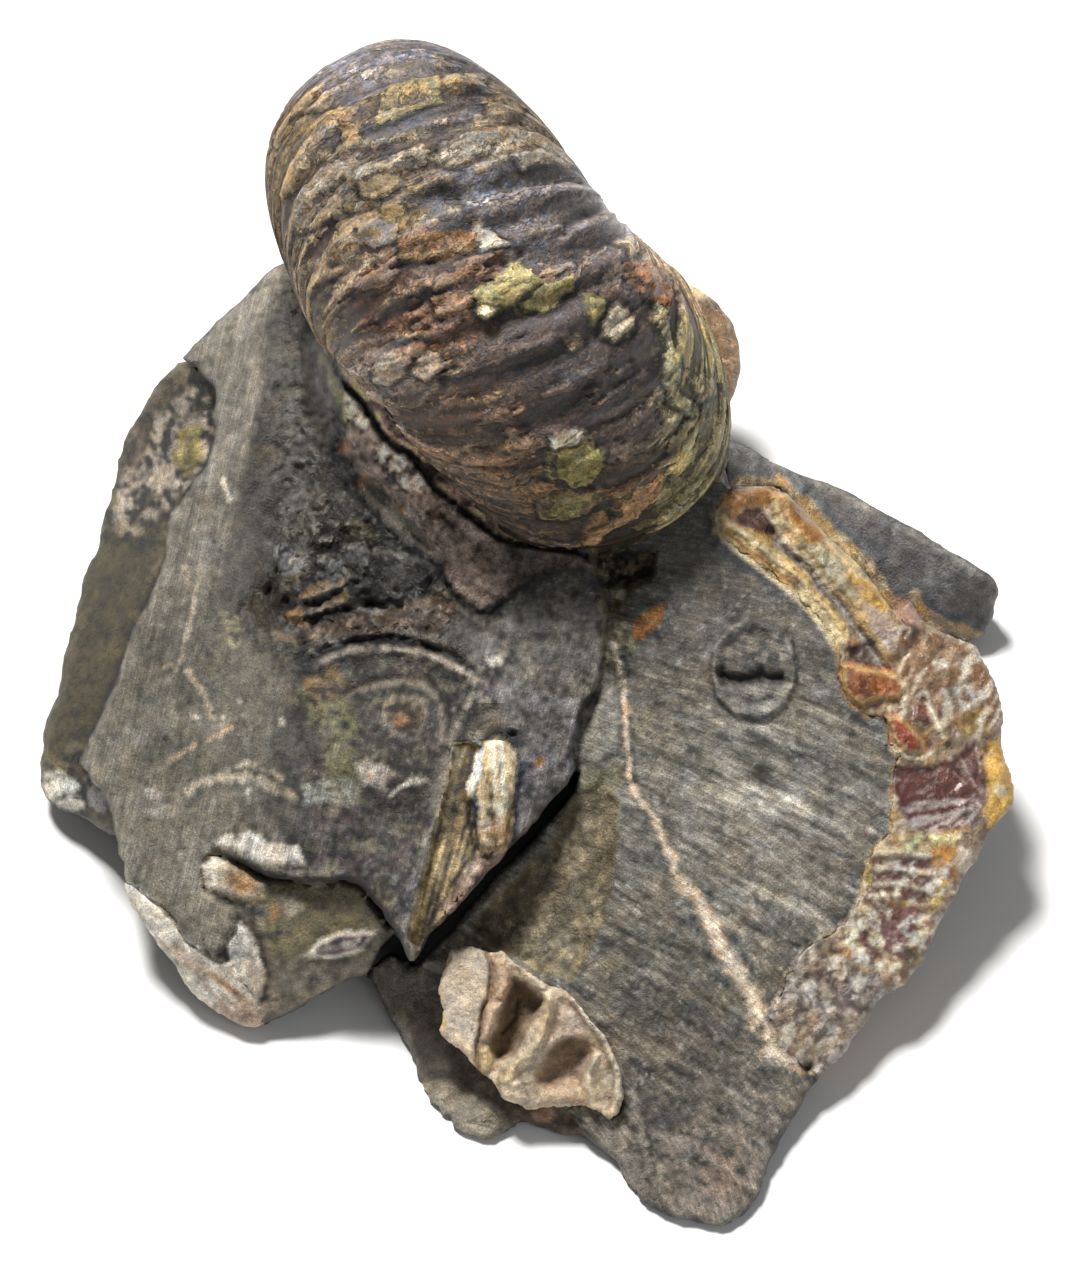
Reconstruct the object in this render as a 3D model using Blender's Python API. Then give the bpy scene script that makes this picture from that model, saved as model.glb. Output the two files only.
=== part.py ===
# Ammonites in a broken limestone concretion: one big inflated coil standing out
# of a dark grey block, with the cut or broken shell of other ammonites round it.
#
# The block is laid out on a sloping plane, like the broken face that leans back
# from its low front foot to its high back edge.  Points on it are given in
# millimetres as (x, y, h): x to the right, y up the slope, h out of the plane.

import bpy
import bmesh
import math
from math import sin, cos, pi, radians, exp
from mathutils import Vector, Matrix

MM = 0.001

# ---- driving dimensions, in millimetres -------------------------------------
SLOPE = 35.0            # lean of the layout plane from level, degrees
PLANE_Y = -2.3          # where the layout plane's origin stands over the base
PLANE_Z = 29.0
GAP = 0.3               # fossil to stone

COIL_RADIUS = 30.0      # big coil, axle to the middle of the keel, facing front
COIL_GROWTH = 0.0414    # per radian
COIL_HALF_WIDTH = 16.6  # half width of the last whorl
COIL_CORE = 9.5         # radius at which the flank is widest
COIL_AT = (-6.5, 34.5, -7.5)
COIL_AXLE = (0.867, 0.498, 0.0)  # rises 30 degrees to the right on the layout plane
RIBS = 36
RIB_HEIGHT = 0.75
MOUTH = radians(100.0)  # where the last whorl ends, buried in the stone
MOUTH_END = radians(145.0)

SMALL_RADIUS = 8.6      # second coil, lying flat behind the big one
SMALL_AT = (13.8, 29.2, -36.0)
SMALL_AXLE = (0.22, 0.10, 0.96)

RIM_DEPTH = 7.0
CHAMBER_DEPTH = 5.0
CHAMBER_POCKET = 3.2
BAND_DEPTH = 2.6
SPLINTER_DEPTH = 6.0

VOXEL = 1.25            # grain of the stone's broken surface
STONE_KEEP = 0.10      # share of the remeshed facets kept

# ---- clean start --------------------------------------------------------------
for old in list(bpy.data.objects):
    bpy.data.objects.remove(old, do_unlink=True)

tilt = radians(SLOPE)
RIGHT = Vector((1.0, 0.0, 0.0))
UPHILL = Vector((0.0, cos(tilt), sin(tilt)))
OUT = Vector((0.0, -sin(tilt), cos(tilt)))
ORIGIN = Vector((0.0, PLANE_Y, PLANE_Z))


def lay(p):
    """A point on the layout plane, in world millimetres."""
    return ORIGIN + RIGHT * p[0] + UPHILL * p[1] + OUT * p[2]


def paint(obj, name, colour, roughness):
    mat = bpy.data.materials.new(name)
    mat.use_nodes = True
    shader = mat.node_tree.nodes["Principled BSDF"]
    shader.inputs["Base Color"].default_value = (*colour, 1.0)
    shader.inputs["Roughness"].default_value = roughness
    shader.inputs["Metallic"].default_value = 0.0
    mat.diffuse_color = (*colour, 1.0)
    obj.data.materials.clear()
    obj.data.materials.append(mat)


def new_object(name, bm, helper=False):
    mesh = bpy.data.meshes.new(name)
    bmesh.ops.recalc_face_normals(bm, faces=bm.faces)
    bm.to_mesh(mesh)
    bm.free()
    obj = bpy.data.objects.new(name, mesh)
    bpy.context.scene.collection.objects.link(obj)
    if helper:
        obj.hide_render = True
        obj.display_type = 'WIRE'
    return obj


def block(name, face, feet=(), deep=None, inset=1.0):
    """Convex lump: its face points on the layout plane, and feet on the ground.
    deep gives instead a second row of points this far behind the face."""
    bm = bmesh.new()
    for p in face:
        bm.verts.new(lay(p) * MM)
    for (x, y, z) in feet:
        bm.verts.new(Vector((x, y, z)) * MM)
    if deep is not None:
        cx = sum(p[0] for p in face) / len(face)
        cy = sum(p[1] for p in face) / len(face)
        for p in face:
            q = (cx + (p[0] - cx) * inset, cy + (p[1] - cy) * inset, p[2] - deep)
            bm.verts.new(lay(q) * MM)
    hull = bmesh.ops.convex_hull(bm, input=bm.verts)
    loose = [v for v in bm.verts if not v.link_faces]
    bmesh.ops.delete(bm, geom=loose, context='VERTS')
    return new_object(name, bm, helper=True)


def ladder(name, one, two, depth, taper=0.8, grow=0.0, helper=False):
    """Curved slab between two rails of equal count, with a front and a back skin."""
    bm = bmesh.new()
    rings = []
    n = len(one)
    for i in range(n):
        a, b = Vector(one[i]), Vector(two[i])
        across = (b - a)
        across.z = 0.0
        across.normalize()
        # ends grow along the strip as well
        along = Vector(one[min(i + 1, n - 1)]) - Vector(one[max(i - 1, 0)])
        along.z = 0.0
        along.normalize()
        push = Vector((0, 0, 0))
        if i == 0:
            push = -along * grow
        if i == n - 1:
            push = along * grow
        a2 = a - across * grow + push
        b2 = b + across * grow + push
        lift = Vector((0, 0, grow))
        back_a = a2 + across * taper + Vector((0, 0, -depth - grow))
        back_b = b2 - across * taper + Vector((0, 0, -depth - grow))
        rings.append([bm.verts.new(lay(v) * MM)
                      for v in (a2 + lift, b2 + lift, back_b, back_a)])
    for r0, r1 in zip(rings, rings[1:]):
        for k in range(4):
            bm.faces.new((r0[k], r0[(k + 1) % 4], r1[(k + 1) % 4], r1[k]))
    bm.faces.new(rings[0][::-1])
    bm.faces.new(rings[-1])
    bmesh.ops.triangulate(bm, faces=bm.faces)
    return new_object(name, bm, helper=helper)


def prism(name, outline, top, bottom, grow=0.0, helper=False):
    """Straight-sided lump over an outline on the layout plane."""
    bm = bmesh.new()
    cx = sum(p[0] for p in outline) / len(outline)
    cy = sum(p[1] for p in outline) / len(outline)
    rows = []
    for shift, rise in ((0.0, grow), (None, -grow)):
        row = []
        for p in outline:
            d = Vector((p[0] - cx, p[1] - cy, 0.0)).normalized() * grow * 1.25
            h = (p[2] if len(p) > 2 else 0.0)
            z = (h + top + rise) if shift is not None else (h + bottom + rise)
            row.append(bm.verts.new(lay((p[0] + d.x, p[1] + d.y, z)) * MM))
        rows.append(row)
    n = len(outline)
    for k in range(n):
        bm.faces.new((rows[0][k], rows[0][(k + 1) % n], rows[1][(k + 1) % n], rows[1][k]))
    bm.faces.new(rows[0])
    bm.faces.new(rows[1][::-1])
    bmesh.ops.triangulate(bm, faces=bm.faces)
    return new_object(name, bm, helper=helper)


# ---- coils --------------------------------------------------------------------
def smooth(lo, hi, x):
    t = min(1.0, max(0.0, (x - lo) / (hi - lo)))
    return t * t * (3.0 - 2.0 * t)


def whorl(theta):
    """Radius, half width and sideways shift of the last whorl at angle theta,
    which runs from the inner end (-188 degrees) to the mouth."""
    radius = COIL_RADIUS * exp(COIL_GROWTH * theta)
    width = COIL_HALF_WIDTH * (0.79 + 0.21 * smooth(-3.6, 0.1, theta))
    shift = 4.2 * smooth(radians(-30), radians(90), theta)
    return radius, width, shift


def coil_ring(theta):
    """The same, all the way round: the mouth steps down to the inner whorl."""
    if theta <= MOUTH:
        return whorl(theta)
    t = smooth(MOUTH, MOUTH_END, theta)
    a, b = whorl(MOUTH), whorl(theta - 2 * pi)
    return tuple(p + (q - p) * t for p, q in zip(a, b))


def coil(name, scale, ribs, rib_height, around, across, grow=0.0, helper=False, pit=0.4):
    """Closed coil, axle along local Z, theta 0 along local X."""
    bm = bmesh.new()
    POWER = 2.3
    grid = []
    ang0 = MOUTH_END - 2 * pi
    for i in range(around):
        theta = ang0 + 2 * pi * i / around
        radius, width, shift = coil_ring(theta)
        core = COIL_CORE * radius / COIL_RADIUS
        rib = 0.5 + 0.5 * cos(theta * ribs)
        rib = rib_height * (rib ** 1.5) if ribs else 0.0
        col = []
        for j in range(across + 1):
            phi = -pi / 2 + pi * j / across
            c, s = abs(cos(phi)), sin(phi)
            e = 2.0 / POWER
            rho = core + (radius - core + rib * c ** 0.6) * c ** e
            t = width * math.copysign(abs(s) ** e, s)
            col.append((rho * scale + grow * c, t * scale + shift * scale + grow * s, theta))
        # down the umbilical walls, both sides
        inner = []
        for q in (0.35, 0.65, 0.88):
            rho = core * (1.0 - q)
            drop = pit * q * q * (3.0 - 2.0 * q)
            inner.append((rho * scale + grow * 0.2,
                          (width * (1.0 - drop)) * scale, shift * scale, theta))
        low = [(r, -t + sh - grow, th) for r, t, sh, th in reversed(inner)]
        high = [(r, t + sh + grow, th) for r, t, sh, th in inner]
        grid.append([bm.verts.new(Vector((r * cos(th), r * sin(th), z)) * MM)
                     for r, z, th in low + col + high])
    n = len(grid)
    m = len(grid[0])
    for i in range(n):
        a, b = grid[i], grid[(i + 1) % n]
        for j in range(m - 1):
            bm.faces.new((a[j], b[j], b[j + 1], a[j + 1]))
    for end, flip in ((0, True), (m - 1, False)):
        middle = bm.verts.new(sum((g[end].co for g in grid), Vector()) / n)
        for i in range(n):
            tri = (grid[i][end], grid[(i + 1) % n][end], middle)
            bm.faces.new(tri[::-1] if flip else tri)
    bmesh.ops.triangulate(bm, faces=bm.faces, quad_method='SHORT_EDGE')
    return new_object(name, bm, helper=helper)


def stand_coil(obj, at, axle, front):
    """Axle and theta 0 direction, both given on the layout plane."""
    def turn(d):
        return (RIGHT * d[0] + UPHILL * d[1] + OUT * d[2]).normalized()
    axle, front = turn(axle), turn(front)
    front = (front - axle * front.dot(axle)).normalized()
    side = axle.cross(front)
    obj.matrix_world = Matrix.Translation(lay(at) * MM) @ Matrix(
        (front, side, axle)).transposed().to_4x4()


ammonite = coil("ammonite", 1.0, RIBS, RIB_HEIGHT, RIBS * 3, 9)
stand_coil(ammonite, COIL_AT, COIL_AXLE, (0, 0, 1))
ammonite_room = coil("ammonite_room", 1.0, 0, 0.0, 64, 12, grow=RIB_HEIGHT + GAP, helper=True)
stand_coil(ammonite_room, COIL_AT, COIL_AXLE, (0, 0, 1))

SMALL = SMALL_RADIUS / COIL_RADIUS
small = coil("small_ammonite", SMALL, 20, 0.0, 28, 6, pit=0.5)
stand_coil(small, SMALL_AT, SMALL_AXLE, (1, 0, 0))
small_room = coil("small_ammonite_room", SMALL, 0, 0.0, 32, 8, grow=GAP + 0.1, helper=True)
stand_coil(small_room, SMALL_AT, SMALL_AXLE, (1, 0, 0))

# ---- calcite shell rim, cut across on the right-hand block --------------------
RIM_INNER = [(18.3, 10.6, -1.2), (22.3, 6.2, -1.4), (26.3, 2.8, -1.8), (30.4, -2.0, -2.0),
             (33.0, -7.6, -2.0), (36.0, -10.6, -2.2), (35.5, -16.0, -2.0), (33.6, -22.0, -1.6),
             (30.5, -28.0, -0.6), (26.6, -33.0, 0.2), (25.0, -37.5, 0.8)]
RIM_OUTER = [(19.8, 14.0, -2.6), (26.8, 13.4, -5.2), (32.6, 7.6, -5.6), (36.4, 3.0, -5.0),
             (41.8, 0.8, -5.8), (46.6, -5.4, -6.2), (48.4, -15.0, -4.6), (45.2, -21.0, -3.0),
             (41.6, -27.2, -1.8), (35.2, -35.6, -0.2), (31.4, -40.4, 1.2)]
rim = ladder("calcite_rim", RIM_INNER, RIM_OUTER, RIM_DEPTH, taper=1.2)
rim_room = ladder("calcite_rim_room", RIM_INNER, RIM_OUTER, RIM_DEPTH, taper=1.2,
                  grow=GAP + 0.15, helper=True)

# ---- chambered shell fragment, two open chambers ------------------------------
CHAMBERED = [(-8.2, -30.6, 5.6), (-3.0, -31.2, 6.0), (1.6, -34.6, 6.4), (5.6, -38.0, 6.6),
             (8.0, -41.6, 6.2), (8.8, -46.4, 5.4), (7.2, -47.8, 5.2), (1.0, -46.6, 5.8),
             (-3.0, -45.8, 6.0), (-6.2, -42.6, 6.0), (-9.4, -39.0, 5.4), (-9.0, -33.0, 5.4)]
CHAMBER_ONE = [(-1.9, -34.2), (0.9, -36.0), (-0.6, -39.6), (-3.0, -42.2), (-4.1, -40.6), (-3.0, -36.6)]
CHAMBER_TWO = [(0.9, -41.4), (3.6, -39.8), (5.8, -41.2), (5.4, -44.0), (3.2, -45.6), (0.6, -45.4), (-0.4, -43.6)]
chambered_body = prism("chambered_shell", CHAMBERED, 0.0, -CHAMBER_DEPTH)
chambered_room = prism("chambered_room", CHAMBERED, 0.0, -CHAMBER_DEPTH, grow=GAP + 0.1, helper=True)
for tag, outline in (("chamber_one", CHAMBER_ONE), ("chamber_two", CHAMBER_TWO)):
    hollow = prism(tag, [(x, y, 6.0) for x, y in outline], 3.0, -CHAMBER_POCKET, helper=True)
    cut = chambered_body.modifiers.new(tag, 'BOOLEAN')
    cut.operation = 'DIFFERENCE'
    cut.solver = 'EXACT'
    cut.object = hollow

# ---- fibrous shell splinter beside the crack -----------------------------------
SPLINTER = [(-5.2, -11.0, 10.4), (-2.2, -10.6, 9.4), (-2.0, -16.0, 9.8), (-3.2, -19.2, 9.6),
            (-5.0, -22.6, 9.6), (-9.6, -28.0, 9.8), (-11.6, -28.6, 10.4), (-11.0, -24.0, 11.2),
            (-9.4, -18.0, 11.4), (-7.6, -11.4, 10.8)]
splinter = prism("shell_splinter", SPLINTER, 0.0, -SPLINTER_DEPTH)
splinter_room = prism("shell_splinter_room", SPLINTER, 0.0, -SPLINTER_DEPTH, grow=GAP + 0.15, helper=True)

# ---- pale shell band along the low left edge ----------------------------------
BAND_TOP = [(-41.0, -24.4, -1.2), (-37.6, -27.2, -0.2), (-34.4, -30.6, 0.4), (-30.6, -32.4, 0.6),
            (-27.0, -34.0, 0.4), (-24.0, -36.2, -0.6)]
BAND_LOW = [(-40.6, -26.6, -3.0), (-37.4, -31.4, -3.6), (-33.4, -36.4, -4.0), (-31.0, -38.2, -3.8),
            (-28.6, -39.4, -3.2), (-25.6, -38.6, -2.4)]
band = ladder("shell_band", BAND_TOP, BAND_LOW, BAND_DEPTH, taper=0.5)
band_room = ladder("shell_band_room", BAND_TOP, BAND_LOW, BAND_DEPTH, taper=0.5,
                   grow=GAP + 0.15, helper=True)

# ---- the stone ----------------------------------------------------------------
LEFT_FACE = [(-26.5, 38.5, -19), (-20.5, 19.0, -7), (-30.0, 14.0, -8.5), (5.5, 7.5, 2),
             (7.0, 3.5, 3), (7.0, -2.0, 3), (5.5, -6.0, 4), (4.5, -13.0, 5), (1.0, -17.0, 6.5),
             (-4.5, -23.0, 7.5), (-10.0, -29.5, 8.5), (-12.0, -32.5, 8), (-15.0, -29.0, 6),
             (-23.5, -36.5, -1.4), (-28.5, -39.0, -3.5), (-31.0, -37.0, -1), (-37.5, -27.0, -0.5),
             (-41.0, -24.5, -1.5), (-41.5, -21.0, -2), (-43.0, -15.5, -4), (-46.0, -12.5, -6),
             (-40.0, 2.5, -8), (-34.5, 15.5, -11), (-32.5, 21.5, -14), (-37.0, 29.0, -22)]
LEFT_FEET = [(-24, 41, 0), (-38, 34, 2), (-42, 12, 0), (-44, -2, 0), (-38, -14, 0), (-30, -27, 0),
             (-20, -26, 0), (-10, -20, 2), (4, -12, 0), (8, 4, 0), (4, 36, 0)]
stone = block("matrix", LEFT_FACE, LEFT_FEET)
stone.hide_render = False
stone.display_type = 'TEXTURED'

parts = [
    # raised ridge down the middle of the left-hand block, to its tip
    block("ridge", [(-5.5, -4.5, 9.2), (-7.5, -9.0, 10.6), (-9.5, -18.0, 11.6), (-11.0, -23.5, 11.8),
                    (-12.4, -29.0, 10.6), (-12.2, -32.2, 8.4), (4.0, -12.0, 5.6), (-2.0, -20.0, 7.4),
                    (-18.0, -20.0, 4.5), (-16.0, -8.0, 4.5), (2.0, -2.0, 4.6)], deep=6.0, inset=0.9),
    # low shoulder falling away to the left
    block("left_side", [(-31.0, 35.5, -24), (-37.5, 29.0, -27), (-43.5, 22.0, -31), (-45.5, 13.0, -29),
                        (-47.0, 8.0, -27), (-49.5, -2.5, -22), (-51.0, -10.0, -19), (-51.0, -15.5, -17),
                        (-49.0, -18.0, -16), (-45.5, -19.0, -14), (-42.0, -21.5, -8), (-39.0, -4.0, -9),
                        (-35.0, 14.0, -13), (-33.0, 22.0, -16)],
          [(-26, 39, 0), (-38, 34, 0), (-42, 24, 0), (-43, 16, 0), (-47, 4, 0), (-48, -2, 0),
           (-44, -9, 0), (-38, -12, 0)]),
    # right-hand block, a flat face falling to the foot
    block("right_block", [(7.0, 3.5, 2), (10.5, 1.0, 1), (15.5, 8.0, -1), (18.5, 12.0, -2.6),
                          (22.5, 11.8, -4.6), (31.5, 6.0, -5.6), (35.2, 1.2, -5), (40.6, -1.0, -6),
                          (44.6, -4.8, -6.6), (45.8, -9.0, -6), (46.4, -15.2, -5), (43.4, -20.0, -3.4),
                          (40.0, -26.0, -2.2), (33.8, -34.8, -0.4), (30.6, -39.0, 0.8), (28.3, -43.2, 2),
                          (24.5, -49.5, 4.6), (22.5, -53.5, 6), (21.0, -57.0, 6), (18.5, -58.0, 6),
                          (14.5, -57.5, 5), (11.5, -55.5, 4.6), (8.5, -52.5, 3.6), (6.5, -49.0, 3.6),
                          (4.5, -13.5, 3)],
          [(12, -46, 0), (19, -50, 0), (26, -42, 0), (31, -33, 0), (42, -16, 0), (44, -4, 0),
           (34, 12, 0), (20, 20, 0), (6, 16, 0), (2, -30, 0)]),
    # low front apron that carries the chambered shell
    block("apron", [(-16.0, -34.5, -6), (-14.2, -33.0, -3.5), (-13.5, -41.5, -4), (-12.0, -44.5, -2),
                    (-9.5, -48.0, -1), (-5.0, -50.5, 1), (2.0, -49.5, 1), (6.5, -51.0, 2),
                    (9.0, -54.0, 3), (12.0, -40.0, 4), (8.0, -20.0, 3.5), (4.5, -15.0, 3),
                    (-1.0, -20.5, 3.6), (-6.0, -26.0, 3.4), (-10.0, -31.0, 2.6)],
          [(-14, -26, 0), (-12, -35, 0), (-5, -41, 0), (6, -40, 0), (14, -46, 0), (14, -20, 0),
           (0, -12, 0)]),
    # back wedge on the right
    block("back_wedge", [(20.0, 22.0, -30), (24.5, 19.5, -29), (32.5, 16.0, -28), (43.0, 9.5, -27),
                         (48.5, 5.5, -27), (49.0, 4.6, -28.4), (47.0, -0.5, -31), (43.0, -3.0, -30),
                         (34.0, 4.0, -20), (22.0, 10.0, -16)],
          [(18, 34, 0), (30, 31, 0), (46, 20, 0), (45, 13, 0), (34, 4, 0), (10, 14, 0)]),
    # bed under and behind the big coil
    block("bed", [(-26.5, 38.0, -20), (-21.0, 19.0, -8.4), (5.5, 7.5, 0), (14.0, 6.0, -1),
                  (19.0, 13.0, -6), (21.0, 22.0, -27), (18.5, 30.5, -37), (2.0, 37.0, -36), (-16.0, 41.0, -30)],
          [(-26, 40, 0), (-12, 48, 0), (6, 50, 0), (18, 46, 0), (22, 36, 0), (22, 20, 0), (4, 4, 0), (-20, 10, 0)]),
]
for p in parts:
    join = stone.modifiers.new(p.name, 'BOOLEAN')
    join.operation = 'UNION'
    join.solver = 'EXACT'
    join.object = p

# open crack between the left-hand and right-hand blocks
CRACK = [(-12.4, -33.4), (-9.4, -31.2), (-5.6, -26.6), (-0.4, -20.6), (2.6, -17.2), (4.6, -13.4),
         (4.2, -13.2), (1.8, -16.8), (-1.6, -20.6), (-6.6, -26.4), (-10.2, -30.4)]
crack = prism("crack", [(x, y, 0) for x, y in CRACK], 16.0, -3.0, helper=True)

grain = stone.modifiers.new("grain", 'REMESH')
grain.mode = 'VOXEL'
grain.voxel_size = VOXEL * MM
thin = stone.modifiers.new("thin", 'DECIMATE')
thin.ratio = STONE_KEEP

for room in (crack, ammonite_room, small_room, rim_room, chambered_room, splinter_room, band_room):
    cut = stone.modifiers.new(room.name, 'BOOLEAN')
    cut.operation = 'DIFFERENCE'
    cut.solver = 'EXACT'
    cut.object = room

# flat underside to rest on
bm = bmesh.new()
bmesh.ops.create_cube(bm, size=1.0, matrix=Matrix.Translation((0, 0, -0.019)) @ Matrix.Diagonal((0.2, 0.2, 0.04, 1)))
ground = new_object("ground", bm, helper=True)
cut = stone.modifiers.new("ground", 'BOOLEAN')
cut.operation = 'DIFFERENCE'
cut.solver = 'EXACT'
cut.object = ground

# ---- materials ----------------------------------------------------------------
paint(stone, "grey_limestone", (0.118, 0.112, 0.100), 0.62)
paint(ammonite, "brown_shell", (0.200, 0.135, 0.085), 0.50)
paint(small, "tan_shell", (0.240, 0.150, 0.090), 0.55)
paint(rim, "amber_calcite", (0.420, 0.220, 0.080), 0.40)
paint(chambered_body, "cream_shell", (0.560, 0.460, 0.330), 0.70)
paint(splinter, "fibrous_calcite", (0.420, 0.320, 0.180), 0.50)
paint(band, "pale_shell", (0.500, 0.430, 0.340), 0.70)

for obj in (ammonite, small):
    obj.data.shade_smooth()

# ---- origin: middle of the footprint box, on the ground -------------------------
bpy.context.view_layer.update()
deps = bpy.context.evaluated_depsgraph_get()
low = Vector((1e9, 1e9, 1e9))
high = -low
for obj in bpy.data.objects:
    if obj.hide_render:
        continue
    seen = obj.evaluated_get(deps)
    mesh = seen.to_mesh()
    for v in mesh.vertices:
        p = seen.matrix_world @ v.co
        low = Vector(map(min, low, p))
        high = Vector(map(max, high, p))
    seen.to_mesh_clear()
move = Matrix.Translation((-(low.x + high.x) / 2, -(low.y + high.y) / 2, -low.z))
for obj in bpy.data.objects:
    obj.matrix_world = move @ obj.matrix_world
bpy.context.view_layer.update()
print("moved by (mm)", [round(c * 1000, 3) for c in move.translation],
      "box (mm)", [round(c * 1000, 2) for c in (high - low)])
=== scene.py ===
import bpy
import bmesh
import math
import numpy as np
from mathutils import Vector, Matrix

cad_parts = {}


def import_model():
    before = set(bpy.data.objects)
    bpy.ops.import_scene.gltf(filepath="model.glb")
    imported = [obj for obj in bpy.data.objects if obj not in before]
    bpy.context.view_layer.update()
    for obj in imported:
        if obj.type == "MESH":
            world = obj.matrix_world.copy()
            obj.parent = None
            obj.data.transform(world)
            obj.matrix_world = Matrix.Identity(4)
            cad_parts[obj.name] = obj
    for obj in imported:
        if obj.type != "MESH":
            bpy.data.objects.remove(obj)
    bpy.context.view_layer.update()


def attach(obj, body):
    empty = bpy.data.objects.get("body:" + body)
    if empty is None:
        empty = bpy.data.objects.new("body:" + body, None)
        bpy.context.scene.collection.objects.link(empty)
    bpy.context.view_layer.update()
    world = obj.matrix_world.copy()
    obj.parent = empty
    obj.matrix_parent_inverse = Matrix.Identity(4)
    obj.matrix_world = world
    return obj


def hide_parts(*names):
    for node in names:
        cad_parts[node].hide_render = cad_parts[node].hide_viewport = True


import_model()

# Ammonites in a broken limestone concretion.
#
# The front of the block is laid out in a view frame: x and y in picture units (0.1 mm at the
# target plane), w in mm towards the camera.  Every piece is a closed solid cut from a field in
# that frame, then carried to the row frame.

# ------------------------------------------------------------------ view frame
ELEV = math.radians(55.0)
DIST = 500.0
UNIT = 0.1
TARGET = np.array([0.0, -2.3, 29.0])
SHIFT = np.array([1.131, -2.468, -1.0])      # how part.py moved the model, mm
CX, CY = 534.0, 637.5
AU = np.array([1.0, 0.0, 0.0])
AV = np.array([0.0, math.sin(ELEV), math.cos(ELEV)])
AW = np.array([0.0, -math.cos(ELEV), math.sin(ELEV)])


def world(px, py, w):
    """View frame to model millimetres (before SHIFT)."""
    k = 1.0 - w / DIST
    u = (px - CX) * UNIT * k
    v = (CY - py) * UNIT * k
    return TARGET + u[..., None] * AU + v[..., None] * AV + w[..., None] * AW


def view(P):
    Q = P - TARGET
    u, v, w = Q @ AU, Q @ AV, Q @ AW
    k = 1.0 - w / DIST
    return CX + u / k / UNIT, CY - v / k / UNIT, w


def lay(p):
    return TARGET + p[0] * AU + p[1] * AV + p[2] * AW


# ------------------------------------------------------------------ noise
_rng = np.random.RandomState(11)
_T3 = _rng.rand(32, 32, 32).astype(np.float32) * 2 - 1
_T2 = _rng.rand(256, 256).astype(np.float32) * 2 - 1


def noise2(x, y, seed=0):
    x = np.asarray(x, np.float64) + seed * 17.31
    y = np.asarray(y, np.float64) + seed * 7.77
    xi, yi = np.floor(x).astype(np.int64), np.floor(y).astype(np.int64)
    fx, fy = x - xi, y - yi
    fx = fx * fx * (3 - 2 * fx)
    fy = fy * fy * (3 - 2 * fy)
    x0, y0, x1, y1 = xi & 255, yi & 255, (xi + 1) & 255, (yi + 1) & 255
    a = _T2[x0, y0] * (1 - fx) + _T2[x1, y0] * fx
    b = _T2[x0, y1] * (1 - fx) + _T2[x1, y1] * fx
    return a * (1 - fy) + b * fy


def fbm2(x, y, seed=0, octaves=4, gain=0.5):
    out, amp, tot, f = 0.0, 1.0, 0.0, 1.0
    for o in range(octaves):
        out = out + amp * noise2(x * f, y * f, seed + o * 3)
        tot += amp
        amp *= gain
        f *= 2.03
    return out / tot


def noise3(x, y, z, seed=0):
    x = np.asarray(x, np.float64) + seed * 5.13
    y = np.asarray(y, np.float64) + seed * 9.71
    z = np.asarray(z, np.float64) + seed * 3.37
    xi, yi, zi = (np.floor(c).astype(np.int64) for c in (x, y, z))
    fx, fy, fz = x - xi, y - yi, z - zi
    fx = fx * fx * (3 - 2 * fx)
    fy = fy * fy * (3 - 2 * fy)
    fz = fz * fz * (3 - 2 * fz)
    x0, y0, z0 = xi & 31, yi & 31, zi & 31
    x1, y1, z1 = (xi + 1) & 31, (yi + 1) & 31, (zi + 1) & 31
    a = (_T3[x0, y0, z0] * (1 - fx) + _T3[x1, y0, z0] * fx) * (1 - fy) + \
        (_T3[x0, y1, z0] * (1 - fx) + _T3[x1, y1, z0] * fx) * fy
    b = (_T3[x0, y0, z1] * (1 - fx) + _T3[x1, y0, z1] * fx) * (1 - fy) + \
        (_T3[x0, y1, z1] * (1 - fx) + _T3[x1, y1, z1] * fx) * fy
    return a * (1 - fz) + b * fz


def fbm3(P, scale, seed=0, octaves=4, gain=0.5):
    out, amp, tot, f = 0.0, 1.0, 0.0, 1.0 / scale
    for o in range(octaves):
        out = out + amp * noise3(P[..., 0] * f, P[..., 1] * f, P[..., 2] * f, seed + o * 3)
        tot += amp
        amp *= gain
        f *= 2.03
    return out / tot


def step(lo, hi, x):
    t = np.clip((x - lo) / (hi - lo), 0, 1)
    return t * t * (3 - 2 * t)


def gauss(d, s):
    return np.exp(-(d / s) ** 2)


# ------------------------------------------------------------------ drawing grid
H = 2.0
GX0, GY0 = 10.0, 4.0
NX, NY = 523, 625
xs = GX0 + H * np.arange(NX)
ys = GY0 + H * np.arange(NY)
GX, GY = np.meshgrid(xs, ys)
# wandering copy of the grid, so that drawn outlines come out uneven
WX = GX + 4.5 * fbm2(GX / 24, GY / 24, 1, 4, 0.6) + 2.6 * fbm2(GX / 6.5, GY / 6.5, 5, 2)
WY = GY + 4.5 * fbm2(GX / 24, GY / 24, 2, 4, 0.6) + 2.6 * fbm2(GX / 6.5, GY / 6.5, 6, 2)
# a gentler one for block edges
EX = GX + 2.6 * fbm2(GX / 18, GY / 18, 3, 3)
EY = GY + 2.6 * fbm2(GX / 18, GY / 18, 4, 3)


def _window(pts, pad):
    a = np.asarray(pts, float)
    i0 = max(0, int((a[:, 0].min() - pad - GX0) / H))
    i1 = min(NX, int((a[:, 0].max() + pad - GX0) / H) + 2)
    j0 = max(0, int((a[:, 1].min() - pad - GY0) / H))
    j1 = min(NY, int((a[:, 1].max() + pad - GY0) / H) + 2)
    return slice(j0, j1), slice(i0, i1)


def _seg(X, Y, a, b):
    dx, dy = b[0] - a[0], b[1] - a[1]
    L2 = dx * dx + dy * dy + 1e-9
    t = np.clip(((X - a[0]) * dx + (Y - a[1]) * dy) / L2, 0, 1)
    return (X - a[0] - t * dx) ** 2 + (Y - a[1] - t * dy) ** 2, t, math.sqrt(L2)


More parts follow.
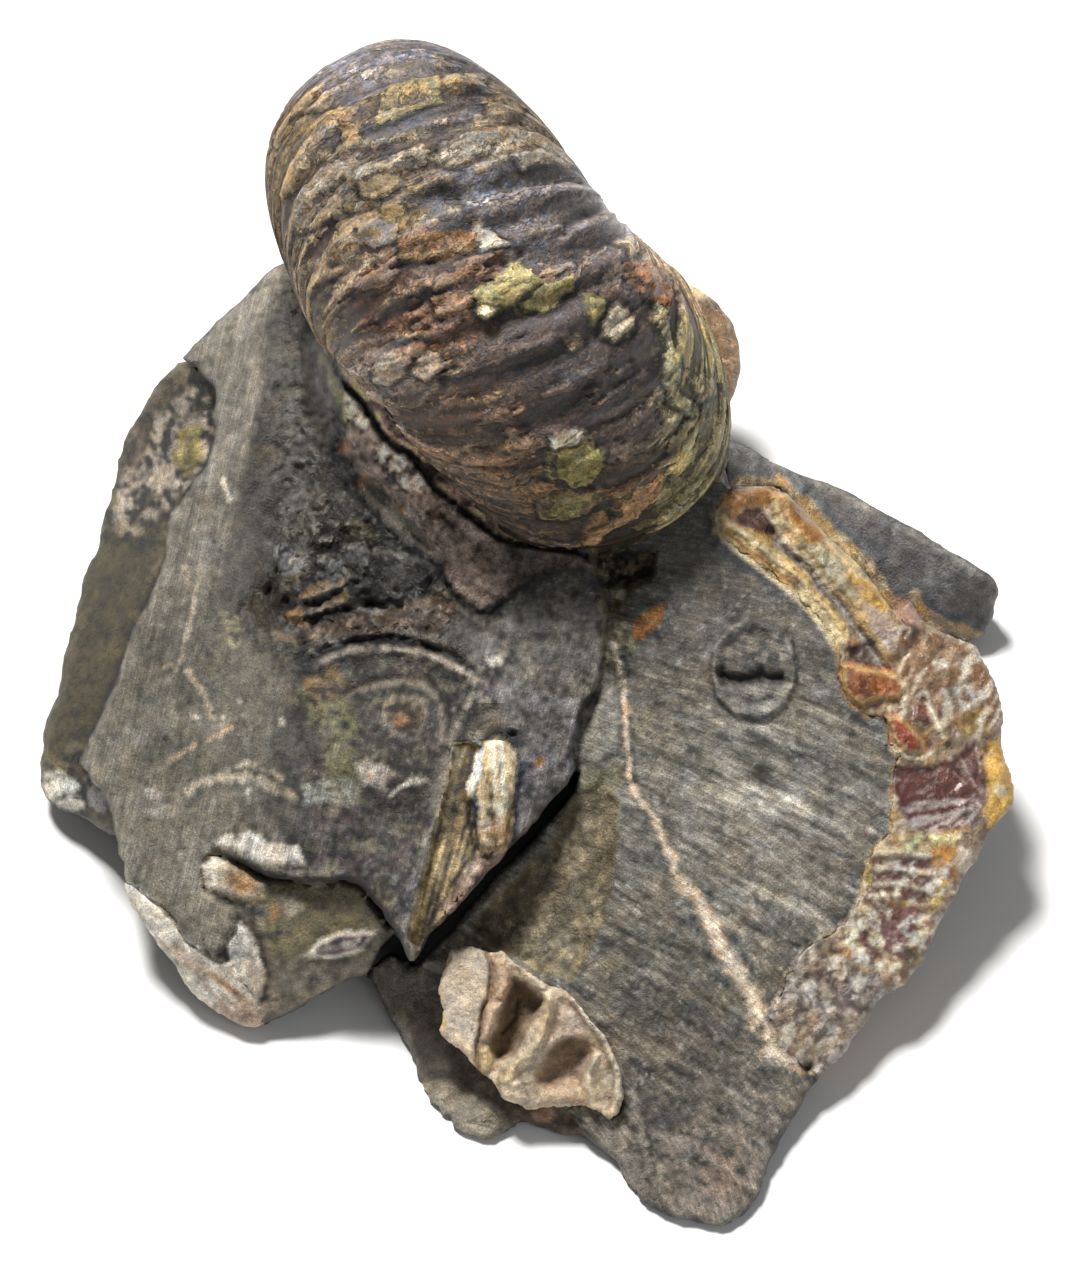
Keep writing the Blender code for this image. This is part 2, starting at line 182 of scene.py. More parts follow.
def sd(pts, pad=40.0, wander=0):
    """Signed distance to a closed outline, picture units, negative inside."""
    out = np.full(GX.shape, pad)
    s = _window(pts, pad)
    X, Y = ((GX, GY), (WX, WY), (EX, EY))[wander]
    X, Y = X[s], Y[s]
    best = np.full(X.shape, 1e18)
    inside = np.zeros(X.shape, bool)
    n = len(pts)
    for i in range(n):
        a, b = pts[i], pts[(i + 1) % n]
        d2, _, _ = _seg(X, Y, a, b)
        best = np.minimum(best, d2)
        if a[1] != b[1]:
            cond = ((a[1] > Y) != (b[1] > Y)) & (X < (b[0] - a[0]) * (Y - a[1]) / (b[1] - a[1]) + a[0])
            inside ^= cond
    d = np.sqrt(best)
    out[s] = np.where(inside, -d, np.minimum(d, pad))
    return out


def line(pts, pad=30.0, wander=0):
    """Distance to an open line, how far along it (0 to 1), and the side (+ to the left of travel)."""
    dist = np.full(GX.shape, pad)
    along = np.zeros(GX.shape)
    side = np.ones(GX.shape)
    s = _window(pts, pad)
    X, Y = ((GX, GY), (WX, WY), (EX, EY))[wander]
    X, Y = X[s], Y[s]
    best = np.full(X.shape, 1e18)
    al = np.zeros(X.shape)
    si = np.ones(X.shape)
    total = sum(math.dist(pts[i][:2], pts[i + 1][:2]) for i in range(len(pts) - 1))
    run = 0.0
    for i in range(len(pts) - 1):
        a, b = pts[i], pts[i + 1]
        d2, t, L = _seg(X, Y, a, b)
        better = d2 < best
        best = np.where(better, d2, best)
        al = np.where(better, (run + t * L) / total, al)
        cr = (b[0] - a[0]) * (Y - a[1]) - (b[1] - a[1]) * (X - a[0])
        si = np.where(better, -np.sign(cr), si)
        run += L
    dist[s] = np.minimum(np.sqrt(best), pad)
    along[s] = al
    side[s] = si
    return dist, along, side


def inside_(D, soft):
    return step(soft, -soft, D)


def plate(ctrl, smooth=0.02):
    """Thin-plate surface through (x, y, w) control points, over the whole grid."""
    c = np.asarray(ctrl, float)
    p = c[:, :2] / 100.0
    n = len(p)
    d = np.linalg.norm(p[:, None] - p[None], axis=2)
    K = np.where(d > 0, d * d * np.log(d + 1e-12), 0) + np.eye(n) * smooth
    Pm = np.hstack([np.ones((n, 1)), p])
    A = np.zeros((n + 3, n + 3))
    A[:n, :n] = K
    A[:n, n:] = Pm
    A[n:, :n] = Pm.T
    sol = np.linalg.solve(A, np.concatenate([c[:, 2], np.zeros(3)]))
    X, Y = GX / 100.0, GY / 100.0
    out = sol[n] + sol[n + 1] * X + sol[n + 2] * Y
    for i in range(n):
        r2 = (X - p[i, 0]) ** 2 + (Y - p[i, 1]) ** 2
        out = out + sol[i] * 0.5 * r2 * np.log(r2 + 1e-12)
    return out


def sample(A, px, py):
    """Bilinear look-up of a grid array."""
    x = np.clip((px - GX0) / H, 0, NX - 1.001)
    y = np.clip((py - GY0) / H, 0, NY - 1.001)
    i, j = x.astype(int), y.astype(int)
    fx, fy = x - i, y - j
    if A.ndim == 3:
        fx, fy = fx[..., None], fy[..., None]
    return (A[j, i] * (1 - fx) + A[j, i + 1] * fx) * (1 - fy) + (A[j + 1, i] * (1 - fx) + A[j + 1, i + 1] * fx) * fy


# ------------------------------------------------------------------ big coil: shape shared by all steps
COIL_AT = (-6.5, 34.5, -7.5)
COIL_AXLE = np.array([0.867, 0.498, 0.0])
COIL_AXLE /= np.linalg.norm(COIL_AXLE)
MOUTH, MOUTH_END = math.radians(100.0), math.radians(145.0)
POWER = 2.3


def whorl(theta):
    radius = 29.1 * np.exp(0.0414 * theta)
    width = 15.4 * (0.79 + 0.21 * step(-3.6, 0.1, theta))
    shift = 4.2 * step(math.radians(-30), math.radians(90), theta)
    return np.stack([radius, width, shift], -1)


def coil_ring(theta):
    """Radius, half width and shift at theta, which runs from MOUTH_END - 2 pi to MOUTH_END."""
    theta = np.asarray(theta, float)
    t = step(MOUTH, MOUTH_END, theta)[..., None]
    return whorl(np.minimum(theta, MOUTH)) * (1 - t) + whorl(theta - 2 * math.pi) * t


def coil_front():
    """Depth of the big coil's near side over the grid, -99 where it isn't."""
    x = np.full(GX.shape, 18.0)
    ok = np.ones(GX.shape, bool)
    for _ in range(14):
        k = 1.0 - (COIL_AT[2] + x) / DIST
        u = (GX - CX) * UNIT * k - COIL_AT[0]
        v = (CY - GY) * UNIT * k - COIL_AT[1]
        t = u * COIL_AXLE[0] + v * COIL_AXLE[1]
        s = u * COIL_AXLE[1] - v * COIL_AXLE[0]
        th = np.arctan2(s, x)
        R = coil_ring(th)
        q = np.abs((t - R[..., 2]) / R[..., 1])
        ok = q < 1
        c = np.where(ok, 1 - np.minimum(q, 1) ** POWER, 0) ** (1 / POWER)
        rho = 9.5 * R[..., 0] / 30 + (R[..., 0] - 9.5 * R[..., 0] / 30) * c
        x2 = rho ** 2 - s ** 2
        ok &= x2 > 0
        x = 0.5 * x + 0.5 * np.sqrt(np.maximum(x2, 0.0))
    return np.where(ok, COIL_AT[2] + x, -99.0)


COIL_W = coil_front()

# ------------------------------------------------------------------ the stone's front: outlines of its blocks
LEFT = [(283, 262), (400, 250), (560, 300), (640, 480), (600, 545), (596, 580), (606, 600), (605, 660),
        (600, 680), (590, 700), (578, 730), (573, 755), (577, 770), (545, 810), (525, 835), (510, 850),
        (490, 870), (460, 905), (430, 935), (412, 968), (400, 940), (385, 915), (372, 898), (358, 882),
        (340, 880), (300, 882), (265, 875), (240, 862), (216, 853), (206, 861), (202, 874), (207, 890), (222, 900),
        (236, 908), (238, 925), (228, 942), (216, 960), (192, 944), (162, 906), (124, 884), (120, 862), (113, 820),
        (105, 795), (90, 775), (80, 760), (90, 740), (105, 710), (118, 680), (125, 650), (140, 615),
        (150, 598), (165, 560), (170, 515), (195, 485), (210, 460), (217, 430), (215, 390), (200, 368),
        (180, 360), (200, 340), (215, 322), (240, 300), (255, 285), (265, 272), (280, 264)]
LOW = [(122, 844), (170, 843), (215, 843), (240, 850), (265, 862), (300, 868), (340, 868), (364, 872),
       (380, 890), (394, 912), (398, 928), (386, 942), (375, 958), (367, 976), (360, 976), (345, 981),
       (320, 995), (300, 1008), (275, 1020), (255, 1028), (245, 1027), (225, 1018), (200, 1000),
       (185, 985), (175, 965), (160, 948), (145, 928), (130, 905), (124, 885), (126, 862)]
SIDE = [(283, 262), (265, 272), (240, 300), (215, 322), (200, 340), (180, 360), (160, 380), (145, 400),
        (138, 415), (125, 435), (118, 450), (110, 485), (103, 515), (98, 545), (90, 560), (82, 580),
        (78, 600), (70, 630), (62, 660), (58, 690), (48, 715), (42, 735), (40, 770), (40, 787),
        (48, 800), (60, 810), (75, 815), (90, 822), (110, 835), (124, 852), (150, 850), (250, 700),
        (300, 400), (320, 280)]
RIGHT = [(583, 545), (640, 470), (727, 470), (727, 490), (737, 486), (760, 485), (775, 485), (800, 505),
         (830, 540), (860, 565), (880, 595), (895, 615), (912, 600), (920, 620), (950, 635), (975, 645),
         (985, 660), (995, 680), (1000, 700), (1003, 720), (1002, 745), (1007, 765), (1013, 785),
         (1014, 800), (1008, 812), (995, 825), (985, 840), (975, 862), (960, 885), (950, 905),
         (940, 920), (935, 935), (928, 952), (915, 970), (905, 985), (890, 995), (878, 1000),
         (870, 1015), (858, 1033), (850, 1050), (838, 1062), (822, 1075), (810, 1090), (795, 1115),
         (780, 1140), (770, 1160), (763, 1180), (758, 1198), (745, 1213), (730, 1225), (720, 1227),
         (700, 1225), (680, 1220), (660, 1212), (640, 1200), (625, 1180), (615, 1162), (600, 1148),
         (585, 1138), (560, 1100), (470, 985), (422, 966), (432, 950), (450, 930), (479, 896),
         (508, 863), (536, 836), (562, 806), (578, 781), (578, 768), (560, 750), (560, 712), (580, 690),
         (590, 660), (590, 600), (583, 575)]
APRON = [(367, 976), (378, 962), (392, 950), (412, 968), (425, 958), (445, 948), (600, 1000), (660, 1100),
         (664, 1213), (640, 1200), (625, 1180), (615, 1162), (600, 1148), (585, 1138), (578, 1136),
         (562, 1139), (552, 1134), (540, 1127), (522, 1122), (512, 1128), (495, 1138), (485, 1142),
         (470, 1140), (455, 1130), (440, 1115), (425, 1095), (415, 1080), (411, 1065), (408, 1050),
         (400, 1035), (390, 1020), (382, 1005), (375, 985)]
WEDGE = [(690, 420), (727, 438), (745, 445), (765, 452), (800, 468), (840, 487), (900, 520), (940, 545),
         (975, 565), (990, 575), (996, 583), (998, 592), (994, 610), (988, 630), (975, 643), (930, 670),
         (880, 650), (760, 540), (700, 500)]
BED = [(300, 290), (420, 200), (560, 250), (690, 340), (722, 440), (732, 500), (700, 570), (625, 660),
       (560, 640), (500, 600), (350, 450)]

CRACK = [(412, 969), (418, 955), (432, 940), (462, 908), (490, 876), (520, 845), (545, 816), (570, 784),
         (577, 772), (580, 770), (578, 783), (564, 805), (537, 835), (508, 863), (479, 896), (450, 930),
         (432, 950), (421, 964)]

# depth of each block's face, (x, y, w)
C_LEFT = [(285, 268, -19), (240, 300, -20.5), (180, 360, -21), (330, 300, -14), (400, 350, -6),
          (470, 420, -3), (520, 480, -1), (560, 520, 0), (215, 390, -15.5), (217, 430, -13.5),
          (195, 485, -11.5), (165, 560, -9.5), (140, 615, -8), (118, 680, -7), (82, 760, -6),
          (105, 795, -4.4), (122, 848, -2.6), (240, 500, -8.6), (200, 620, -6), (170, 700, -4.6), (200, 900, 0.2), (215, 950, -0.2), (162, 890, -1.5), (124, 880, -2.9), (190, 935, -0.8),
          (200, 760, -2.6), (250, 700, -2.2), (160, 820, -2.2), (200, 850, -0.4), (272, 300, -16),
          (262, 400, -10.6), (245, 470, -8.8), (300, 400, -9), (330, 450, -7.4), (300, 500, -7),
          (300, 560, -5), (350, 560, -3.8), (300, 620, -3), (350, 650, -1), (400, 600, -1.4),
          (450, 620, 0.2), (500, 640, 1.6), (560, 640, 2.4), (600, 600, 1.8), (604, 660, 2.6),
          (430, 700, 2.6), (400, 760, 4), (400, 820, 5.6), (360, 860, 5.8), (300, 860, 3.6),
          (300, 780, 2), (300, 720, 0.6), (250, 800, 0.6), (250, 850, 2), (385, 900, 7.6),
          (412, 966, 7.6), (440, 880, 9.6), (450, 800, 9), (470, 730, 7.4), (500, 700, 6),
          (500, 780, 8.4), (500, 850, 7.6), (545, 808, 6.4), (575, 768, 5), (550, 720, 5),
          (585, 700, 4)]
C_LOW = [(124, 850, -3.4), (124, 885, -3.4), (145, 928, -3.6), (175, 965, -3.8), (200, 1000, -4.2),
         (250, 1027, -4.4), (300, 1008, -3.2), (345, 981, -1.8), (367, 976, -0.8), (170, 860, -1.6),
         (200, 900, -0.8), (230, 945, -0.6), (262, 975, -1.2), (215, 860, 0), (260, 880, 0.6),
         (300, 890, 1.4), (340, 890, 2.6), (370, 905, 3.4), (390, 930, 3.6), (340, 940, 1.6),
         (300, 950, 0.4), (300, 985, -1.2)]
C_SIDE = [(283, 262, -23), (240, 300, -24), (180, 360, -27), (160, 380, -28), (125, 435, -31),
          (110, 485, -30), (98, 545, -28), (82, 580, -26.5), (62, 660, -22), (48, 715, -19.5),
          (40, 760, -18), (40, 787, -17), (60, 810, -16), (90, 822, -13.5), (118, 845, -9),
          (200, 368, -23), (215, 430, -19.5), (195, 485, -17), (165, 560, -15.5), (140, 615, -14.5),
          (118, 680, -13.5), (90, 740, -13.5), (85, 765, -13), (105, 795, -10), (250, 600, -10),
          (290, 400, -16)]
C_RIGHT = [(600, 570, -0.6), (640, 560, -1), (640, 640, 1), (690, 560, -0.8), (727, 500, -3), (760, 487, -4.6),
           (830, 540, -5.6), (895, 615, -5), (950, 637, -6), (990, 672, -6.8), (1003, 720, -6.2),
           (1013, 790, -5), (985, 840, -3.4), (950, 905, -2), (928, 952, -1), (885, 997, 0),
           (858, 1033, 1), (822, 1075, 2), (780, 1140, 4.6), (762, 1185, 6.6), (745, 1212, 7.6), (720, 1226, 8.2),
           (680, 1220, 7.8), (650, 1205, 6.9), (620, 1165, 4.6), (600, 1130, 3.8), (700, 700, 0.5),
           (800, 700, -1.2), (700, 850, 2), (800, 850, 0.1), (900, 800, -1.9), (700, 1000, 3.6),
           (800, 950, 1.3), (640, 900, 3), (620, 1000, 4), (700, 1150, 5.6), (620, 700, 2.0),
           (590, 770, 2.6), (616, 830, 3.0), (605, 910, 3.4), (580, 975, 3.6), (560, 860, 1.6),
           (520, 900, 1.2), (460, 945, 0.6), (520, 985, 2.4), (600, 1080, 3.6), (560, 1090, 2.8)]
C_APRON = [(367, 976, -6), (390, 1010, -5.0), (411, 1070, -2.4), (440, 1115, 0.6), (485, 1142, 2.4),
           (552, 1134, 2.2), (600, 1148, 3.4), (640, 1200, 6.4), (400, 965, -3.6), (445, 950, -0.4),
           (430, 1010, -2), (460, 1080, -0.6), (500, 970, 1.6), (600, 1010, 3.2), (640, 1100, 3.6),
           (650, 1170, 5.4), (540, 1050, 2), (560, 1110, 2.2), (620, 1130, 3.6)]
C_WEDGE = [(700, 430, -26), (745, 446, -28), (765, 452, -29), (840, 487, -28.4), (900, 520, -27.6),
           (940, 545, -27.2), (990, 576, -27), (998, 592, -28), (988, 630, -30.4), (975, 643, -31),
           (930, 600, -27.4), (850, 540, -28), (760, 500, -28), (900, 640, -30)]
C_BED = [(300, 300, -21), (450, 300, -25), (600, 350, -27), (700, 420, -26), (722, 460, -20),
         (700, 520, -9), (660, 545, -6), (620, 560, -6.5), (590, 560, -5), (620, 600, -2.6), (600, 640, -1),
         (500, 560, -6), (400, 450, -12)]


def chamfer(d, size):
    """Worn edge: how much a face drops close inside its outline (d in picture units, size in mm)."""
    c = size * (1.0 + 0.7 * fbm2(GX / 16, GY / 16, 21, 3))
    return np.clip(d * UNIT + c, 0, None) ** 1.5 / np.sqrt(np.maximum(c, 1e-3))


D_LEFT, D_LOW, D_SIDE, D_RIGHT, D_APRON, D_WEDGE, D_BED = (
    sd(p, 60, 2) for p in (LEFT, LOW, SIDE, RIGHT, APRON, WEDGE, BED))
W_LEFT, W_LOW, W_SIDE, W_RIGHT, W_APRON, W_WEDGE, W_BED = (
    plate(c) for c in (C_LEFT, C_LOW, C_SIDE, C_RIGHT, C_APRON, C_WEDGE, C_BED))

# ---- shared relief: broad lumps, then grit
lump = fbm2(GX / 60, GY / 60, 31, 4)
grit = fbm2(GX / 9, GY / 9, 32, 3)
fine = noise2(GX / 4, GY / 4, 33)
rough_left = step(255, 300, GX + (GY - 400) * 0.06) * (0.22 * step(860, 780, GY) + 0.78 * step(668, 625, GY)) * step(470, 440, GX - 0)
W_LEFT += 0.10 * lump + 0.05 * grit + rough_left * (1.1 * fbm2(GX / 34, GY / 34, 34, 5, 0.6) + 1.3 * (0.4 - np.abs(fbm2(GX / 26, GY / 20, 37, 4))) + 0.55 * (0.3 - np.abs(fbm2(GX / 11, GY / 9, 39, 3))) + 0.16 * grit)
W_LOW += 0.35 * lump + 0.12 * grit
W_SIDE += 0.5 * lump + 0.10 * grit
W_RIGHT += 0.16 * lump + 0.05 * grit
W_APRON += 0.5 * fbm2(GX / 40, GY / 40, 35, 4) + 0.15 * grit
W_WEDGE += 0.25 * lump + 0.08 * grit
W_BED += 0.8 * fbm2(GX / 24, GY / 24, 36, 4) + 0.2 * grit

# ---- creases and steps of the left-hand block
crease = [(285, 262), (272, 300), (268, 340), (262, 400), (255, 430), (245, 470), (238, 500), (225, 560)]
d, al, side = line(crease, 120)
CREASE = d * side
W_LEFT -= 0.045 * np.clip(d, 0, 40) * (side > 0) * step(560, 440, GY) - 0.5 * gauss(d, 14) * step(600, 500, GY)

ridge = [(478, 685), (455, 730), (445, 775), (435, 820), (420, 880), (405, 930), (412, 962)]
d, al, side = line(ridge, 90)
R_RIGHT = side * 1.0
W_LEFT += 0.9 * gauss(d, 20) * (side < 0) * step(0.0, 0.12, al) + 0.9 * gauss(d, 5) * (side >= 0) * step(0.0, 0.12, al)

# layers under the big coil
under_a = [(345, 440), (350, 460), (360, 490), (375, 510), (400, 535), (420, 550), (440, 565), (448, 582),
           (462, 597), (475, 608), (485, 612), (500, 603), (520, 588), (545, 575), (575, 570), (600, 566)]
contact = [(300, 262), (310, 300), (325, 340), (338, 372), (350, 390), (365, 405), (378, 430), (390, 443), (410, 453),
           (420, 468), (435, 488), (455, 505), (475, 520), (495, 535), (515, 543), (550, 548), (575, 552),
           (592, 560)]
UNDER = [(345, 385)] + contact[6:] + under_a[::-1]
D_UNDER = sd(UNDER, 40, 1)
n_u = fbm2(GX / 20, GY / 20, 62, 4)
W_LEFT += 0.9 * step(5, -6, D_UNDER) + 0.35 * gauss(D_UNDER + 2, 4) * (n_u > -0.1) + step(4, -6, D_UNDER) * (0.5 * n_u - 0.3 * np.abs(fbm2(GX / 9, GY / 9, 63, 3)))
# dark lobe below it
LOBE = [(345, 545), (360, 548), (415, 556), (436, 570), (420, 585), (400, 602), (378, 600), (355, 580)]
D_LOBE = sd(LOBE, 40, 1)
W_LEFT += 0.8 * step(4, -4, D_LOBE)
# raised swell between the lobe and the right
SWELL = [(460, 612), (485, 618), (510, 605), (545, 585), (590, 575), (604, 600), (602, 660), (580, 700),
         (520, 690), (480, 676), (430, 640)]
D_SWELL = sd(SWELL, 60, 1)
W_LEFT += 1.1 * step(20, -20, D_SWELL)

# hollow and pit
D_HOLLOW = sd([(246, 606), (255, 588), (270, 580), (285, 592), (292, 606), (282, 622), (262, 626)], 40, 1)
W_LEFT -= 1.3 * step(8, -12, D_HOLLOW)
D_PIT = sd([(295, 512), (306, 520), (310, 540), (300, 546), (292, 530)], 30, 1)
W_LEFT -= 1.0 * step(4, -4, D_PIT)
d, al, side = line([(252, 622), (290, 628), (330, 620), (370, 606), (400, 600)], 40, 1)
W_LEFT -= 0.6 * gauss(d, 7)

CREV = [[(262, 606), (272, 588), (282, 568), (280, 552)], [(283, 590), (292, 606), (302, 592), (312, 566), (308, 552)],
        [(300, 608), (330, 598), (350, 586), (362, 578)], [(296, 623), (330, 613), (372, 606), (402, 598)],
        [(290, 500), (286, 520), (296, 542), (320, 548), (345, 546)], [(338, 470), (330, 500), (334, 530), (346, 548)],
        [(262, 440), (280, 452), (300, 470), (310, 490)], [(306, 380), (300, 400), (312, 425), (330, 440)],
        [(420, 590), (446, 604), (470, 628), (500, 636)], [(540, 600), (560, 622), (590, 632)]]
for k_, pts_ in enumerate(CREV):
    d, al, side = line(pts_, 40, 1)
    amt_ = 0.9 if k_ < 5 else 0.5
    W_LEFT += 0.5 * amt_ * (0.6 * gauss(d - 8, 5) - gauss(d, 3.2)) * step(0, 0.15, al) * step(1, 0.85, al)
# arcs of a flank in the stone
arc_out = [(305, 660), (325, 650), (345, 643), (375, 638), (410, 640), (440, 650), (465, 665), (476, 678)]
d_arc, al_arc, s_arc = line(arc_out, 60, 2)
W_LEFT -= 0.75 * gauss(d_arc, 3.6) * step(0, 0.15, al_arc)
W_LEFT += 0.65 * gauss(d_arc - 10, 7) * (s_arc < 0)
arc_in = [(345, 700), (360, 688), (380, 682), (405, 677), (430, 680), (445, 700), (450, 722), (446, 745)]
d_ain, al_ain, s_ain = line(arc_in, 60, 2)
W_LEFT -= 0.45 * gauss(d_ain, 4)
D_DISC = sd([(330, 700), (350, 685), (385, 676), (425, 674), (446, 694), (452, 725), (446, 760), (430, 795),
             (395, 812), (350, 805), (318, 780), (308, 740)], 60, 2)
W_LEFT += 0.5 * step(6, -30, D_DISC)

# dark sliver and the cream block beside the ridge
SLIVER = [(463, 690), (479, 688), (474, 715), (462, 742), (452, 752), (449, 735)]
D_SLIVER = sd(SLIVER, 30, 2)
W_LEFT -= 0.5 * step(3, -3, D_SLIVER)
CREAM = [(485, 742), (500, 737), (513, 743), (517, 765), (514, 800), (512, 838), (505, 851), (481, 853), (478, 822),
         (480, 792), (482, 764)]
D_CREAM = sd(CREAM, 40, 2)
W_LEFT += 1.1 * step(3, -4, D_CREAM)
FACET = [(450, 742), (470, 742), (483, 752), (470, 790), (478, 845), (490, 852), (470, 885), (440, 920),
         (418, 950), (408, 940), (412, 910), (424, 868), (436, 820), (446, 775)]
D_FACET = sd(FACET, 40, 2)
W_LEFT -= inside_(D_FACET, 3) * (0.7 + 0.012 * np.clip(d, 0, 60))
d_slot, _, _ = line([(488, 737), (500, 733), (514, 735)], 30, 0)
W_LEFT -= 1.2 * gauss(d_slot, 3.5)

# right edge of the left-hand block
D_PURPLE = sd([(486, 688), (520, 684), (580, 700), (574, 752), (575, 768), (545, 808), (516, 836), (514, 790),
               (518, 750), (500, 728)], 60, 2)
W_LEFT += 0.35 * step(6, -20, D_PURPLE) + 0.4 * fbm2(GX / 22, GY / 22, 38, 3) * step(4, -10, D_PURPLE)

# shell patches standing a little proud
UPCREAM = [(213, 842), (232, 831), (252, 835), (272, 842), (298, 847), (304, 866), (280, 868), (255, 862), (232, 852)]
D_UPCREAM = sd(UPCREAM, 40, 1)
W_LEFT += 0.45 * step(2, -3, D_UPCREAM)
OVAL = [(203, 866), (210, 858), (235, 861), (252, 874), (266, 886), (265, 900), (246, 905), (225, 898), (208, 886)]
D_OVAL = sd(OVAL, 40, 1)
W_LOW += 0.9 * step(3, -8, D_OVAL)
LENS = [(303, 957), (318, 941), (345, 930), (378, 931), (362, 949), (336, 959)]
D_LENS = sd(LENS, 40, 2)
W_LOW += 0.7 * step(3, -8, D_LENS)
WHITEP = [(226, 944), (240, 920), (250, 930), (256, 948), (264, 976), (258, 1000), (240, 985), (230, 965)]
D_WHITEP = sd(WHITEP, 40, 1)
W_LOW += 0.5 * step(3, -4, D_WHITEP)
d_cr, al_cr, s_cr = line([(215, 851), (240, 861), (265, 873), (300, 880), (340, 878), (358, 881), (372, 897),
                          (385, 914), (399, 938)], 40, 2)
W_LOW -= 1.2 * gauss(d_cr, 5)

# ---- right-hand block
OLIVE = [(577, 790), (600, 778), (620, 800), (616, 870), (606, 915), (590, 950), (575, 982), (545, 975),
         (515, 955), (490, 948), (470, 925), (500, 893), (545, 848)]
D_OLIVE = sd(OLIVE, 60, 2)
W_RIGHT += step(4, -10, D_OLIVE) * (0.35 * fbm2(GX / 14, GY / 14, 41, 4) + 0.16 * grit) - 0.5 * step(2, -12, D_OLIVE)
PALEW = [(600, 700), (612, 685), (620, 700), (622, 722), (616, 755), (592, 768), (584, 757), (588, 730)]
D_PALEW = sd(PALEW, 30, 2)
W_RIGHT += 0.5 * step(3, -5, D_PALEW)
vein = [(612, 640), (615, 655), (622, 690), (628, 740), (628, 775), (640, 800), (655, 820), (668, 850), (680, 880), (700, 900),
        (712, 925), (722, 950), (740, 975), (755, 1000), (760, 1025), (775, 1050), (800, 1062), (820, 1073)]
d_vein, al_vein, s_vein = line(vein, 40, 1)
vein_w = 1.6 + 6.5 * step(0.3, 0.85, al_vein) * step(1.02, 0.9, al_vein) + 1.6 * noise2(GX / 11, GY / 11, 43)
W_RIGHT += 0.22 * gauss(d_vein, vein_w + 2) + 0.25 * gauss(d_vein - vein_w, 3) * noise2(GX / 6, GY / 6, 44)
W_RIGHT -= 1.5 * gauss(np.hypot(GX - 808, GY - 1067), 6)
# round inclusion
q_inc = np.hypot((WX - 754) / 42.0, (WY - 668) / 50.0)
W_RIGHT += 0.55 * step(1.1, 0.9, q_inc) + 0.35 * gauss(q_inc - 0.95, 0.09) - 0.35 * gauss(q_inc - 0.72, 0.08)
d_isl, _, _ = line([(724, 676), (740, 681), (756, 677), (776, 680)], 30, 1)
W_RIGHT -= 1.1 * gauss(d_isl, 6.0)
# rubble in the junction
RUBBLE = [(590, 566), (640, 570), (652, 600), (640, 650), (622, 690), (604, 668), (600, 610)]
D_RUBBLE = sd(RUBBLE, 40, 1)
W_RIGHT += step(4, -8, D_RUBBLE) * (0.9 * fbm2(GX / 12, GY / 12, 45, 3))
D_DEEP = sd([(588, 543), (630, 548), (655, 552), (652, 580), (625, 590), (604, 584)], 30, 1)
W_RIGHT += step(3, -8, D_DEEP) * (-1.6 + 1.2 * fbm2(GX / 10, GY / 10, 46, 3))
CHIP = [(632, 640), (635, 620), (650, 608), (668, 603), (660, 622), (645, 640)]
D_CHIP = sd(CHIP, 30, 2)
W_RIGHT += 0.6 * step(2, -5, D_CHIP)
# dark patch and the pale facet at the foot
D_DARKP = sd([(638, 1095), (690, 1092), (696, 1110), (686, 1132), (645, 1132)], 30, 1)
d_foot, al_foot, s_foot = line([(612, 1060), (630, 1085), (640, 1130), (650, 1170), (656, 1204)], 60, 2)
W_RIGHT -= 0.06 * np.clip(d_foot, 0, 40) * (s_foot > 0) * (GY > 1040) * 0.0

# ---- calcite rim: outer shell of another coil, cut across
RIM_IN = [(716, 532), (740, 552), (764, 570), (790, 590), (812, 612), (828, 634), (838, 652), (838, 668), (842, 690),
          (850, 702), (862, 714), (885, 718), (886, 742), (898, 756), (893, 768), (892, 790), (892, 830), (872, 850), (862, 880),
          (858, 905), (832, 930), (800, 952), (782, 985), (770, 1015), (778, 1045), (800, 1062), (818, 1078)]
RIM = [(712, 515), (727, 492), (737, 478), (780, 476), (810, 500), (840, 535), (870, 560), (895, 598), (915, 592),
       (930, 612), (980, 632), (1000, 655), (1015, 700), (1030, 790), (1000, 850), (960, 925), (925, 990),
       (885, 1012), (850, 1068)] + RIM_IN[::-1]
D_RIM = sd(RIM, 60, 1)
calc = step(3, -3, D_RIM)
rimn = fbm2(GX / 12, GY / 12, 51, 4)
W_RIGHT += calc * (0.25 + 0.34 * rimn + 0.18 * fbm2(GX / 5, GY / 5, 52, 3) + 0.10 * grit)
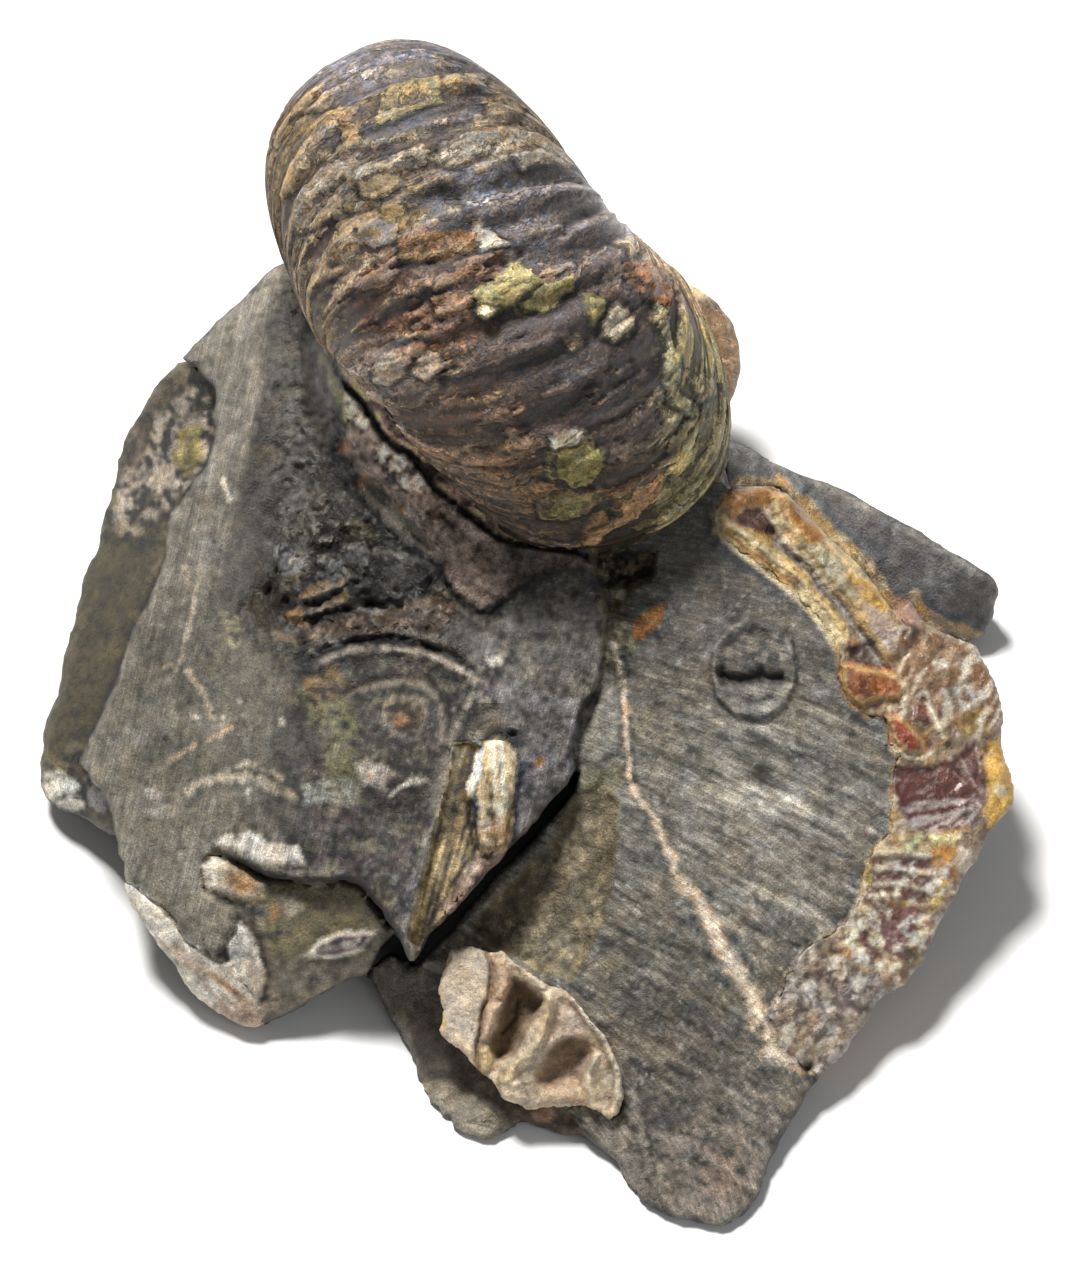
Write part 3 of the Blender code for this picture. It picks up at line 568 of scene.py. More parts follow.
# pieces of shell wall and calcite in it: outline, colour, edge softness, height, mottle
RIM_BITS = [
    ([(722, 497), (735, 492), (760, 487), (782, 490), (770, 505), (745, 508), (735, 515), (724, 512)], (0.360, 0.200, 0.080), 3, 0.2, 0),
    ([(722, 530), (740, 540), (768, 560), (795, 588), (818, 612), (836, 640), (842, 652), (838, 655), (826, 634), (810, 612), (788, 590), (764, 570), (740, 553), (718, 534)], (0.430, 0.255, 0.090), 2, 0.35, 0),
    ([(724, 514), (740, 526), (756, 532), (776, 544), (800, 568), (822, 594), (848, 624), (846, 646), (832, 622), (806, 592), (780, 570), (748, 545), (722, 528)], (0.470, 0.330, 0.150), 2, 0.45, 1),
    ([(790, 586), (806, 592), (828, 618), (842, 642), (834, 648), (822, 632), (806, 612)], (0.600, 0.500, 0.300), 2, 0.1, 0),
    ([(735, 515), (745, 508), (762, 508), (770, 520), (780, 535), (775, 542), (755, 530), (740, 525)], (0.120, 0.065, 0.052), 2, -0.35, 0),
    ([(770, 490), (790, 495), (812, 518), (832, 542), (850, 560), (864, 578), (884, 596), (900, 604), (912, 612), (920, 628), (905, 655), (888, 660), (868, 632), (846, 602), (822, 574), (798, 546), (778, 522)], (0.400, 0.300, 0.175), 3, 0.60, 1),
    ([(776, 494), (795, 500), (815, 522), (824, 538), (808, 542), (790, 522)], (0.450, 0.245, 0.080), 2, 0.1, 0),
    ([(800, 544), (822, 545), (850, 572), (862, 596), (848, 600), (826, 575)], (0.360, 0.315, 0.215), 3, 0, 0),
    ([(846, 574), (862, 578), (884, 596), (892, 608), (880, 614), (862, 600)], (0.560, 0.350, 0.100), 2, 0.15, 0),
    ([(866, 602), (882, 616), (896, 632), (902, 650), (888, 652), (874, 632)], (0.350, 0.270, 0.230), 2, 0, 0),
    ([(892, 600), (908, 602), (920, 618), (922, 632), (906, 630), (894, 616)], (0.360, 0.210, 0.150), 2, 0.35, 0),
    ([(905, 632), (935, 632), (975, 642), (990, 668), (1002, 700), (1003, 735), (990, 742), (950, 735), (925, 700), (905, 680)], (0.235, 0.150, 0.092), 4, 0.0, 1),
    ([(845, 648), (862, 642), (874, 640), (882, 660), (888, 672), (870, 668), (850, 660)], (0.070, 0.042, 0.030), 2, -0.45, 0),
    ([(840, 665), (850, 662), (875, 668), (900, 672), (910, 688), (900, 700), (880, 700), (862, 708), (850, 700), (842, 690)], (0.270, 0.098, 0.034), 2, 0.85, 1),
    ([(912, 704), (925, 703), (932, 718), (925, 727), (912, 720)], (0.150, 0.066, 0.046), 2, 0.35, 0),
    ([(885, 716), (900, 712), (908, 722), (920, 735), (930, 748), (925, 755), (905, 755), (890, 742)], (0.290, 0.060, 0.026), 2, 0.85, 1),
    ([(945, 735), (955, 725), (985, 735), (990, 745), (960, 750)], (0.220, 0.170, 0.120), 3, 0, 0),
    ([(893, 765), (925, 765), (950, 760), (975, 740), (985, 765), (987, 800), (975, 822), (950, 830), (920, 830), (905, 815), (893, 790)], (0.105, 0.038, 0.032), 3, -0.35, 0),
    ([(988, 742), (1003, 735), (1012, 765), (1018, 785), (1016, 802), (1003, 817), (988, 828), (984, 812), (990, 790), (986, 765)], (0.560, 0.345, 0.095), 3, 0.25, 0),
    ([(956, 712), (985, 708), (994, 735), (965, 732)], (0.330, 0.235, 0.080), 3, 0, 0),
    ([(900, 836), (930, 833), (962, 836), (955, 858), (920, 860), (898, 854)], (0.560, 0.430, 0.230), 3, 0.15, 1),
    ([(930, 845), (958, 848), (962, 868), (945, 878), (930, 866)], (0.440, 0.230, 0.075), 3, 0.1, 0),
    ([(957, 846), (972, 848), (972, 864), (960, 866)], (0.620, 0.520, 0.450), 3, 0.1, 0),
    ([(870, 856), (932, 858), (934, 896), (870, 902)], (0.150, 0.080, 0.062), 3, -0.1, 0),
    ([(862, 862), (874, 862), (874, 888), (862, 888)], (0.560, 0.400, 0.130), 2, 0.1, 0),
    ([(930, 880), (948, 878), (944, 905), (928, 910)], (0.560, 0.390, 0.130), 3, 0.15, 0),
    ([(878, 904), (916, 904), (918, 940), (900, 956), (880, 948)], (0.130, 0.060, 0.050), 4, -0.15, 1),
    ([(846, 916), (878, 912), (882, 946), (862, 954), (842, 944)], (0.600, 0.520, 0.370), 3, 0.1, 1),
    ([(858, 934), (868, 933), (870, 944), (860, 946)], (0.170, 0.070, 0.060), 2, 0, 0),
    ([(900, 946), (930, 944), (922, 978), (905, 988), (896, 968)], (0.190, 0.145, 0.075), 4, 0, 1),
    ([(848, 974), (872, 974), (872, 1006), (850, 1006)], (0.500, 0.460, 0.410), 4, 0.1, 1),
    ([(832, 986), (860, 984), (862, 1008), (838, 1014)], (0.150, 0.075, 0.065), 5, 0, 1),
]
for pts_, _, soft_, lift_, _ in RIM_BITS:
    if lift_:
        W_RIGHT += lift_ * step(0.5, -1.4 * soft_ - 2.0, sd(pts_, 30, 2))
d_groove, al_groove, s_groove = line([(772, 532), (780, 545), (800, 562), (825, 590), (850, 620), (885, 670)], 30, 2)
W_RIGHT += -0.9 * gauss(d_groove, 4.5) * calc
WALLS = ([(905, 680), (906, 700), (903, 722)], [(925, 688), (932, 710), (946, 742)], [(888, 745), (905, 757), (925, 757), (935, 750)],
         [(870, 852), (900, 853), (930, 858)], [(870, 870), (900, 868), (930, 876)], [(872, 886), (902, 884), (930, 892)], [(872, 896), (900, 895)])
for pts_ in WALLS:
    W_RIGHT += 0.35 * gauss(line(pts_, 20, 2)[0], 3.0)
D_MAROON = sd(RIM_BITS[17][0], 40, 1)

# ---- worn outlines
W_LEFT -= chamfer(D_LEFT, 0.55)
W_LOW -= chamfer(D_LOW, 0.7)
W_SIDE -= chamfer(D_SIDE, 0.9)
W_RIGHT -= chamfer(D_RIGHT, 0.75)
W_APRON -= chamfer(D_APRON, 0.9)
W_WEDGE -= chamfer(D_WEDGE, 0.9)

# ---- the stone meets the big coil along the crack below it
d_con, al_con, s_con = line(contact, 60, 0)
inside_coil = (s_con > 0)
COIL_IN = COIL_W > -90
near = (d_con < 58) & COIL_IN
rise = np.interp(GX, (300, 318, 332, 350, 378, 400, 420, 445, 475, 505), (0.0, 7.0, 12.5, 13.5, 12.5, 11.0, 9.0, 4.8, 2.2, 0.0)) * step(290, 360, GY)
d_cl, al_cl, s_cl = line(contact, 150, 0)
d_cl = np.where((s_cl > 0) & (d_cl < 145), 0.0, d_cl)
W_LEFT += rise * (0.6 * gauss(d_cl, 42) + 0.4 * np.exp(-np.minimum(d_cl, 150) / 50.0)) * step(140, 90, d_cl)
W_LEFT += np.where(inside_coil & (d_con < 55), 0.16 * np.minimum(d_con, 24), 0) * step(520, 470, GX) * step(300, 350, GY)
W_LEFT = np.where(near & ~inside_coil & (al_con > 0.3), np.maximum(W_LEFT, COIL_W + 0.25), W_LEFT)
emerge = 24.0 * step(30, 2, d_con) - 0.9
W_LEFT = np.where(COIL_IN & inside_coil, np.minimum(W_LEFT, COIL_W + emerge), W_LEFT)
W_LEFT -= 0.7 * gauss(d_con, 2.4) * step(0.22, 0.3, al_con)
W_BED = np.where(COIL_IN, np.minimum(W_BED, COIL_W - 1.2), W_BED)

# open crack
D_CRACK = sd(CRACK, 30, 0)
W_LEFT_FULL = W_LEFT.copy()
crack_drop = 14.0 * step(1.5, -2.5, D_CRACK)

REGIONS = [("left", W_LEFT, D_LEFT), ("low", W_LOW, D_LOW), ("side", W_SIDE, D_SIDE), ("right", W_RIGHT, D_RIGHT),
           ("apron", W_APRON, D_APRON), ("wedge", W_WEDGE, D_WEDGE), ("bed", W_BED, D_BED)]

# ---- chambered shell: its own front, standing in the apron
CHAM = [(452, 948), (470, 945), (482, 948), (492, 952), (505, 950), (515, 962), (530, 972), (550, 985), (565, 990),
        (575, 1000), (590, 1020), (605, 1035), (617, 1060), (622, 1080), (624, 1100), (618, 1115), (608, 1122),
        (600, 1112), (585, 1105), (570, 1108), (545, 1108), (530, 1112), (520, 1105), (505, 1100), (490, 1080),
        (475, 1070), (460, 1050), (445, 1040), (438, 1030), (443, 1010), (438, 990), (445, 965)]
D_CHAM = sd(CHAM, 40, 2)
n_lump = fbm2(GX / 7, GY / 7, 64, 2)
W_CHAM = plate([(452, 948, 4.6), (505, 950, 5.4), (440, 1030, 3.6), (490, 1080, 4.4), (550, 985, 6.2), (605, 1035, 6.4),
                (622, 1090, 5.2), (600, 1112, 4.6), (545, 1108, 4.6), (470, 1000, 4.8), (530, 1050, 5.8)])
ONE = [(512, 982), (533, 986), (543, 1000), (530, 1020), (516, 1050), (505, 1061), (494, 1052), (496, 1030), (505, 1005)]
TWO = [(540, 1052), (560, 1037), (580, 1036), (594, 1050), (590, 1074), (575, 1094), (545, 1094), (535, 1084)]
D_ONE, D_TWO = sd(ONE, 30, 2), sd(TWO, 30, 2)
W_CHAM += 0.22 * fbm2(GX / 12, GY / 12, 61, 3) + 0.10 * fine
PLATE_ = [(450, 944), (476, 942), (486, 950), (492, 965), (492, 980), (490, 998), (483, 1010), (481, 1030), (476, 1040),
          (475, 1048), (478, 1075), (470, 1068), (462, 1058), (450, 1045), (436, 1038), (438, 1025), (441, 1012), (441, 1003),
          (435, 997), (437, 985), (443, 975), (450, 960)]
HOLE1 = [(512, 978), (525, 982), (533, 988), (545, 998), (540, 1012), (530, 1030), (522, 1045), (515, 1057), (505, 1062),
         (495, 1065), (490, 1050), (492, 1035), (498, 1020), (503, 1003), (508, 990)]
HOLE2 = [(550, 1045), (560, 1038), (575, 1035), (590, 1040), (597, 1052), (590, 1065), (586, 1080), (584, 1092), (570, 1092),
         (545, 1094), (535, 1085), (533, 1075), (540, 1060)]
WEB = [(550, 990), (575, 1000), (585, 1020), (590, 1035), (575, 1035), (560, 1038), (548, 1045), (540, 1050), (545, 1020)]
TUBES = [([(492, 958), (508, 955), (512, 975), (507, 1000), (494, 1000), (494, 975)], (0.480, 0.350, 0.255)),
         ([(485, 1003), (503, 1001), (498, 1020), (490, 1045), (479, 1040), (484, 1015)], (0.520, 0.390, 0.310)),
         ([(478, 1048), (490, 1046), (492, 1070), (480, 1072)], (0.560, 0.460, 0.280)),
         ([(484, 1073), (500, 1072), (504, 1096), (489, 1094)], (0.500, 0.420, 0.320)),
         ([(500, 1076), (520, 1078), (530, 1100), (515, 1110), (500, 1100)], (0.560, 0.480, 0.380))]
D_PLATE_, D_ONE, D_TWO, D_WEB = sd(PLATE_, 40, 2), sd(HOLE1, 40, 2), sd(HOLE2, 40, 2), sd(WEB, 40, 2)
TOP_RIM = [(510, 957), (520, 965), (535, 974), (546, 986), (551, 999)]
SEPTUM = [(549, 1000), (541, 1035), (528, 1055), (514, 1064), (508, 1078)]
WALL_R = [(576, 1000), (588, 1016), (600, 1030), (611, 1048), (618, 1068), (620, 1085), (619, 1100), (613, 1116)]
LOBE_R = [(596, 1056), (589, 1072), (588, 1086), (593, 1102), (604, 1118)]
d_top, _, _ = line(TOP_RIM, 30, 2)
d_sep, _, _ = line(SEPTUM, 30, 2)
d_wr, _, s_wr = line(WALL_R, 30, 2)
d_lb, _, _ = line(LOBE_R, 30, 2)
W_CHAM += 0.35 * step(1, -3, D_PLATE_) - 0.35 * step(0, -6, D_WEB)
for pts_, _ in TUBES:
    W_CHAM += 0.75 * step(0.5, -6, sd(pts_, 20, 2))
W_CHAM += (0.9 + 0.5 * n_lump) * gauss(d_top, 7) + 0.9 * gauss(d_sep, 4.5) + 1.0 * gauss(d_wr, 5.5) + 0.8 * gauss(d_lb, 4.0)
W_CHAM -= 3.4 * step(1.5, -8, D_ONE) + 2.5 * step(4, -16, D_TWO)
d_ck, _, _ = line([(486, 950), (492, 965), (492, 980), (490, 998), (483, 1010), (481, 1030), (476, 1048), (478, 1075)], 20, 2)
W_CHAM -= 0.45 * gauss(d_ck, 1.8)
W_CHAM -= chamfer(D_CHAM, 0.5)

# ---- pale band on the low left edge
BANDP = [(122, 880), (130, 880), (160, 905), (190, 942), (215, 960), (232, 962), (248, 985), (262, 1008), (262, 1030),
         (245, 1032), (222, 1020), (198, 1002), (180, 985), (168, 965), (150, 942), (135, 918), (122, 900)]
D_BANDP = sd(BANDP, 40, 2)
W_LOW += 0.5 * step(2, -6, D_BANDP)
FSPL = [(450, 742), (486, 738), (512, 740), (518, 762), (514, 802), (507, 832), (492, 854), (470, 885), (440, 920),
        (418, 950), (408, 940), (412, 910), (424, 868), (436, 820), (446, 775)]
D_FSPL = sd(FSPL, 40, 2)

FRONT = np.full(GX.shape, -70.0)
KIND = np.full(GX.shape, -1)
for i, (name, W, D) in enumerate(REGIONS):
    here = (D < 0) & (W > FRONT)
    FRONT = np.where(here, W, FRONT)
    KIND = np.where(here, i, KIND)

SIL = [(283, 262), (275, 225), (265, 190), (262, 150), (265, 143), (275, 125), (285, 105), (300, 85), (320, 68),
       (340, 52), (360, 42), (380, 37), (410, 36), (440, 38), (462, 41), (475, 52), (490, 68), (510, 85), (530, 105),
       (548, 125), (562, 140), (575, 157), (590, 168), (600, 182), (612, 197), (625, 213), (635, 235), (650, 257),
       (660, 268), (680, 280), (700, 283), (715, 290), (718, 297), (716, 310), (730, 325), (738, 345), (742, 370),
       (740, 390), (732, 408), (727, 438)] + WEDGE[2:15] + RIGHT[15:55] + APRON[10:] + [(367, 976)] + LOW[14:] + \
      SIDE[5:25][::-1] + [(180, 360), (200, 340), (215, 322), (240, 300), (255, 285), (265, 272), (280, 264)]
D_SIL = sd(SIL, 80, 2)

# ------------------------------------------------------------------ colour of the stone's front
C = np.zeros(GX.shape + (3,))
GLOSS = np.full(GX.shape, 0.60)              # roughness
GRIP = np.full(GX.shape, 0.5)                # strength of the fine streaks


def tint(col, mask):
    global C
    m = np.clip(mask, 0, 1)[..., None]
    C = C * (1 - m) + np.asarray(col, float) * m


def shade(amount, mask=1.0):
    global C
    C = C * (1 + np.clip(mask, 0, 1) * amount)[..., None]


def rough(value, mask):
    global GLOSS
    m = np.clip(mask, 0, 1)
    GLOSS = GLOSS * (1 - m) + value * m


def inside(D, soft=4.0):
    s = 0.45 * soft
    return step(s, -s, D)


n_big = fbm2(GX / 90, GY / 90, 71, 4)
n_mid = fbm2(GX / 32, GY / 32, 72, 4)
n_sml = fbm2(GX / 11, GY / 11, 73, 3)
n_fin = noise2(GX / 4.2, GY / 4.2, 74)
n_rust = fbm2(GX / 26, GY / 26, 75, 4)
n_olive = fbm2(GX / 48, GY / 48, 76, 4)
isk = [(KIND == i).astype(float) for i in range(len(REGIONS))]

PALE = (0.205, 0.184, 0.145)
DARK = (0.082, 0.074, 0.062)
OLIV = (0.118, 0.100, 0.055)
RUST = (0.150, 0.085, 0.036)
CREM = (0.480, 0.420, 0.310)
CHALK = (0.520, 0.480, 0.420)
AMBR = (0.400, 0.215, 0.070)
MARO = (0.125, 0.055, 0.040)
UMBER = (0.075, 0.045, 0.026)

# left-hand block: pale smooth stone to the left of the crease and below, dark broken stone under the coil
tint(PALE, isk[0])
dk = step(-10, 30, GX - (265 - 0.19 * (GY - 300)) + 26 * n_mid)
dk = np.where(np.abs(CREASE) < 100, dk * step(440, 520, GY) + step(-2.5, 3.5, CREASE + 3 * n_sml) * step(520, 440, GY), dk)
dark_zone = dk * step(800, 610, GY + 0.35 * (GX - 300) + 60 * n_mid)
tint(DARK, isk[0] * dark_zone)
tint((0.150, 0.130, 0.105), isk[0] * step(250, 330, GX + 40 * n_mid) * step(620, 720, GY + 40 * n_big))
tint((0.105, 0.095, 0.075), isk[0] * step(640, 700, GY + 30 * n_mid) * step(870, 800, GY) * step(330, 400, GX + 40 * n_mid) * 0.7)
tint((0.200, 0.180, 0.138), isk[0] * step(300, 220, GX + 50 * n_mid) * step(560, 700, GY))

# olive and rust staining, more of it in the broken stone
tint(OLIV, isk[0] * step(0.18, 0.5, n_olive) * 0.55 * step(230, 300, GX))
tint(RUST, isk[0] * step(0.30, 0.6, n_rust) * 0.55 * step(230, 290, GX) * step(700, 600, GY))

# low front-left strip, side, apron, wedge, bed
tint((0.150, 0.128, 0.092), isk[1])
tint((0.085, 0.070, 0.042), isk[2])
tint((0.120, 0.100, 0.075), isk[4])
tint((0.110, 0.103, 0.098), isk[5])
tint((0.060, 0.050, 0.034), isk[6])
# right-hand block
tint((0.150, 0.136, 0.110), isk[3])
tint((0.095, 0.086, 0.072), isk[3] * step(720, 600, GY + 0.25 * (GX - 700) + 40 * n_mid))
# painted sheen: a lighter band across the middle of the right-hand block
tint((0.200, 0.184, 0.155), isk[3] * gauss((GY - 820) + 0.1 * (GX - 740) + 40 * n_mid, 110) * 0.7)
tint((0.150, 0.130, 0.104), isk[3] * step(980, 1060, GY + 40 * n_mid))

D_OUT_PATCHES = []


def patch(pts, col, soft=4.0, amount=1.0, wander=1, mottle=0.0, kind=None, gloss=None, pad=30):
    D = sd(pts, pad, wander)
    m = inside(D, soft) * amount
    if mottle:
        m = m * step(-0.30 - (1 - mottle), 0.12, n_sml + 0.5 * n_mid + 0.5 * n_fin)
    if kind is not None:
        m = m * isk[kind]
    tint(col, m)
    if gloss is not None:
        rough(gloss, m)
    return D


def stroke(pts, col, width, amount=1.0, wander=1, kind=None, taper=True, broken=0.0, pad=30):
    d, al, side = line(pts, pad, wander)
    m = gauss(d, width) * amount
    if taper:
        m = m * step(0, 0.08, al) * step(1.0, 0.92, al)
    if broken:
        m = m * step(-broken, broken, n_sml + 0.3)
    if kind is not None:
        m = m * isk[kind]
    tint(col, m)
    return d, al, side


# broad tones
def tone(pts, amount, soft=22.0, kind=None, col=None):
    D = sd(pts, 70, 1)
    m = step(soft, -soft, D + 8 * n_mid)
    if kind is not None:
        m = m * isk[kind]
    if col is not None:
        tint(col, m * amount)
    else:
        shade(amount, m)


tone([(200, 260), (290, 260), (262, 420), (240, 520), (220, 640), (100, 760), (60, 700)], -0.20, kind=0)
tone([(120, 620), (270, 560), (300, 700), (270, 780), (150, 780)], -0.28, kind=0)
tone([(100, 740), (210, 740), (220, 960), (110, 900)], -0.05, kind=0)
tone([(255, 600), (262, 520), (290, 470), (345, 430), (400, 520), (450, 580), (480, 620), (430, 650), (330, 650), (280, 640)], -0.34, kind=0)
tone([(345, 540), (440, 560), (425, 600), (350, 600)], -0.30, 12, kind=0)
tone([(300, 650), (460, 650), (470, 740), (440, 820), (300, 820), (270, 730)], -0.30, kind=0)
tone([(290, 800), (440, 780), (430, 860), (410, 950), (350, 880), (290, 880)], 0.85, kind=0, col=(0.098, 0.086, 0.073))
tone([(440, 570), (600, 560), (604, 640), (560, 690), (480, 680), (430, 640)], 0.6, kind=0, col=(0.105, 0.094, 0.080))
# painted shade on the face right of the crease
tone([(262, 300), (300, 262), (330, 340), (350, 430), (300, 480), (262, 460), (262, 400)], 0.5, kind=0, col=(0.105, 0.096, 0.080))
# painted sheen: the middle of the right-hand block made brighter
tone([(640, 700), (900, 690), (900, 930), (700, 900)], 0.24, 40, kind=3)
tone([(690, 760), (790, 770), (830, 830), (760, 850), (690, 800)], 0.28, 22, kind=3)
tone([(560, 930), (700, 930), (740, 1080), (620, 1100), (540, 1000)], -0.20, 26, kind=3)
tone([(640, 600), (800, 590), (840, 660), (700, 700), (640, 680)], 0.7, 26, kind=3, col=(0.120, 0.107, 0.088))
tone([(40, 530), (150, 540), (150, 600), (110, 720), (40, 720)], -0.35, kind=2)
streak_l = fbm2(GX / 5.0 + 0.04 * GY, GY / 90.0, 91, 4)
shade(0.30 * streak_l, isk[0] * step(300, 230, GX + 40 * n_mid))
speck = fbm2(GX / 5.5, GY / 5.5, 92, 3, 0.7)
shade(0.9 * np.clip(speck - 0.12, 0, 1) * step(0, 0.3, n_big + 0.2) - 0.7 * np.clip(-speck - 0.12, 0, 1), isk[0] * step(240, 300, GX))
streak_r = fbm2((GX * 0.97 + (GY - 700) * 0.25) / 80.0, (GY * 0.97 - GX * (0.25 + 0.0004 * (GY - 700))) / 5.5, 93, 4, 0.6)
streak_s = fbm2((GX * 0.97 + (GY - 700) * 0.25) / 40.0, (GY * 0.97 - GX * (0.25 + 0.0004 * (GY - 700))) / 3.6, 94, 2, 0.6)
stone_r = isk[3] * step(600, 660, GY)
shade(0.26 * streak_r + 0.32 * streak_s, stone_r)
warm_r = fbm2(GX / 50, GY / 26, 110, 4)
tint((0.190, 0.158, 0.112), stone_r * step(0.08, 0.34, warm_r) * 0.5)
# painted highlight: a bright streaked patch on the right-hand block
shade(0.75 * gauss(np.hypot((GX - 768) / 1.6, (GY - 798 - 0.33 * (GX - 768)) * 1.6), 26) * step(-0.1, 0.2, streak_s), stone_r)
shade(0.9 * np.clip(streak_s + 0.5 * streak_r - 0.25, 0, 1) - 0.9 * np.clip(-streak_s - 0.4 * streak_r - 0.22, 0, 1), stone_r)

# side of the left-hand block
patch([(150, 415), (175, 385), (205, 385), (215, 420), (208, 455), (185, 490), (150, 520), (125, 545), (112, 520),
       (120, 480), (135, 440)], (0.270, 0.225, 0.175), 6, 0.9, kind=2, mottle=0.8)
patch([(178, 430), (200, 425), (205, 455), (185, 480), (172, 462)], (0.200, 0.160, 0.050), 6, 0.8, kind=2)
patch([(130, 400), (180, 372), (190, 385), (160, 410), (140, 470), (125, 470)], (0.085, 0.062, 0.040), 6, 0.9, kind=2)
patch([(100, 545), (145, 545), (150, 598), (125, 650), (100, 705), (72, 705), (72, 640), (85, 590)],
      (0.092, 0.078, 0.036), 8, 0.95, kind=2)
patch([(62, 660), (100, 665), (98, 715), (72, 745), (48, 735)], (0.072, 0.062, 0.042), 8, 0.9, kind=2)
patch([(45, 772), (62, 770), (80, 785), (84, 810), (62, 812), (42, 795)], (0.470, 0.440, 0.370), 5, 0.95, kind=2)
patch([(86, 780), (100, 783), (108, 800), (104, 815), (88, 805)], (0.270, 0.250, 0.240), 5, 0.9, kind=2)
patch([(42, 735), (60, 715), (75, 750), (66, 770), (44, 770)], (0.160, 0.140, 0.085), 6, 0.8, kind=2)

# top left corner of the face; right of the crease it is darker, painted shade on the side that turns away from the
# light, and the dark line along the crease is painted shade
patch([(215, 322), (255, 285), (275, 268), (285, 290), (262, 330), (235, 345)], (0.235, 0.205, 0.165), 9, 0.7, kind=0, mottle=0.7)
patch([(285, 268), (300, 262), (320, 330), (300, 350), (275, 340)], (0.075, 0.068, 0.060), 8, 0.8, kind=0)
stroke([(285, 265), (272, 300), (268, 340), (262, 400), (255, 430), (245, 470), (238, 500)], (0.060, 0.052, 0.042), 3.5, 0.5, kind=0)

# hollows, spots and veins on the left-hand block
patch([(244, 606), (255, 586), (272, 578), (292, 590), (300, 610), (284, 628), (258, 628)], (0.050, 0.038, 0.022), 6, 0.9)
stroke([(286, 622), (310, 612), (335, 600), (350, 590)], (0.160, 0.105, 0.050), 6, 0.7, broken=0.3)
stroke([(255, 630), (300, 640), (345, 632), (380, 618)], (0.150, 0.110, 0.065), 5, 0.6, broken=0.3)
patch([(256, 446), (270, 444), (276, 458), (266, 466), (256, 460)], (0.180, 0.110, 0.055), 4, 0.7)
stroke([(222, 478), (230, 502)], (0.330, 0.280, 0.210), 2.5, 0.7)
stroke([(202, 556), (194, 600), (186, 642)], (0.330, 0.285, 0.220), 2.2, 0.45, broken=0.2)
stroke([(163, 664), (190, 676), (206, 692), (216, 726)], (0.360, 0.305, 0.240), 2.2, 0.6, broken=0.2)
stroke([(163, 762), (190, 748), (216, 726), (250, 712)], (0.340, 0.290, 0.225), 2.2, 0.45, broken=0.2)
stroke([(188, 790), (207, 779), (240, 778), (272, 788), (298, 802)], (0.430, 0.380, 0.300), 3.2, 0.85, broken=0.15)
stroke([(222, 770), (245, 765), (268, 771), (285, 782)], (0.400, 0.350, 0.280), 2.6, 0.6, broken=0.2)
stroke([(245, 772), (268, 779), (290, 792)], (0.330, 0.270, 0.195), 4.5, 0.5)
tint((0.380, 0.360, 0.330), 0.9 * step(9, 5, np.hypot(WX - 151, WY - 793)))
tint((0.290, 0.270, 0.235), 0.5 * step(20, 8, np.hypot(WX - 157, WY - 803)))
tint((0.300, 0.270, 0.235), 0.4 * step(7, 3, np.hypot(WX - 168, WY - 818)))

# flank with its arcs
patch([(305, 690), (320, 672), (345, 660), (375, 650), (410, 652), (440, 664), (456, 684), (452, 740), (440, 800),
       (400, 850), (350, 860), (310, 830), (300, 760)], (0.112, 0.098, 0.078), 14, 0.75, kind=0)
stroke(arc_out, (0.048, 0.038, 0.026), 4.5, 0.9, wander=2)
stroke([(x + 2, y + 13) for x, y in arc_out], (0.175, 0.150, 0.125), 6, 0.6, wander=2)
stroke(arc_in, (0.060, 0.048, 0.034), 4, 0.6, wander=2)
stroke([(x - 4, y + 8) for x, y in arc_in], (0.150, 0.125, 0.098), 4, 0.5, wander=2)
patch([(304, 678), (330, 680), (338, 700), (326, 715), (306, 708)], (0.150, 0.105, 0.045), 7, 0.8)
patch([(322, 700), (350, 708), (355, 730), (335, 745), (316, 730)], (0.150, 0.140, 0.050), 8, 0.75, mottle=0.7)
patch([(325, 752), (352, 756), (356, 780), (330, 784)], (0.118, 0.105, 0.045), 8, 0.6)
tint((0.095, 0.050, 0.030), 0.85 * step(17, 9, np.hypot(WX - 405, WY - 717)))
tint((0.170, 0.110, 0.065), 0.6 * gauss(np.hypot(WX - 405, WY - 717) - 17, 4))
patch([(362, 766), (376, 764), (384, 776), (374, 788), (360, 780)], (0.300, 0.235, 0.195), 4, 0.8)
patch([(300, 785), (340, 780), (358, 792), (345, 808), (305, 804)], (0.180, 0.180, 0.160), 7, 0.7, mottle=0.7)
stroke([(392, 792), (410, 780), (428, 776)], (0.320, 0.290, 0.240), 1.8, 0.6)
stroke([(452, 700), (440, 740), (432, 775), (424, 815), (410, 862)], (0.185, 0.168, 0.130), 8, 0.65, wander=2)
patch([(330, 800), (420, 800), (415, 860), (400, 905), (380, 895), (340, 868), (310, 850)], (0.085, 0.078, 0.066), 10, 0.7, kind=0)

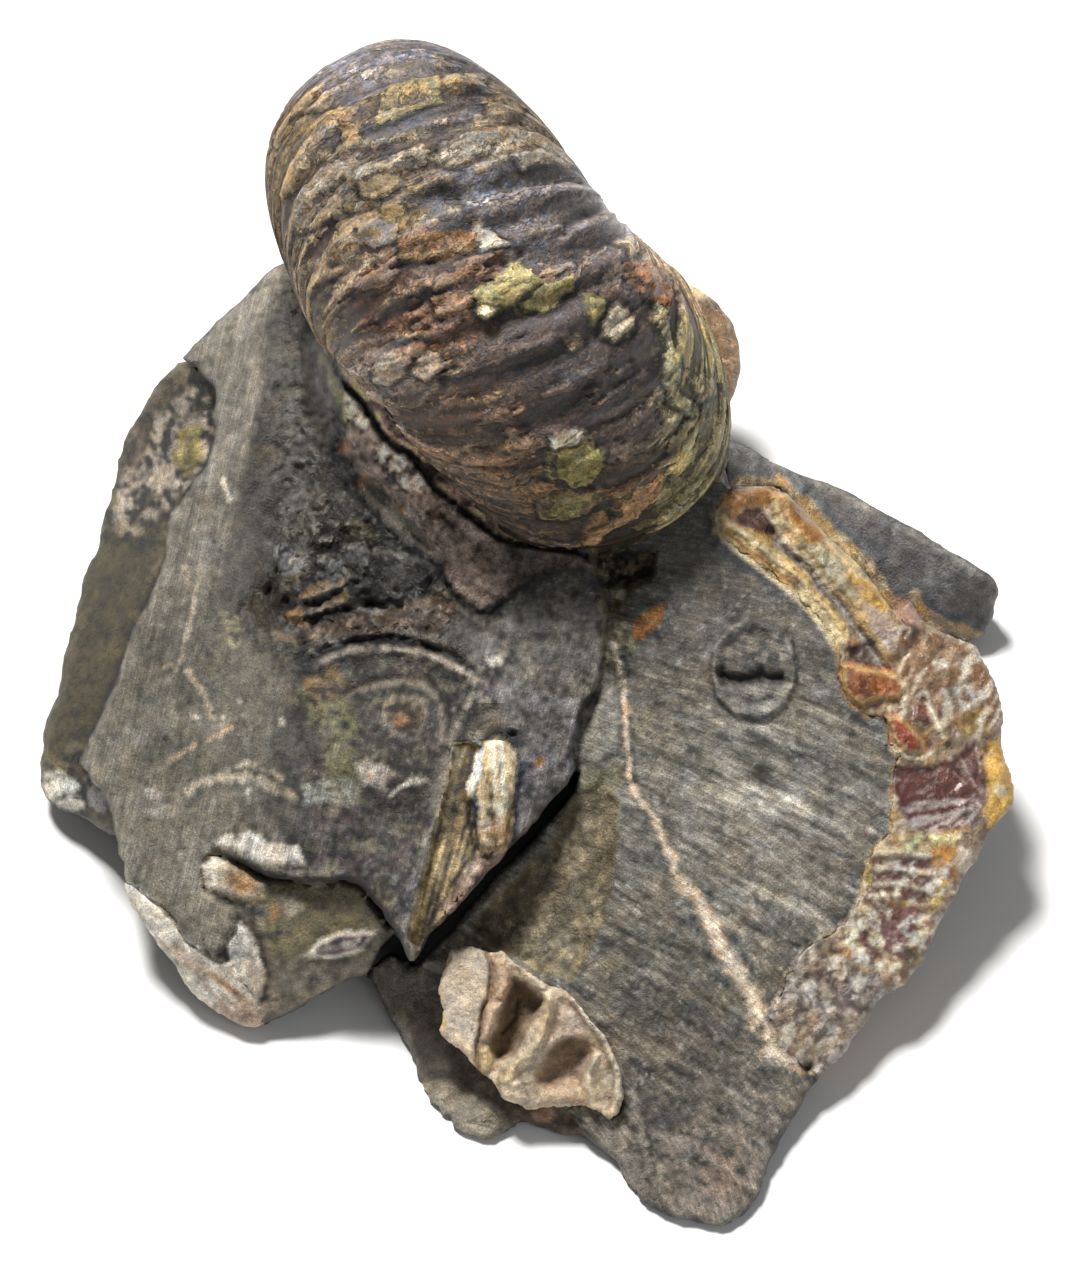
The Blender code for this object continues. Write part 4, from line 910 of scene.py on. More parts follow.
# crisp marks; the dark line in each crevice is painted shade, with a paler line beside it
for k_, pts_ in enumerate(CREV):
    stroke(pts_, (0.030, 0.024, 0.018), 2.6 if k_ < 5 else 1.8, 0.85 if k_ < 5 else 0.5)
    stroke([(x - 2, y - 8) for x, y in pts_], (0.185, 0.165, 0.140), 3.0, 0.45)
patch([(274, 548), (300, 542), (316, 552), (310, 572), (285, 576)], (0.150, 0.145, 0.140), 5, 0.7, wander=2)
patch([(318, 556), (345, 552), (352, 570), (330, 584)], (0.135, 0.125, 0.112), 5, 0.6, wander=2)
stroke([(292, 600), (320, 588), (345, 580)], (0.260, 0.165, 0.080), 3, 0.7, broken=0.2)
patch([(284, 612), (300, 606), (306, 616), (296, 626)], (0.270, 0.150, 0.060), 3, 0.8)
patch([(300, 628), (400, 605), (440, 590), (470, 612), (440, 640), (400, 632), (340, 640)], (0.150, 0.105, 0.072), 10, 0.65)
stroke([(352, 604), (372, 612), (395, 602), (410, 585), (418, 565)], (0.320, 0.300, 0.260), 1.6, 0.75)
patch([(304, 668), (332, 664), (344, 684), (330, 700), (308, 698)], (0.250, 0.145, 0.045), 8, 0.75, mottle=0.6)
patch([(312, 698), (346, 700), (356, 722), (340, 742), (316, 730)], (0.210, 0.195, 0.062), 8, 0.75, mottle=0.6)
patch([(322, 742), (350, 746), (354, 775), (330, 780)], (0.150, 0.138, 0.055), 8, 0.65, mottle=0.6)
tint((0.070, 0.042, 0.028), 0.85 * step(14, 7, np.hypot(WX - 404, WY - 714)))
tint((0.300, 0.150, 0.070), 0.7 * step(9, 4, np.hypot((WX - 402) / 1.6, WY - 722)))
patch([(356, 760), (378, 756), (392, 772), (380, 790), (360, 784)], (0.330, 0.280, 0.230), 4, 0.8, mottle=0.5)
tint((0.420, 0.230, 0.130), 0.8 * step(7, 3, np.hypot(WX - 369, WY - 776)))
patch([(300, 782), (345, 778), (362, 792), (345, 808), (305, 806)], (0.270, 0.280, 0.240), 5, 0.8, mottle=0.4)
stroke([(392, 796), (400, 786), (414, 782), (430, 781)], (0.400, 0.370, 0.310), 1.5, 0.8)
stroke([(188, 804), (190, 790), (207, 781), (236, 777), (264, 780), (286, 790), (300, 801)], (0.520, 0.440, 0.320), 2.6, 0.95, broken=0.15)
stroke([(222, 773), (245, 766), (266, 770), (284, 781)], (0.520, 0.460, 0.350), 2.2, 0.9, broken=0.15)
stroke([(246, 773), (268, 777), (284, 786)], (0.090, 0.075, 0.055), 3.0, 0.7)
patch([(236, 798), (280, 796), (304, 812), (296, 836), (262, 836), (240, 822)], (0.088, 0.078, 0.064), 8, 0.65)
stroke([(165, 762), (190, 748), (216, 735), (238, 722)], (0.430, 0.310, 0.190), 2.0, 0.8, broken=0.15)
stroke([(163, 664), (190, 674), (204, 690), (214, 724)], (0.400, 0.310, 0.200), 2.0, 0.75, broken=0.15)
stroke([(184, 560), (194, 600), (180, 660), (168, 690)], (0.360, 0.300, 0.215), 2.0, 0.6, broken=0.2)
stroke([(222, 478), (231, 502)], (0.480, 0.430, 0.340), 1.8, 0.85)
for x, y, r in ((208, 656, 5), (216, 540, 3), (262, 392, 3), (165, 738, 4), (145, 748, 4), (300, 700, 4), (302, 476, 4), (326, 480, 4), (294, 512, 9), (345, 690, 4)):
    tint((0.060, 0.052, 0.042), 0.85 * step(r, 0.5 * r, np.hypot(WX - x, WY - y)))
for x, y, r in ((284, 722, 5), (222, 718, 3), (198, 716, 4), (240, 700, 3), (305, 424, 3), (262, 384, 3), (292, 560, 3), (438, 610, 3), (412, 640, 2), (248, 790, 3), (330, 752, 3)):
    tint((0.480, 0.420, 0.330), 0.85 * step(r, 0.4 * r, np.hypot(WX - x, WY - y)))
patch([(220, 612), (240, 618), (244, 640), (232, 652), (218, 636)], (0.270, 0.235, 0.130), 4, 0.7, mottle=0.5)
stroke([(470, 694), (463, 714), (456, 738)], (0.560, 0.530, 0.470), 1.5, 0.85, broken=0.1)
stroke([(486, 665), (488, 656), (497, 652), (505, 658), (503, 669)], (0.540, 0.490, 0.400), 2.0, 0.9)
stroke([(540, 636), (565, 622), (590, 640), (598, 650)], (0.240, 0.205, 0.160), 2.4, 0.6)
stroke([(500, 720), (520, 712), (548, 704)], (0.240, 0.220, 0.200), 2.4, 0.6)
glints = fbm2(GX / 3.1, GY / 3.1, 97, 2, 0.7)
tint((0.420, 0.400, 0.370), step(0.40, 0.50, glints) * 0.40 * (isk[0] * step(250, 330, GX) + isk[3] * step(560, 600, GY)))

tone([(300, 648), (340, 636), (410, 636), (470, 660), (478, 690), (450, 745), (430, 800), (400, 880), (404, 930), (350, 880), (288, 860), (270, 800), (285, 700)], -0.40, 14, kind=0)
tone([(345, 540), (362, 545), (415, 553), (438, 570), (424, 592), (400, 606), (378, 603), (352, 582)], -0.42, 8, kind=0)
tone([(262, 420), (300, 470), (345, 440), (420, 548), (460, 605), (540, 600), (600, 590), (604, 660), (560, 700), (480, 690), (430, 640), (260, 640), (245, 560)], -0.26, 16, kind=0)
tone([(40, 520), (150, 540), (150, 620), (110, 720), (40, 760)], -0.35, 16, kind=2)
tone([(100, 740), (280, 740), (300, 850), (200, 860), (120, 880)], -0.14, 20, kind=0)
tone([(120, 300), (290, 250), (250, 470), (220, 700), (60, 740)], -0.10, 20, kind=0)
tone([(600, 640), (1000, 640), (1000, 1000), (800, 1230), (640, 1230), (600, 900)], -0.17, 30, kind=3)
# painted shade on the face right of the crease, which turns away from the light; pale edge left of it
D = sd([(287, 262), (272, 330), (262, 400), (252, 470), (262, 520), (300, 560), (360, 480), (352, 430), (340, 372), (322, 330), (300, 262)], 60, 2)
tint((0.085, 0.077, 0.064), step(3, -6, D) * 0.72 * isk[0])
shade(0.22 * gauss(CREASE + 10, 9) * step(265, 300, GY) * step(480, 440, GY), isk[0])

tint((0.040, 0.035, 0.031), inside(D_LOBE, 5) * 0.92)
speck2 = fbm2(GX / 12.0, GY / 10.0, 107, 4, 0.65)
mid_a = isk[0] * step(290, 330, GX) * step(640, 670, GY)
shade(1.5 * np.clip(speck2 - 0.10, 0, 1) - 1.3 * np.clip(-speck2 - 0.06, 0, 1), mid_a)
tint((0.085, 0.060, 0.058), mid_a * step(0.10, 0.3, fbm2(GX / 30, GY / 24, 108, 3)) * 0.5)
tint((0.180, 0.160, 0.105), mid_a * step(0.16, 0.34, fbm2(GX / 22, GY / 18, 109, 3)) * 0.45)
shade(1.2 * np.clip(speck2 - 0.12, 0, 1) - 1.4 * np.clip(-speck2 - 0.05, 0, 1), isk[2] + 0.7 * isk[1])
tone([(100, 370), (215, 370), (215, 470), (150, 520), (110, 520)], -0.20, 12, kind=2)

tone([(300, 648), (340, 640), (410, 640), (460, 664), (470, 700), (440, 800), (400, 880), (404, 930), (350, 880), (288, 860), (270, 800), (285, 700)], -0.28, 14, kind=0)
tone([(250, 640), (300, 650), (300, 800), (150, 860), (110, 760), (200, 700)], -0.05, 20, kind=0)
tone([(40, 520), (150, 540), (150, 620), (110, 720), (40, 760)], 0.55, 16, kind=2, col=(0.098, 0.084, 0.042))
# disc: its ring, spot, and the stains left of it
stroke(arc_out, (0.030, 0.024, 0.018), 2.6, 0.85, wander=2)
stroke([(x + 2, y + 9) for x, y in arc_out], (0.230, 0.195, 0.160), 3.2, 0.7, wander=2, broken=0.3)
stroke([(x, y - 9) for x, y in arc_out], (0.150, 0.122, 0.098), 4.0, 0.55, wander=2)
stroke(arc_in, (0.038, 0.030, 0.022), 2.6, 0.75, wander=2)
stroke([(x - 6, y + 4) for x, y in arc_in], (0.165, 0.140, 0.110), 3.2, 0.6, wander=2)
patch([(318, 668), (336, 664), (348, 684), (338, 704), (318, 700), (310, 684)], (0.155, 0.108, 0.056), 14, 0.36, mottle=0.7, wander=2)
patch([(320, 700), (346, 700), (360, 722), (362, 730), (350, 750), (326, 738), (316, 718)], (0.130, 0.122, 0.056), 16, 0.36, mottle=0.7, wander=2)
patch([(304, 690), (318, 700), (316, 730), (306, 720)], (0.105, 0.098, 0.048), 10, 0.7, mottle=0.6, wander=2)
patch([(318, 744), (352, 748), (358, 776), (336, 786), (318, 770)], (0.118, 0.110, 0.060), 14, 0.38, mottle=0.7, wander=2)
tint((0.036, 0.026, 0.020), 0.9 * step(12, 6, np.hypot((WX - 404) / 1.2, WY - 714)))
tint((0.200, 0.115, 0.060), 0.5 * step(6, 3, np.hypot((WX - 402) / 1.5, WY - 719)))
tint((0.190, 0.160, 0.125), 0.6 * gauss(np.hypot(WX - 404, WY - 716) - 21, 2.6) * step(-0.3, 0.2, n_sml))
patch([(356, 762), (376, 758), (388, 770), (382, 786), (362, 784)], (0.300, 0.265, 0.220), 7, 0.75, mottle=0.7, wander=2)
tint((0.360, 0.200, 0.110), 0.8 * step(5, 2, np.hypot(WX - 369, WY - 776)))
for dy in (0, 8, 16):
    stroke([(300, 788 + dy), (322, 782 + dy), (342, 788 + dy), (356, 797 + dy)], (0.220, 0.225, 0.195), 1.6, 0.45, wander=2, broken=0.6)
stroke([(385, 800), (396, 788), (412, 783), (430, 782)], (0.520, 0.480, 0.410), 1.4, 0.8)
patch([(262, 800), (292, 798), (304, 814), (292, 828), (264, 824)], (0.060, 0.052, 0.043), 4, 0.75, wander=2)

# painted light: the right-hand block just below the coil made brighter where the coil's shadow falls
tone([(628, 556), (700, 560), (724, 640), (700, 676), (640, 668), (622, 600)], 0.34, 12, kind=3)
# under the coil
patch(UNDER, (0.150, 0.112, 0.090), 5, 0.95)
tint((0.100, 0.082, 0.072), inside(D_UNDER, 5) * step(-0.1, 0.4, n_mid) * 0.7)
# painted shadow along the outer drop of the layer under the coil
stroke(under_a, (0.035, 0.026, 0.020), 4.5, 0.8)
patch([(340, 396), (352, 388), (364, 398), (374, 412), (366, 428), (350, 424), (342, 412)], (0.400, 0.355, 0.265), 3, 0.92, mottle=0.4, wander=2)
stroke([(318, 350), (330, 372), (340, 400), (350, 432)], (0.215, 0.200, 0.100), 4.0, 0.75, wander=2, broken=0.1)
patch([(372, 446), (392, 440), (412, 450), (424, 472), (430, 492), (414, 494), (396, 486), (380, 468)], (0.400, 0.315, 0.255), 3, 0.92, mottle=0.5, wander=2)
# painted shade in a thin crack across the layer
stroke([(372, 446), (384, 470), (400, 488), (420, 498), (440, 518), (456, 534)], (0.040, 0.028, 0.020), 2.2, 0.8)
patch([(410, 470), (430, 490), (445, 510), (436, 520), (415, 500), (405, 485)], (0.290, 0.215, 0.170), 4, 0.6)
for x, y in ((345, 447), (397, 511), (364, 481)):
    tint((0.185, 0.100, 0.040), 0.8 * step(9, 4, np.hypot(WX - x, WY - y)))
tint((0.060, 0.054, 0.050), inside(D_LOBE, 4) * 0.85)
stroke([(346, 546), (362, 550), (414, 558), (434, 570)], (0.165, 0.145, 0.125), 3, 0.6)
tint((0.108, 0.098, 0.086), inside(D_SWELL, 12) * 0.7)
# painted shadow under the foot of the coil, where the blocks meet
patch([(588, 541), (630, 546), (656, 550), (652, 582), (625, 592), (602, 588)], (0.042, 0.034, 0.018), 9, 0.85)
tint((0.110, 0.098, 0.055), inside(D_DEEP, 9) * step(0.05, 0.3, n_sml) * 0.7)
tint((0.120, 0.110, 0.060), inside(D_RUBBLE, 4) * step(-0.4, 0.3, n_sml) * 0.9)
tint((0.260, 0.240, 0.190), inside(D_RUBBLE, 4) * step(0.25, 0.5, n_sml) * 0.7)
tint((0.240, 0.215, 0.150), inside(D_DEEP, 12) * step(0.16, 0.30, fbm2(GX / 7, GY / 7, 112, 3)) * 0.75)
tint((0.150, 0.105, 0.060), inside(D_DEEP, 12) * step(0.12, 0.26, fbm2(GX / 12, GY / 12, 113, 3)) * 0.6)
tint((0.330, 0.150, 0.050), inside(D_CHIP, 3) * 0.95)
rough(0.25, inside(D_CHIP, 3))
patch([(488, 656), (500, 654), (504, 664), (494, 668), (487, 664)], (0.420, 0.390, 0.320), 2.5, 0.9, wander=2)
stroke([(595, 690), (578, 720), (570, 748), (572, 766)], (0.030, 0.024, 0.018), 3.2, 0.8, wander=2)

# painted light: the layer under the coil brightened where the coil's shadow falls on it
shade(1.0, inside(D_UNDER, 8) * step(530, 480, GX))
shade(-0.35, inside(D_LOBE, 6))
shade(-0.16, step(26, -10, sd([(262, 300), (330, 300), (350, 410), (330, 560), (262, 560), (250, 470)], 60, 1)) * isk[0])
D_OL2 = sd([(30, 500), (150, 530), (152, 620), (112, 720), (30, 780)], 40, 1)
C = C * (1 - (step(16, -10, D_OL2 + 8 * n_mid) * isk[2])[..., None] * np.array([0.44, 0.48, 0.60]))
shade(-0.10, step(20, -10, sd([(100, 690), (250, 640), (290, 800), (150, 880), (100, 800)], 50, 1)) * isk[0])
C = np.minimum(C, 0.72)

# ridge, splinter and what lies right of it
tint((0.050, 0.045, 0.040), inside(D_SLIVER, 2.5) * 0.9)
tint((0.150, 0.112, 0.056), inside(D_FACET, 2) * 0.97)
fibre = fbm2((GX * 0.97 + 0.26 * GY) / 3.4, (GY * 0.97 - 0.26 * GX) / 60.0, 78, 3)
tint((0.270, 0.195, 0.095), inside(D_FACET, 2) * step(0.05, 0.35, fibre) * 0.8)
tint((0.400, 0.330, 0.200), inside(D_FACET, 2) * step(0.32, 0.5, fibre) * 0.7)
tint((0.052, 0.040, 0.022), inside(D_FACET, 2) * step(0.08, 0.35, -fibre) * 0.7)
patch([(452, 742), (468, 742), (462, 780), (446, 840), (436, 850), (440, 800)], (0.085, 0.070, 0.040), 6, 0.7)
patch([(478, 850), (506, 850), (500, 870), (470, 900), (450, 915), (440, 905), (462, 880)], (0.200, 0.140, 0.105), 3, 0.9, wander=2)
tint((0.330, 0.260, 0.200), (D_FSPL < 0) * step(850, 862, GY) * step(0.0, 0.3, fbm2((GX + GY) / 9.0, (GX - GY) / 4.0, 80, 3)) * step(455, 468, GX) * 0.7)
stroke([(474, 742), (468, 780), (466, 800), (474, 850), (440, 905), (418, 945)], (0.060, 0.042, 0.022), 2.0, 0.8, wander=2)
stroke(ridge, (0.230, 0.205, 0.160), 2.2, 0.8, wander=2)
tint((0.560, 0.470, 0.320), inside(D_CREAM, 2) * 0.97)
vfib = fbm2(GX / 3.6, GY / 34.0, 79, 3)
tint((0.430, 0.320, 0.180), inside(D_CREAM, 2) * step(0.0, 0.3, vfib) * 0.7)
tint((0.660, 0.600, 0.470), inside(D_CREAM, 2) * step(0.1, 0.4, -vfib) * 0.6)
for yy, cc in ((797, (0.330, 0.240, 0.120)), (824, (0.620, 0.520, 0.420)), (833, (0.420, 0.240, 0.130)), (846, (0.300, 0.190, 0.100))):
    tint(cc, inside(D_CREAM, 2) * gauss(WY - yy, 3.0) * 0.7)
in_edge = (inside_coil & (d_con < 55)) * step(48, 40, d_con) * (WX < 560) * (WY > 300) * (KIND == 0)
e_fib = fbm2(d_con / 6.0, (GX + GY) / 40.0, 171, 4)
tint((0.150, 0.104, 0.074), in_edge * 0.95)
tint((0.300, 0.225, 0.150), in_edge * step(0.04, 0.24, e_fib) * 0.8)
tint((0.070, 0.045, 0.032), in_edge * step(-0.06, -0.22, e_fib) * 0.8)
tint((0.180, 0.150, 0.066), in_edge * step(0.10, 0.30, n_sml) * 0.6)
# painted light: the stone next to the coil brightened to offset the coil's shadow there
shade(1.7, in_edge)
# painted shade in the thin crack where the stone meets the coil
tint((0.030, 0.022, 0.016), gauss(d_con - 1.0, 2.6) * (WX < 590) * (WY > 340) * 0.9)
tint((0.330, 0.215, 0.105), inside(D_CREAM, 2) * step(806, 832, WY + 0.4 * (WX - 495)) * 0.75)
tint((0.180, 0.105, 0.050), inside(D_CREAM, 2) * step(806, 832, WY) * step(0.1, 0.3, vfib) * 0.7)
patch([(479, 752), (485, 748), (481, 775), (472, 796), (467, 790), (473, 770)], (0.680, 0.640, 0.560), 2, 0.95, wander=2)
# painted shade in the slot
tint((0.020, 0.016, 0.012), gauss(d_slot, 3) * 0.9)
tint((0.150, 0.136, 0.130), inside(D_PURPLE, 5) * 0.8)
tint((0.085, 0.078, 0.070), inside(D_PURPLE, 5) * step(0.0, 0.45, fbm2(GX / 22, GY / 22, 38, 3)) * 0.8)
tint((0.230, 0.215, 0.200), inside(D_PURPLE, 5) * step(0.15, 0.5, -fbm2(GX / 22, GY / 22, 38, 3)) * 0.5)
tint((0.260, 0.130, 0.050), 0.7 * step(6, 3, np.hypot(WX - 540, WY - 763)))

# shell patches on the low left
tint(CHALK, inside(D_UPCREAM, 3) * 0.85 * step(-0.7, 0.1, n_sml))
tint((0.300, 0.240, 0.165), inside(D_UPCREAM, 3) * step(0.1, 0.4, n_mid) * 0.6)
tint((0.400, 0.320, 0.220), inside(D_OVAL, 3) * 0.95)
tint((0.330, 0.190, 0.080), step(-4, -16, D_OVAL) * 0.8 * step(-0.5, 0.1, n_sml))
tint((0.560, 0.500, 0.410), inside(D_OVAL, 3) * step(232, 216, WX) * 0.9)
tint((0.260, 0.150, 0.060), 0.7 * step(18, 6, np.hypot((WX - 244) / 1.3, WY - 882)) * inside(D_OVAL, 2))
patch([(265, 880), (300, 884), (342, 884), (370, 900), (385, 925), (350, 935), (310, 940), (300, 956), (272, 960), (262, 920)],
      (0.118, 0.100, 0.052), 7, 0.85, kind=1, mottle=0.8)
patch([(280, 898), (296, 894), (304, 908), (290, 918)], (0.300, 0.250, 0.180), 4, 0.6)
patch([(268, 905), (278, 902), (284, 918), (272, 925)], (0.260, 0.160, 0.070), 4, 0.6)
tint((0.460, 0.410, 0.330), inside(D_LENS, 2.0) * 0.9)
tint((0.150, 0.110, 0.105), step(-2.5, -5, D_LENS) * 0.95)
tint((0.420, 0.370, 0.330), step(-4, -6, D_LENS) * step(0.1, 0.3, n_sml) * 0.8)
stroke([(318, 951), (345, 945), (362, 938)], (0.330, 0.290, 0.240), 1.8, 0.7)
tint((0.600, 0.560, 0.490), inside(D_WHITEP, 3) * 0.92)
tint((0.330, 0.300, 0.250), inside(D_WHITEP, 3) * step(0.12, 0.3, fbm2((GX + 0.5 * GY) / 6, (GY - 0.5 * GX) / 30, 98, 2)) * 0.6)
tint((0.500, 0.450, 0.375), inside(D_BANDP, 3) * 0.95)
band_n = fbm2((GX + 0.8 * GY) / 60, (GY - 0.8 * GX) / 8, 81, 3)
tint((0.330, 0.235, 0.175), inside(D_BANDP, 3) * (0.75 * step(190, 232, GX + 20 * n_mid) * step(950, 985, GY) + 0.5 * step(0.05, 0.3, band_n)))
tint((0.600, 0.560, 0.490), inside(D_BANDP, 3) * step(0.1, 0.35, -band_n) * 0.6)
stroke([(125, 884), (160, 905), (192, 945), (216, 962), (240, 975), (262, 1012)], (0.480, 0.430, 0.350), 4, 0.6)
patch([(240, 960), (262, 966), (285, 1000), (262, 1020), (250, 1000)], (0.330, 0.255, 0.185), 5, 0.6, mottle=0.6)
# painted shadow in the crack under the overhanging edge of the left-hand slab
stroke([(215, 852), (240, 861), (265, 873), (300, 880), (340, 878), (358, 881), (372, 897), (385, 914), (399, 938)],
       (0.022, 0.016, 0.010), 4, 0.85, wander=2)

# right-hand block
tint((0.150, 0.122, 0.072), inside(D_OLIVE, 4) * 0.9)
tint((0.100, 0.085, 0.045), inside(D_OLIVE, 4) * step(0.0, 0.4, n_mid) * 0.7)
tint((0.250, 0.205, 0.130), inside(D_OLIVE, 4) * step(0.2, 0.5, n_sml) * 0.6)
tint((0.210, 0.195, 0.158), inside(D_PALEW, 3) * 0.9)
patch([(578, 770), (600, 770), (618, 765), (622, 790), (600, 785), (582, 790)], (0.130, 0.125, 0.060), 5, 0.6)
tint((0.060, 0.050, 0.040), gauss(d_vein + 1, vein_w + 3.0) * (GY > 660) * 0.55 * isk[3])
tint((0.600, 0.490, 0.370), gauss(d_vein, vein_w * 1.25) * (GY > 640) * step(-0.8, -0.1, n_sml + 0.2) * 0.9 * isk[3])
tint((0.420, 0.260, 0.130), gauss(d_vein - vein_w - 1, 2.0) * step(0.0, 0.4, n_sml) * 0.6 * isk[3] * (GY > 700))
# painted shade in the small pit
tint((0.040, 0.030, 0.020), gauss(np.hypot(WX - 808, WY - 1067), 5) * 0.9)
tint((0.085, 0.080, 0.074), step(1.08, 0.95, q_inc) * step(680, 640, GY) * 0.8)
tint((0.190, 0.178, 0.155), step(1.08, 0.95, q_inc) * step(672, 690, GY) * 0.8)
ang_i = np.arctan2(GY - 680, GX - 751)
gap_i = step(-0.25, 0.15, fbm2(np.cos(ang_i) * 1.6 + 3.0, np.sin(ang_i) * 1.6 + 5.0, 99, 2) + 0.05)
tint((0.055, 0.048, 0.042), gauss(q_inc - 1.05, 0.06) * 0.6 * (0.3 + 0.7 * gap_i))
tint((0.230, 0.205, 0.170), gauss(q_inc - 0.95 + 0.06 * n_sml, 0.05) * 0.8 * gap_i)
tint((0.230, 0.195, 0.150), step(0.9, 0.8, q_inc) * step(668, 656, GY) * step(0.0, 0.2, n_sml) * 0.6)
tint((0.120, 0.112, 0.105), step(0.82, 0.7, q_inc) * step(690, 700, GY) * 0.7)
rough(0.3, step(0.9, 0.8, q_inc) * step(685, 695, GY))
# painted shade in the groove by the inclusion
tint((0.022, 0.020, 0.018), gauss(d_isl, 6.5) * 0.92)
stroke([(724, 565), (725, 592)], (0.260, 0.240, 0.200), 1.8, 0.6)
stroke([(716, 700), (730, 716), (755, 722), (775, 712)], (0.050, 0.044, 0.038), 3, 0.6)
tint((0.055, 0.048, 0.042), inside(D_DARKP, 8) * step(-0.5, 0.1, n_sml) * 0.85)
patch([(605, 1106), (625, 1128), (642, 1160), (652, 1204), (640, 1202), (622, 1178), (598, 1146)], (0.215, 0.185, 0.150), 4, 0.8)
stroke([(612, 1060), (630, 1085), (640, 1130), (650, 1170), (656, 1204)], (0.230, 0.205, 0.170), 2.5, 0.5, wander=2)
patch([(655, 1130), (740, 1120), (760, 1180), (720, 1222), (665, 1205)], (0.165, 0.130, 0.105), 12, 0.5, mottle=0.8)
patch([(690, 1140), (735, 1150), (740, 1190), (700, 1200)], (0.190, 0.135, 0.105), 12, 0.5, mottle=0.7)

# apron
patch([(400, 1000), (440, 990), (480, 1080), (460, 1100), (420, 1070)], (0.062, 0.048, 0.034), 8, 0.8, kind=4)
patch([(418, 1078), (445, 1082), (480, 1100), (500, 1120), (485, 1141), (455, 1130), (435, 1112)], (0.250, 0.215, 0.155), 6, 0.75, kind=4)
patch([(380, 985), (400, 975), (412, 1000), (408, 1050), (396, 1030)], (0.135, 0.118, 0.090), 6, 0.7, kind=4)
patch([(500, 1108), (540, 1110), (575, 1112), (600, 1122), (598, 1145), (560, 1138), (520, 1122)], (0.100, 0.065, 0.042), 5, 0.85, kind=4)
patch([(533, 1112), (556, 1112), (558, 1122), (536, 1122)], (0.330, 0.190, 0.120), 3, 0.8)
patch([(425, 955), (450, 948), (446, 975), (436, 1000), (425, 985)], (0.055, 0.048, 0.036), 5, 0.7)

# back wedge
patch([(735, 445), (800, 470), (840, 492), (820, 520), (770, 500), (735, 480)], (0.135, 0.128, 0.122), 10, 0.7, kind=5)
patch([(860, 530), (960, 570), (985, 620), (960, 640), (900, 600)], (0.080, 0.076, 0.075), 14, 0.7, kind=5)
stroke([(752, 452), (800, 472), (840, 491), (900, 524), (940, 549), (990, 580)], (0.190, 0.175, 0.155), 4, 0.7, kind=5)

# calcite rim
tint((0.360, 0.270, 0.165), calc * 0.97)
rn = [fbm2(GX / 20, GY / 20, 83, 4, 0.6), fbm2(GX / 13, GY / 13, 84, 4, 0.6), fbm2(GX / 15, GY / 15, 85, 4, 0.6)]
tint((0.430, 0.240, 0.080), calc * step(0.02, 0.12, rn[0]) * 0.85)
tint((0.570, 0.480, 0.330), calc * step(0.12, 0.20, rn[1]) * 0.8)
tint((0.150, 0.075, 0.040), calc * step(0.16, 0.24, rn[2]) * 0.75)
pinkish = calc * step(900, 880, GY) * step(892, 905, GX)
tint((0.330, 0.245, 0.200), pinkish * step(0.0, 0.1, rn[1]) * 0.7)
for pts_, col_, soft_, lift_, mot_ in RIM_BITS:
    D = sd(pts_, 30, 2)
    m = step(0.6 * soft_, -0.6 * soft_, D + 1.6 * n_fin) * calc
    # painted shadow round the outside of each raised piece
    if lift_ > 0.15:
        tint((0.085, 0.048, 0.026), gauss(D - 2.5, 2.0) * 0.55 * calc)
    tint(col_, m * 0.95)
    if mot_:
        tint(np.asarray(col_) * 0.45, m * step(0.10, 0.22, rn[2]) * 0.8)
        tint(np.minimum(np.asarray(col_) * 1.6 + 0.04, 0.75), m * step(0.10, 0.20, rn[1]) * 0.8)
    if lift_ > 0.5:
        tint((0.600, 0.450, 0.220), m * gauss(D + 3.0, 2.2) * 0.75)
stroke([(716, 533), (740, 553), (764, 571), (790, 591), (812, 613), (828, 635), (838, 653)], (0.640, 0.540, 0.340), 2.2, 0.9, wander=2)
stroke([(772, 532), (780, 545), (800, 562), (825, 590), (850, 620), (885, 670)], (0.310, 0.270, 0.240), 4.6, 0.9, wander=2)
stroke([(768, 530), (786, 549), (800, 562), (816, 580), (838, 607)], (0.070, 0.045, 0.030), 1.8, 0.85, wander=2)
stroke([(765, 505), (775, 525), (790, 545), (812, 566), (838, 596)], (0.640, 0.550, 0.400), 2.0, 0.75, wander=2)
stroke([(783, 490), (808, 513), (830, 537), (850, 555), (866, 574)], (0.600, 0.450, 0.230), 3.0, 0.8, wander=2)
rust_n = fbm2(GX / 12, GY / 12, 105, 4, 0.6)
rust_a = inside(sd([(900, 628), (936, 630), (976, 640), (992, 668), (1003, 702), (1003, 736), (988, 742), (950, 736), (922, 706), (902, 684), (892, 656)], 30, 2), 4) * calc
tint((0.200, 0.115, 0.065), rust_a * step(-0.15, 0.05, rust_n) * 0.85)
hatch_ = fbm2((GX * 0.87 + GY * 0.5) / 4.5, (GY * 0.87 - GX * 0.5) / 24, 106, 2)
tint((0.620, 0.560, 0.460), rust_a * step(0.16, 0.26, hatch_) * step(-0.1, 0.15, n_mid + 0.2) * 0.8)
for pts_ in WALLS:
    stroke(pts_, (0.640, 0.560, 0.420), 2.8, 0.9, wander=2)
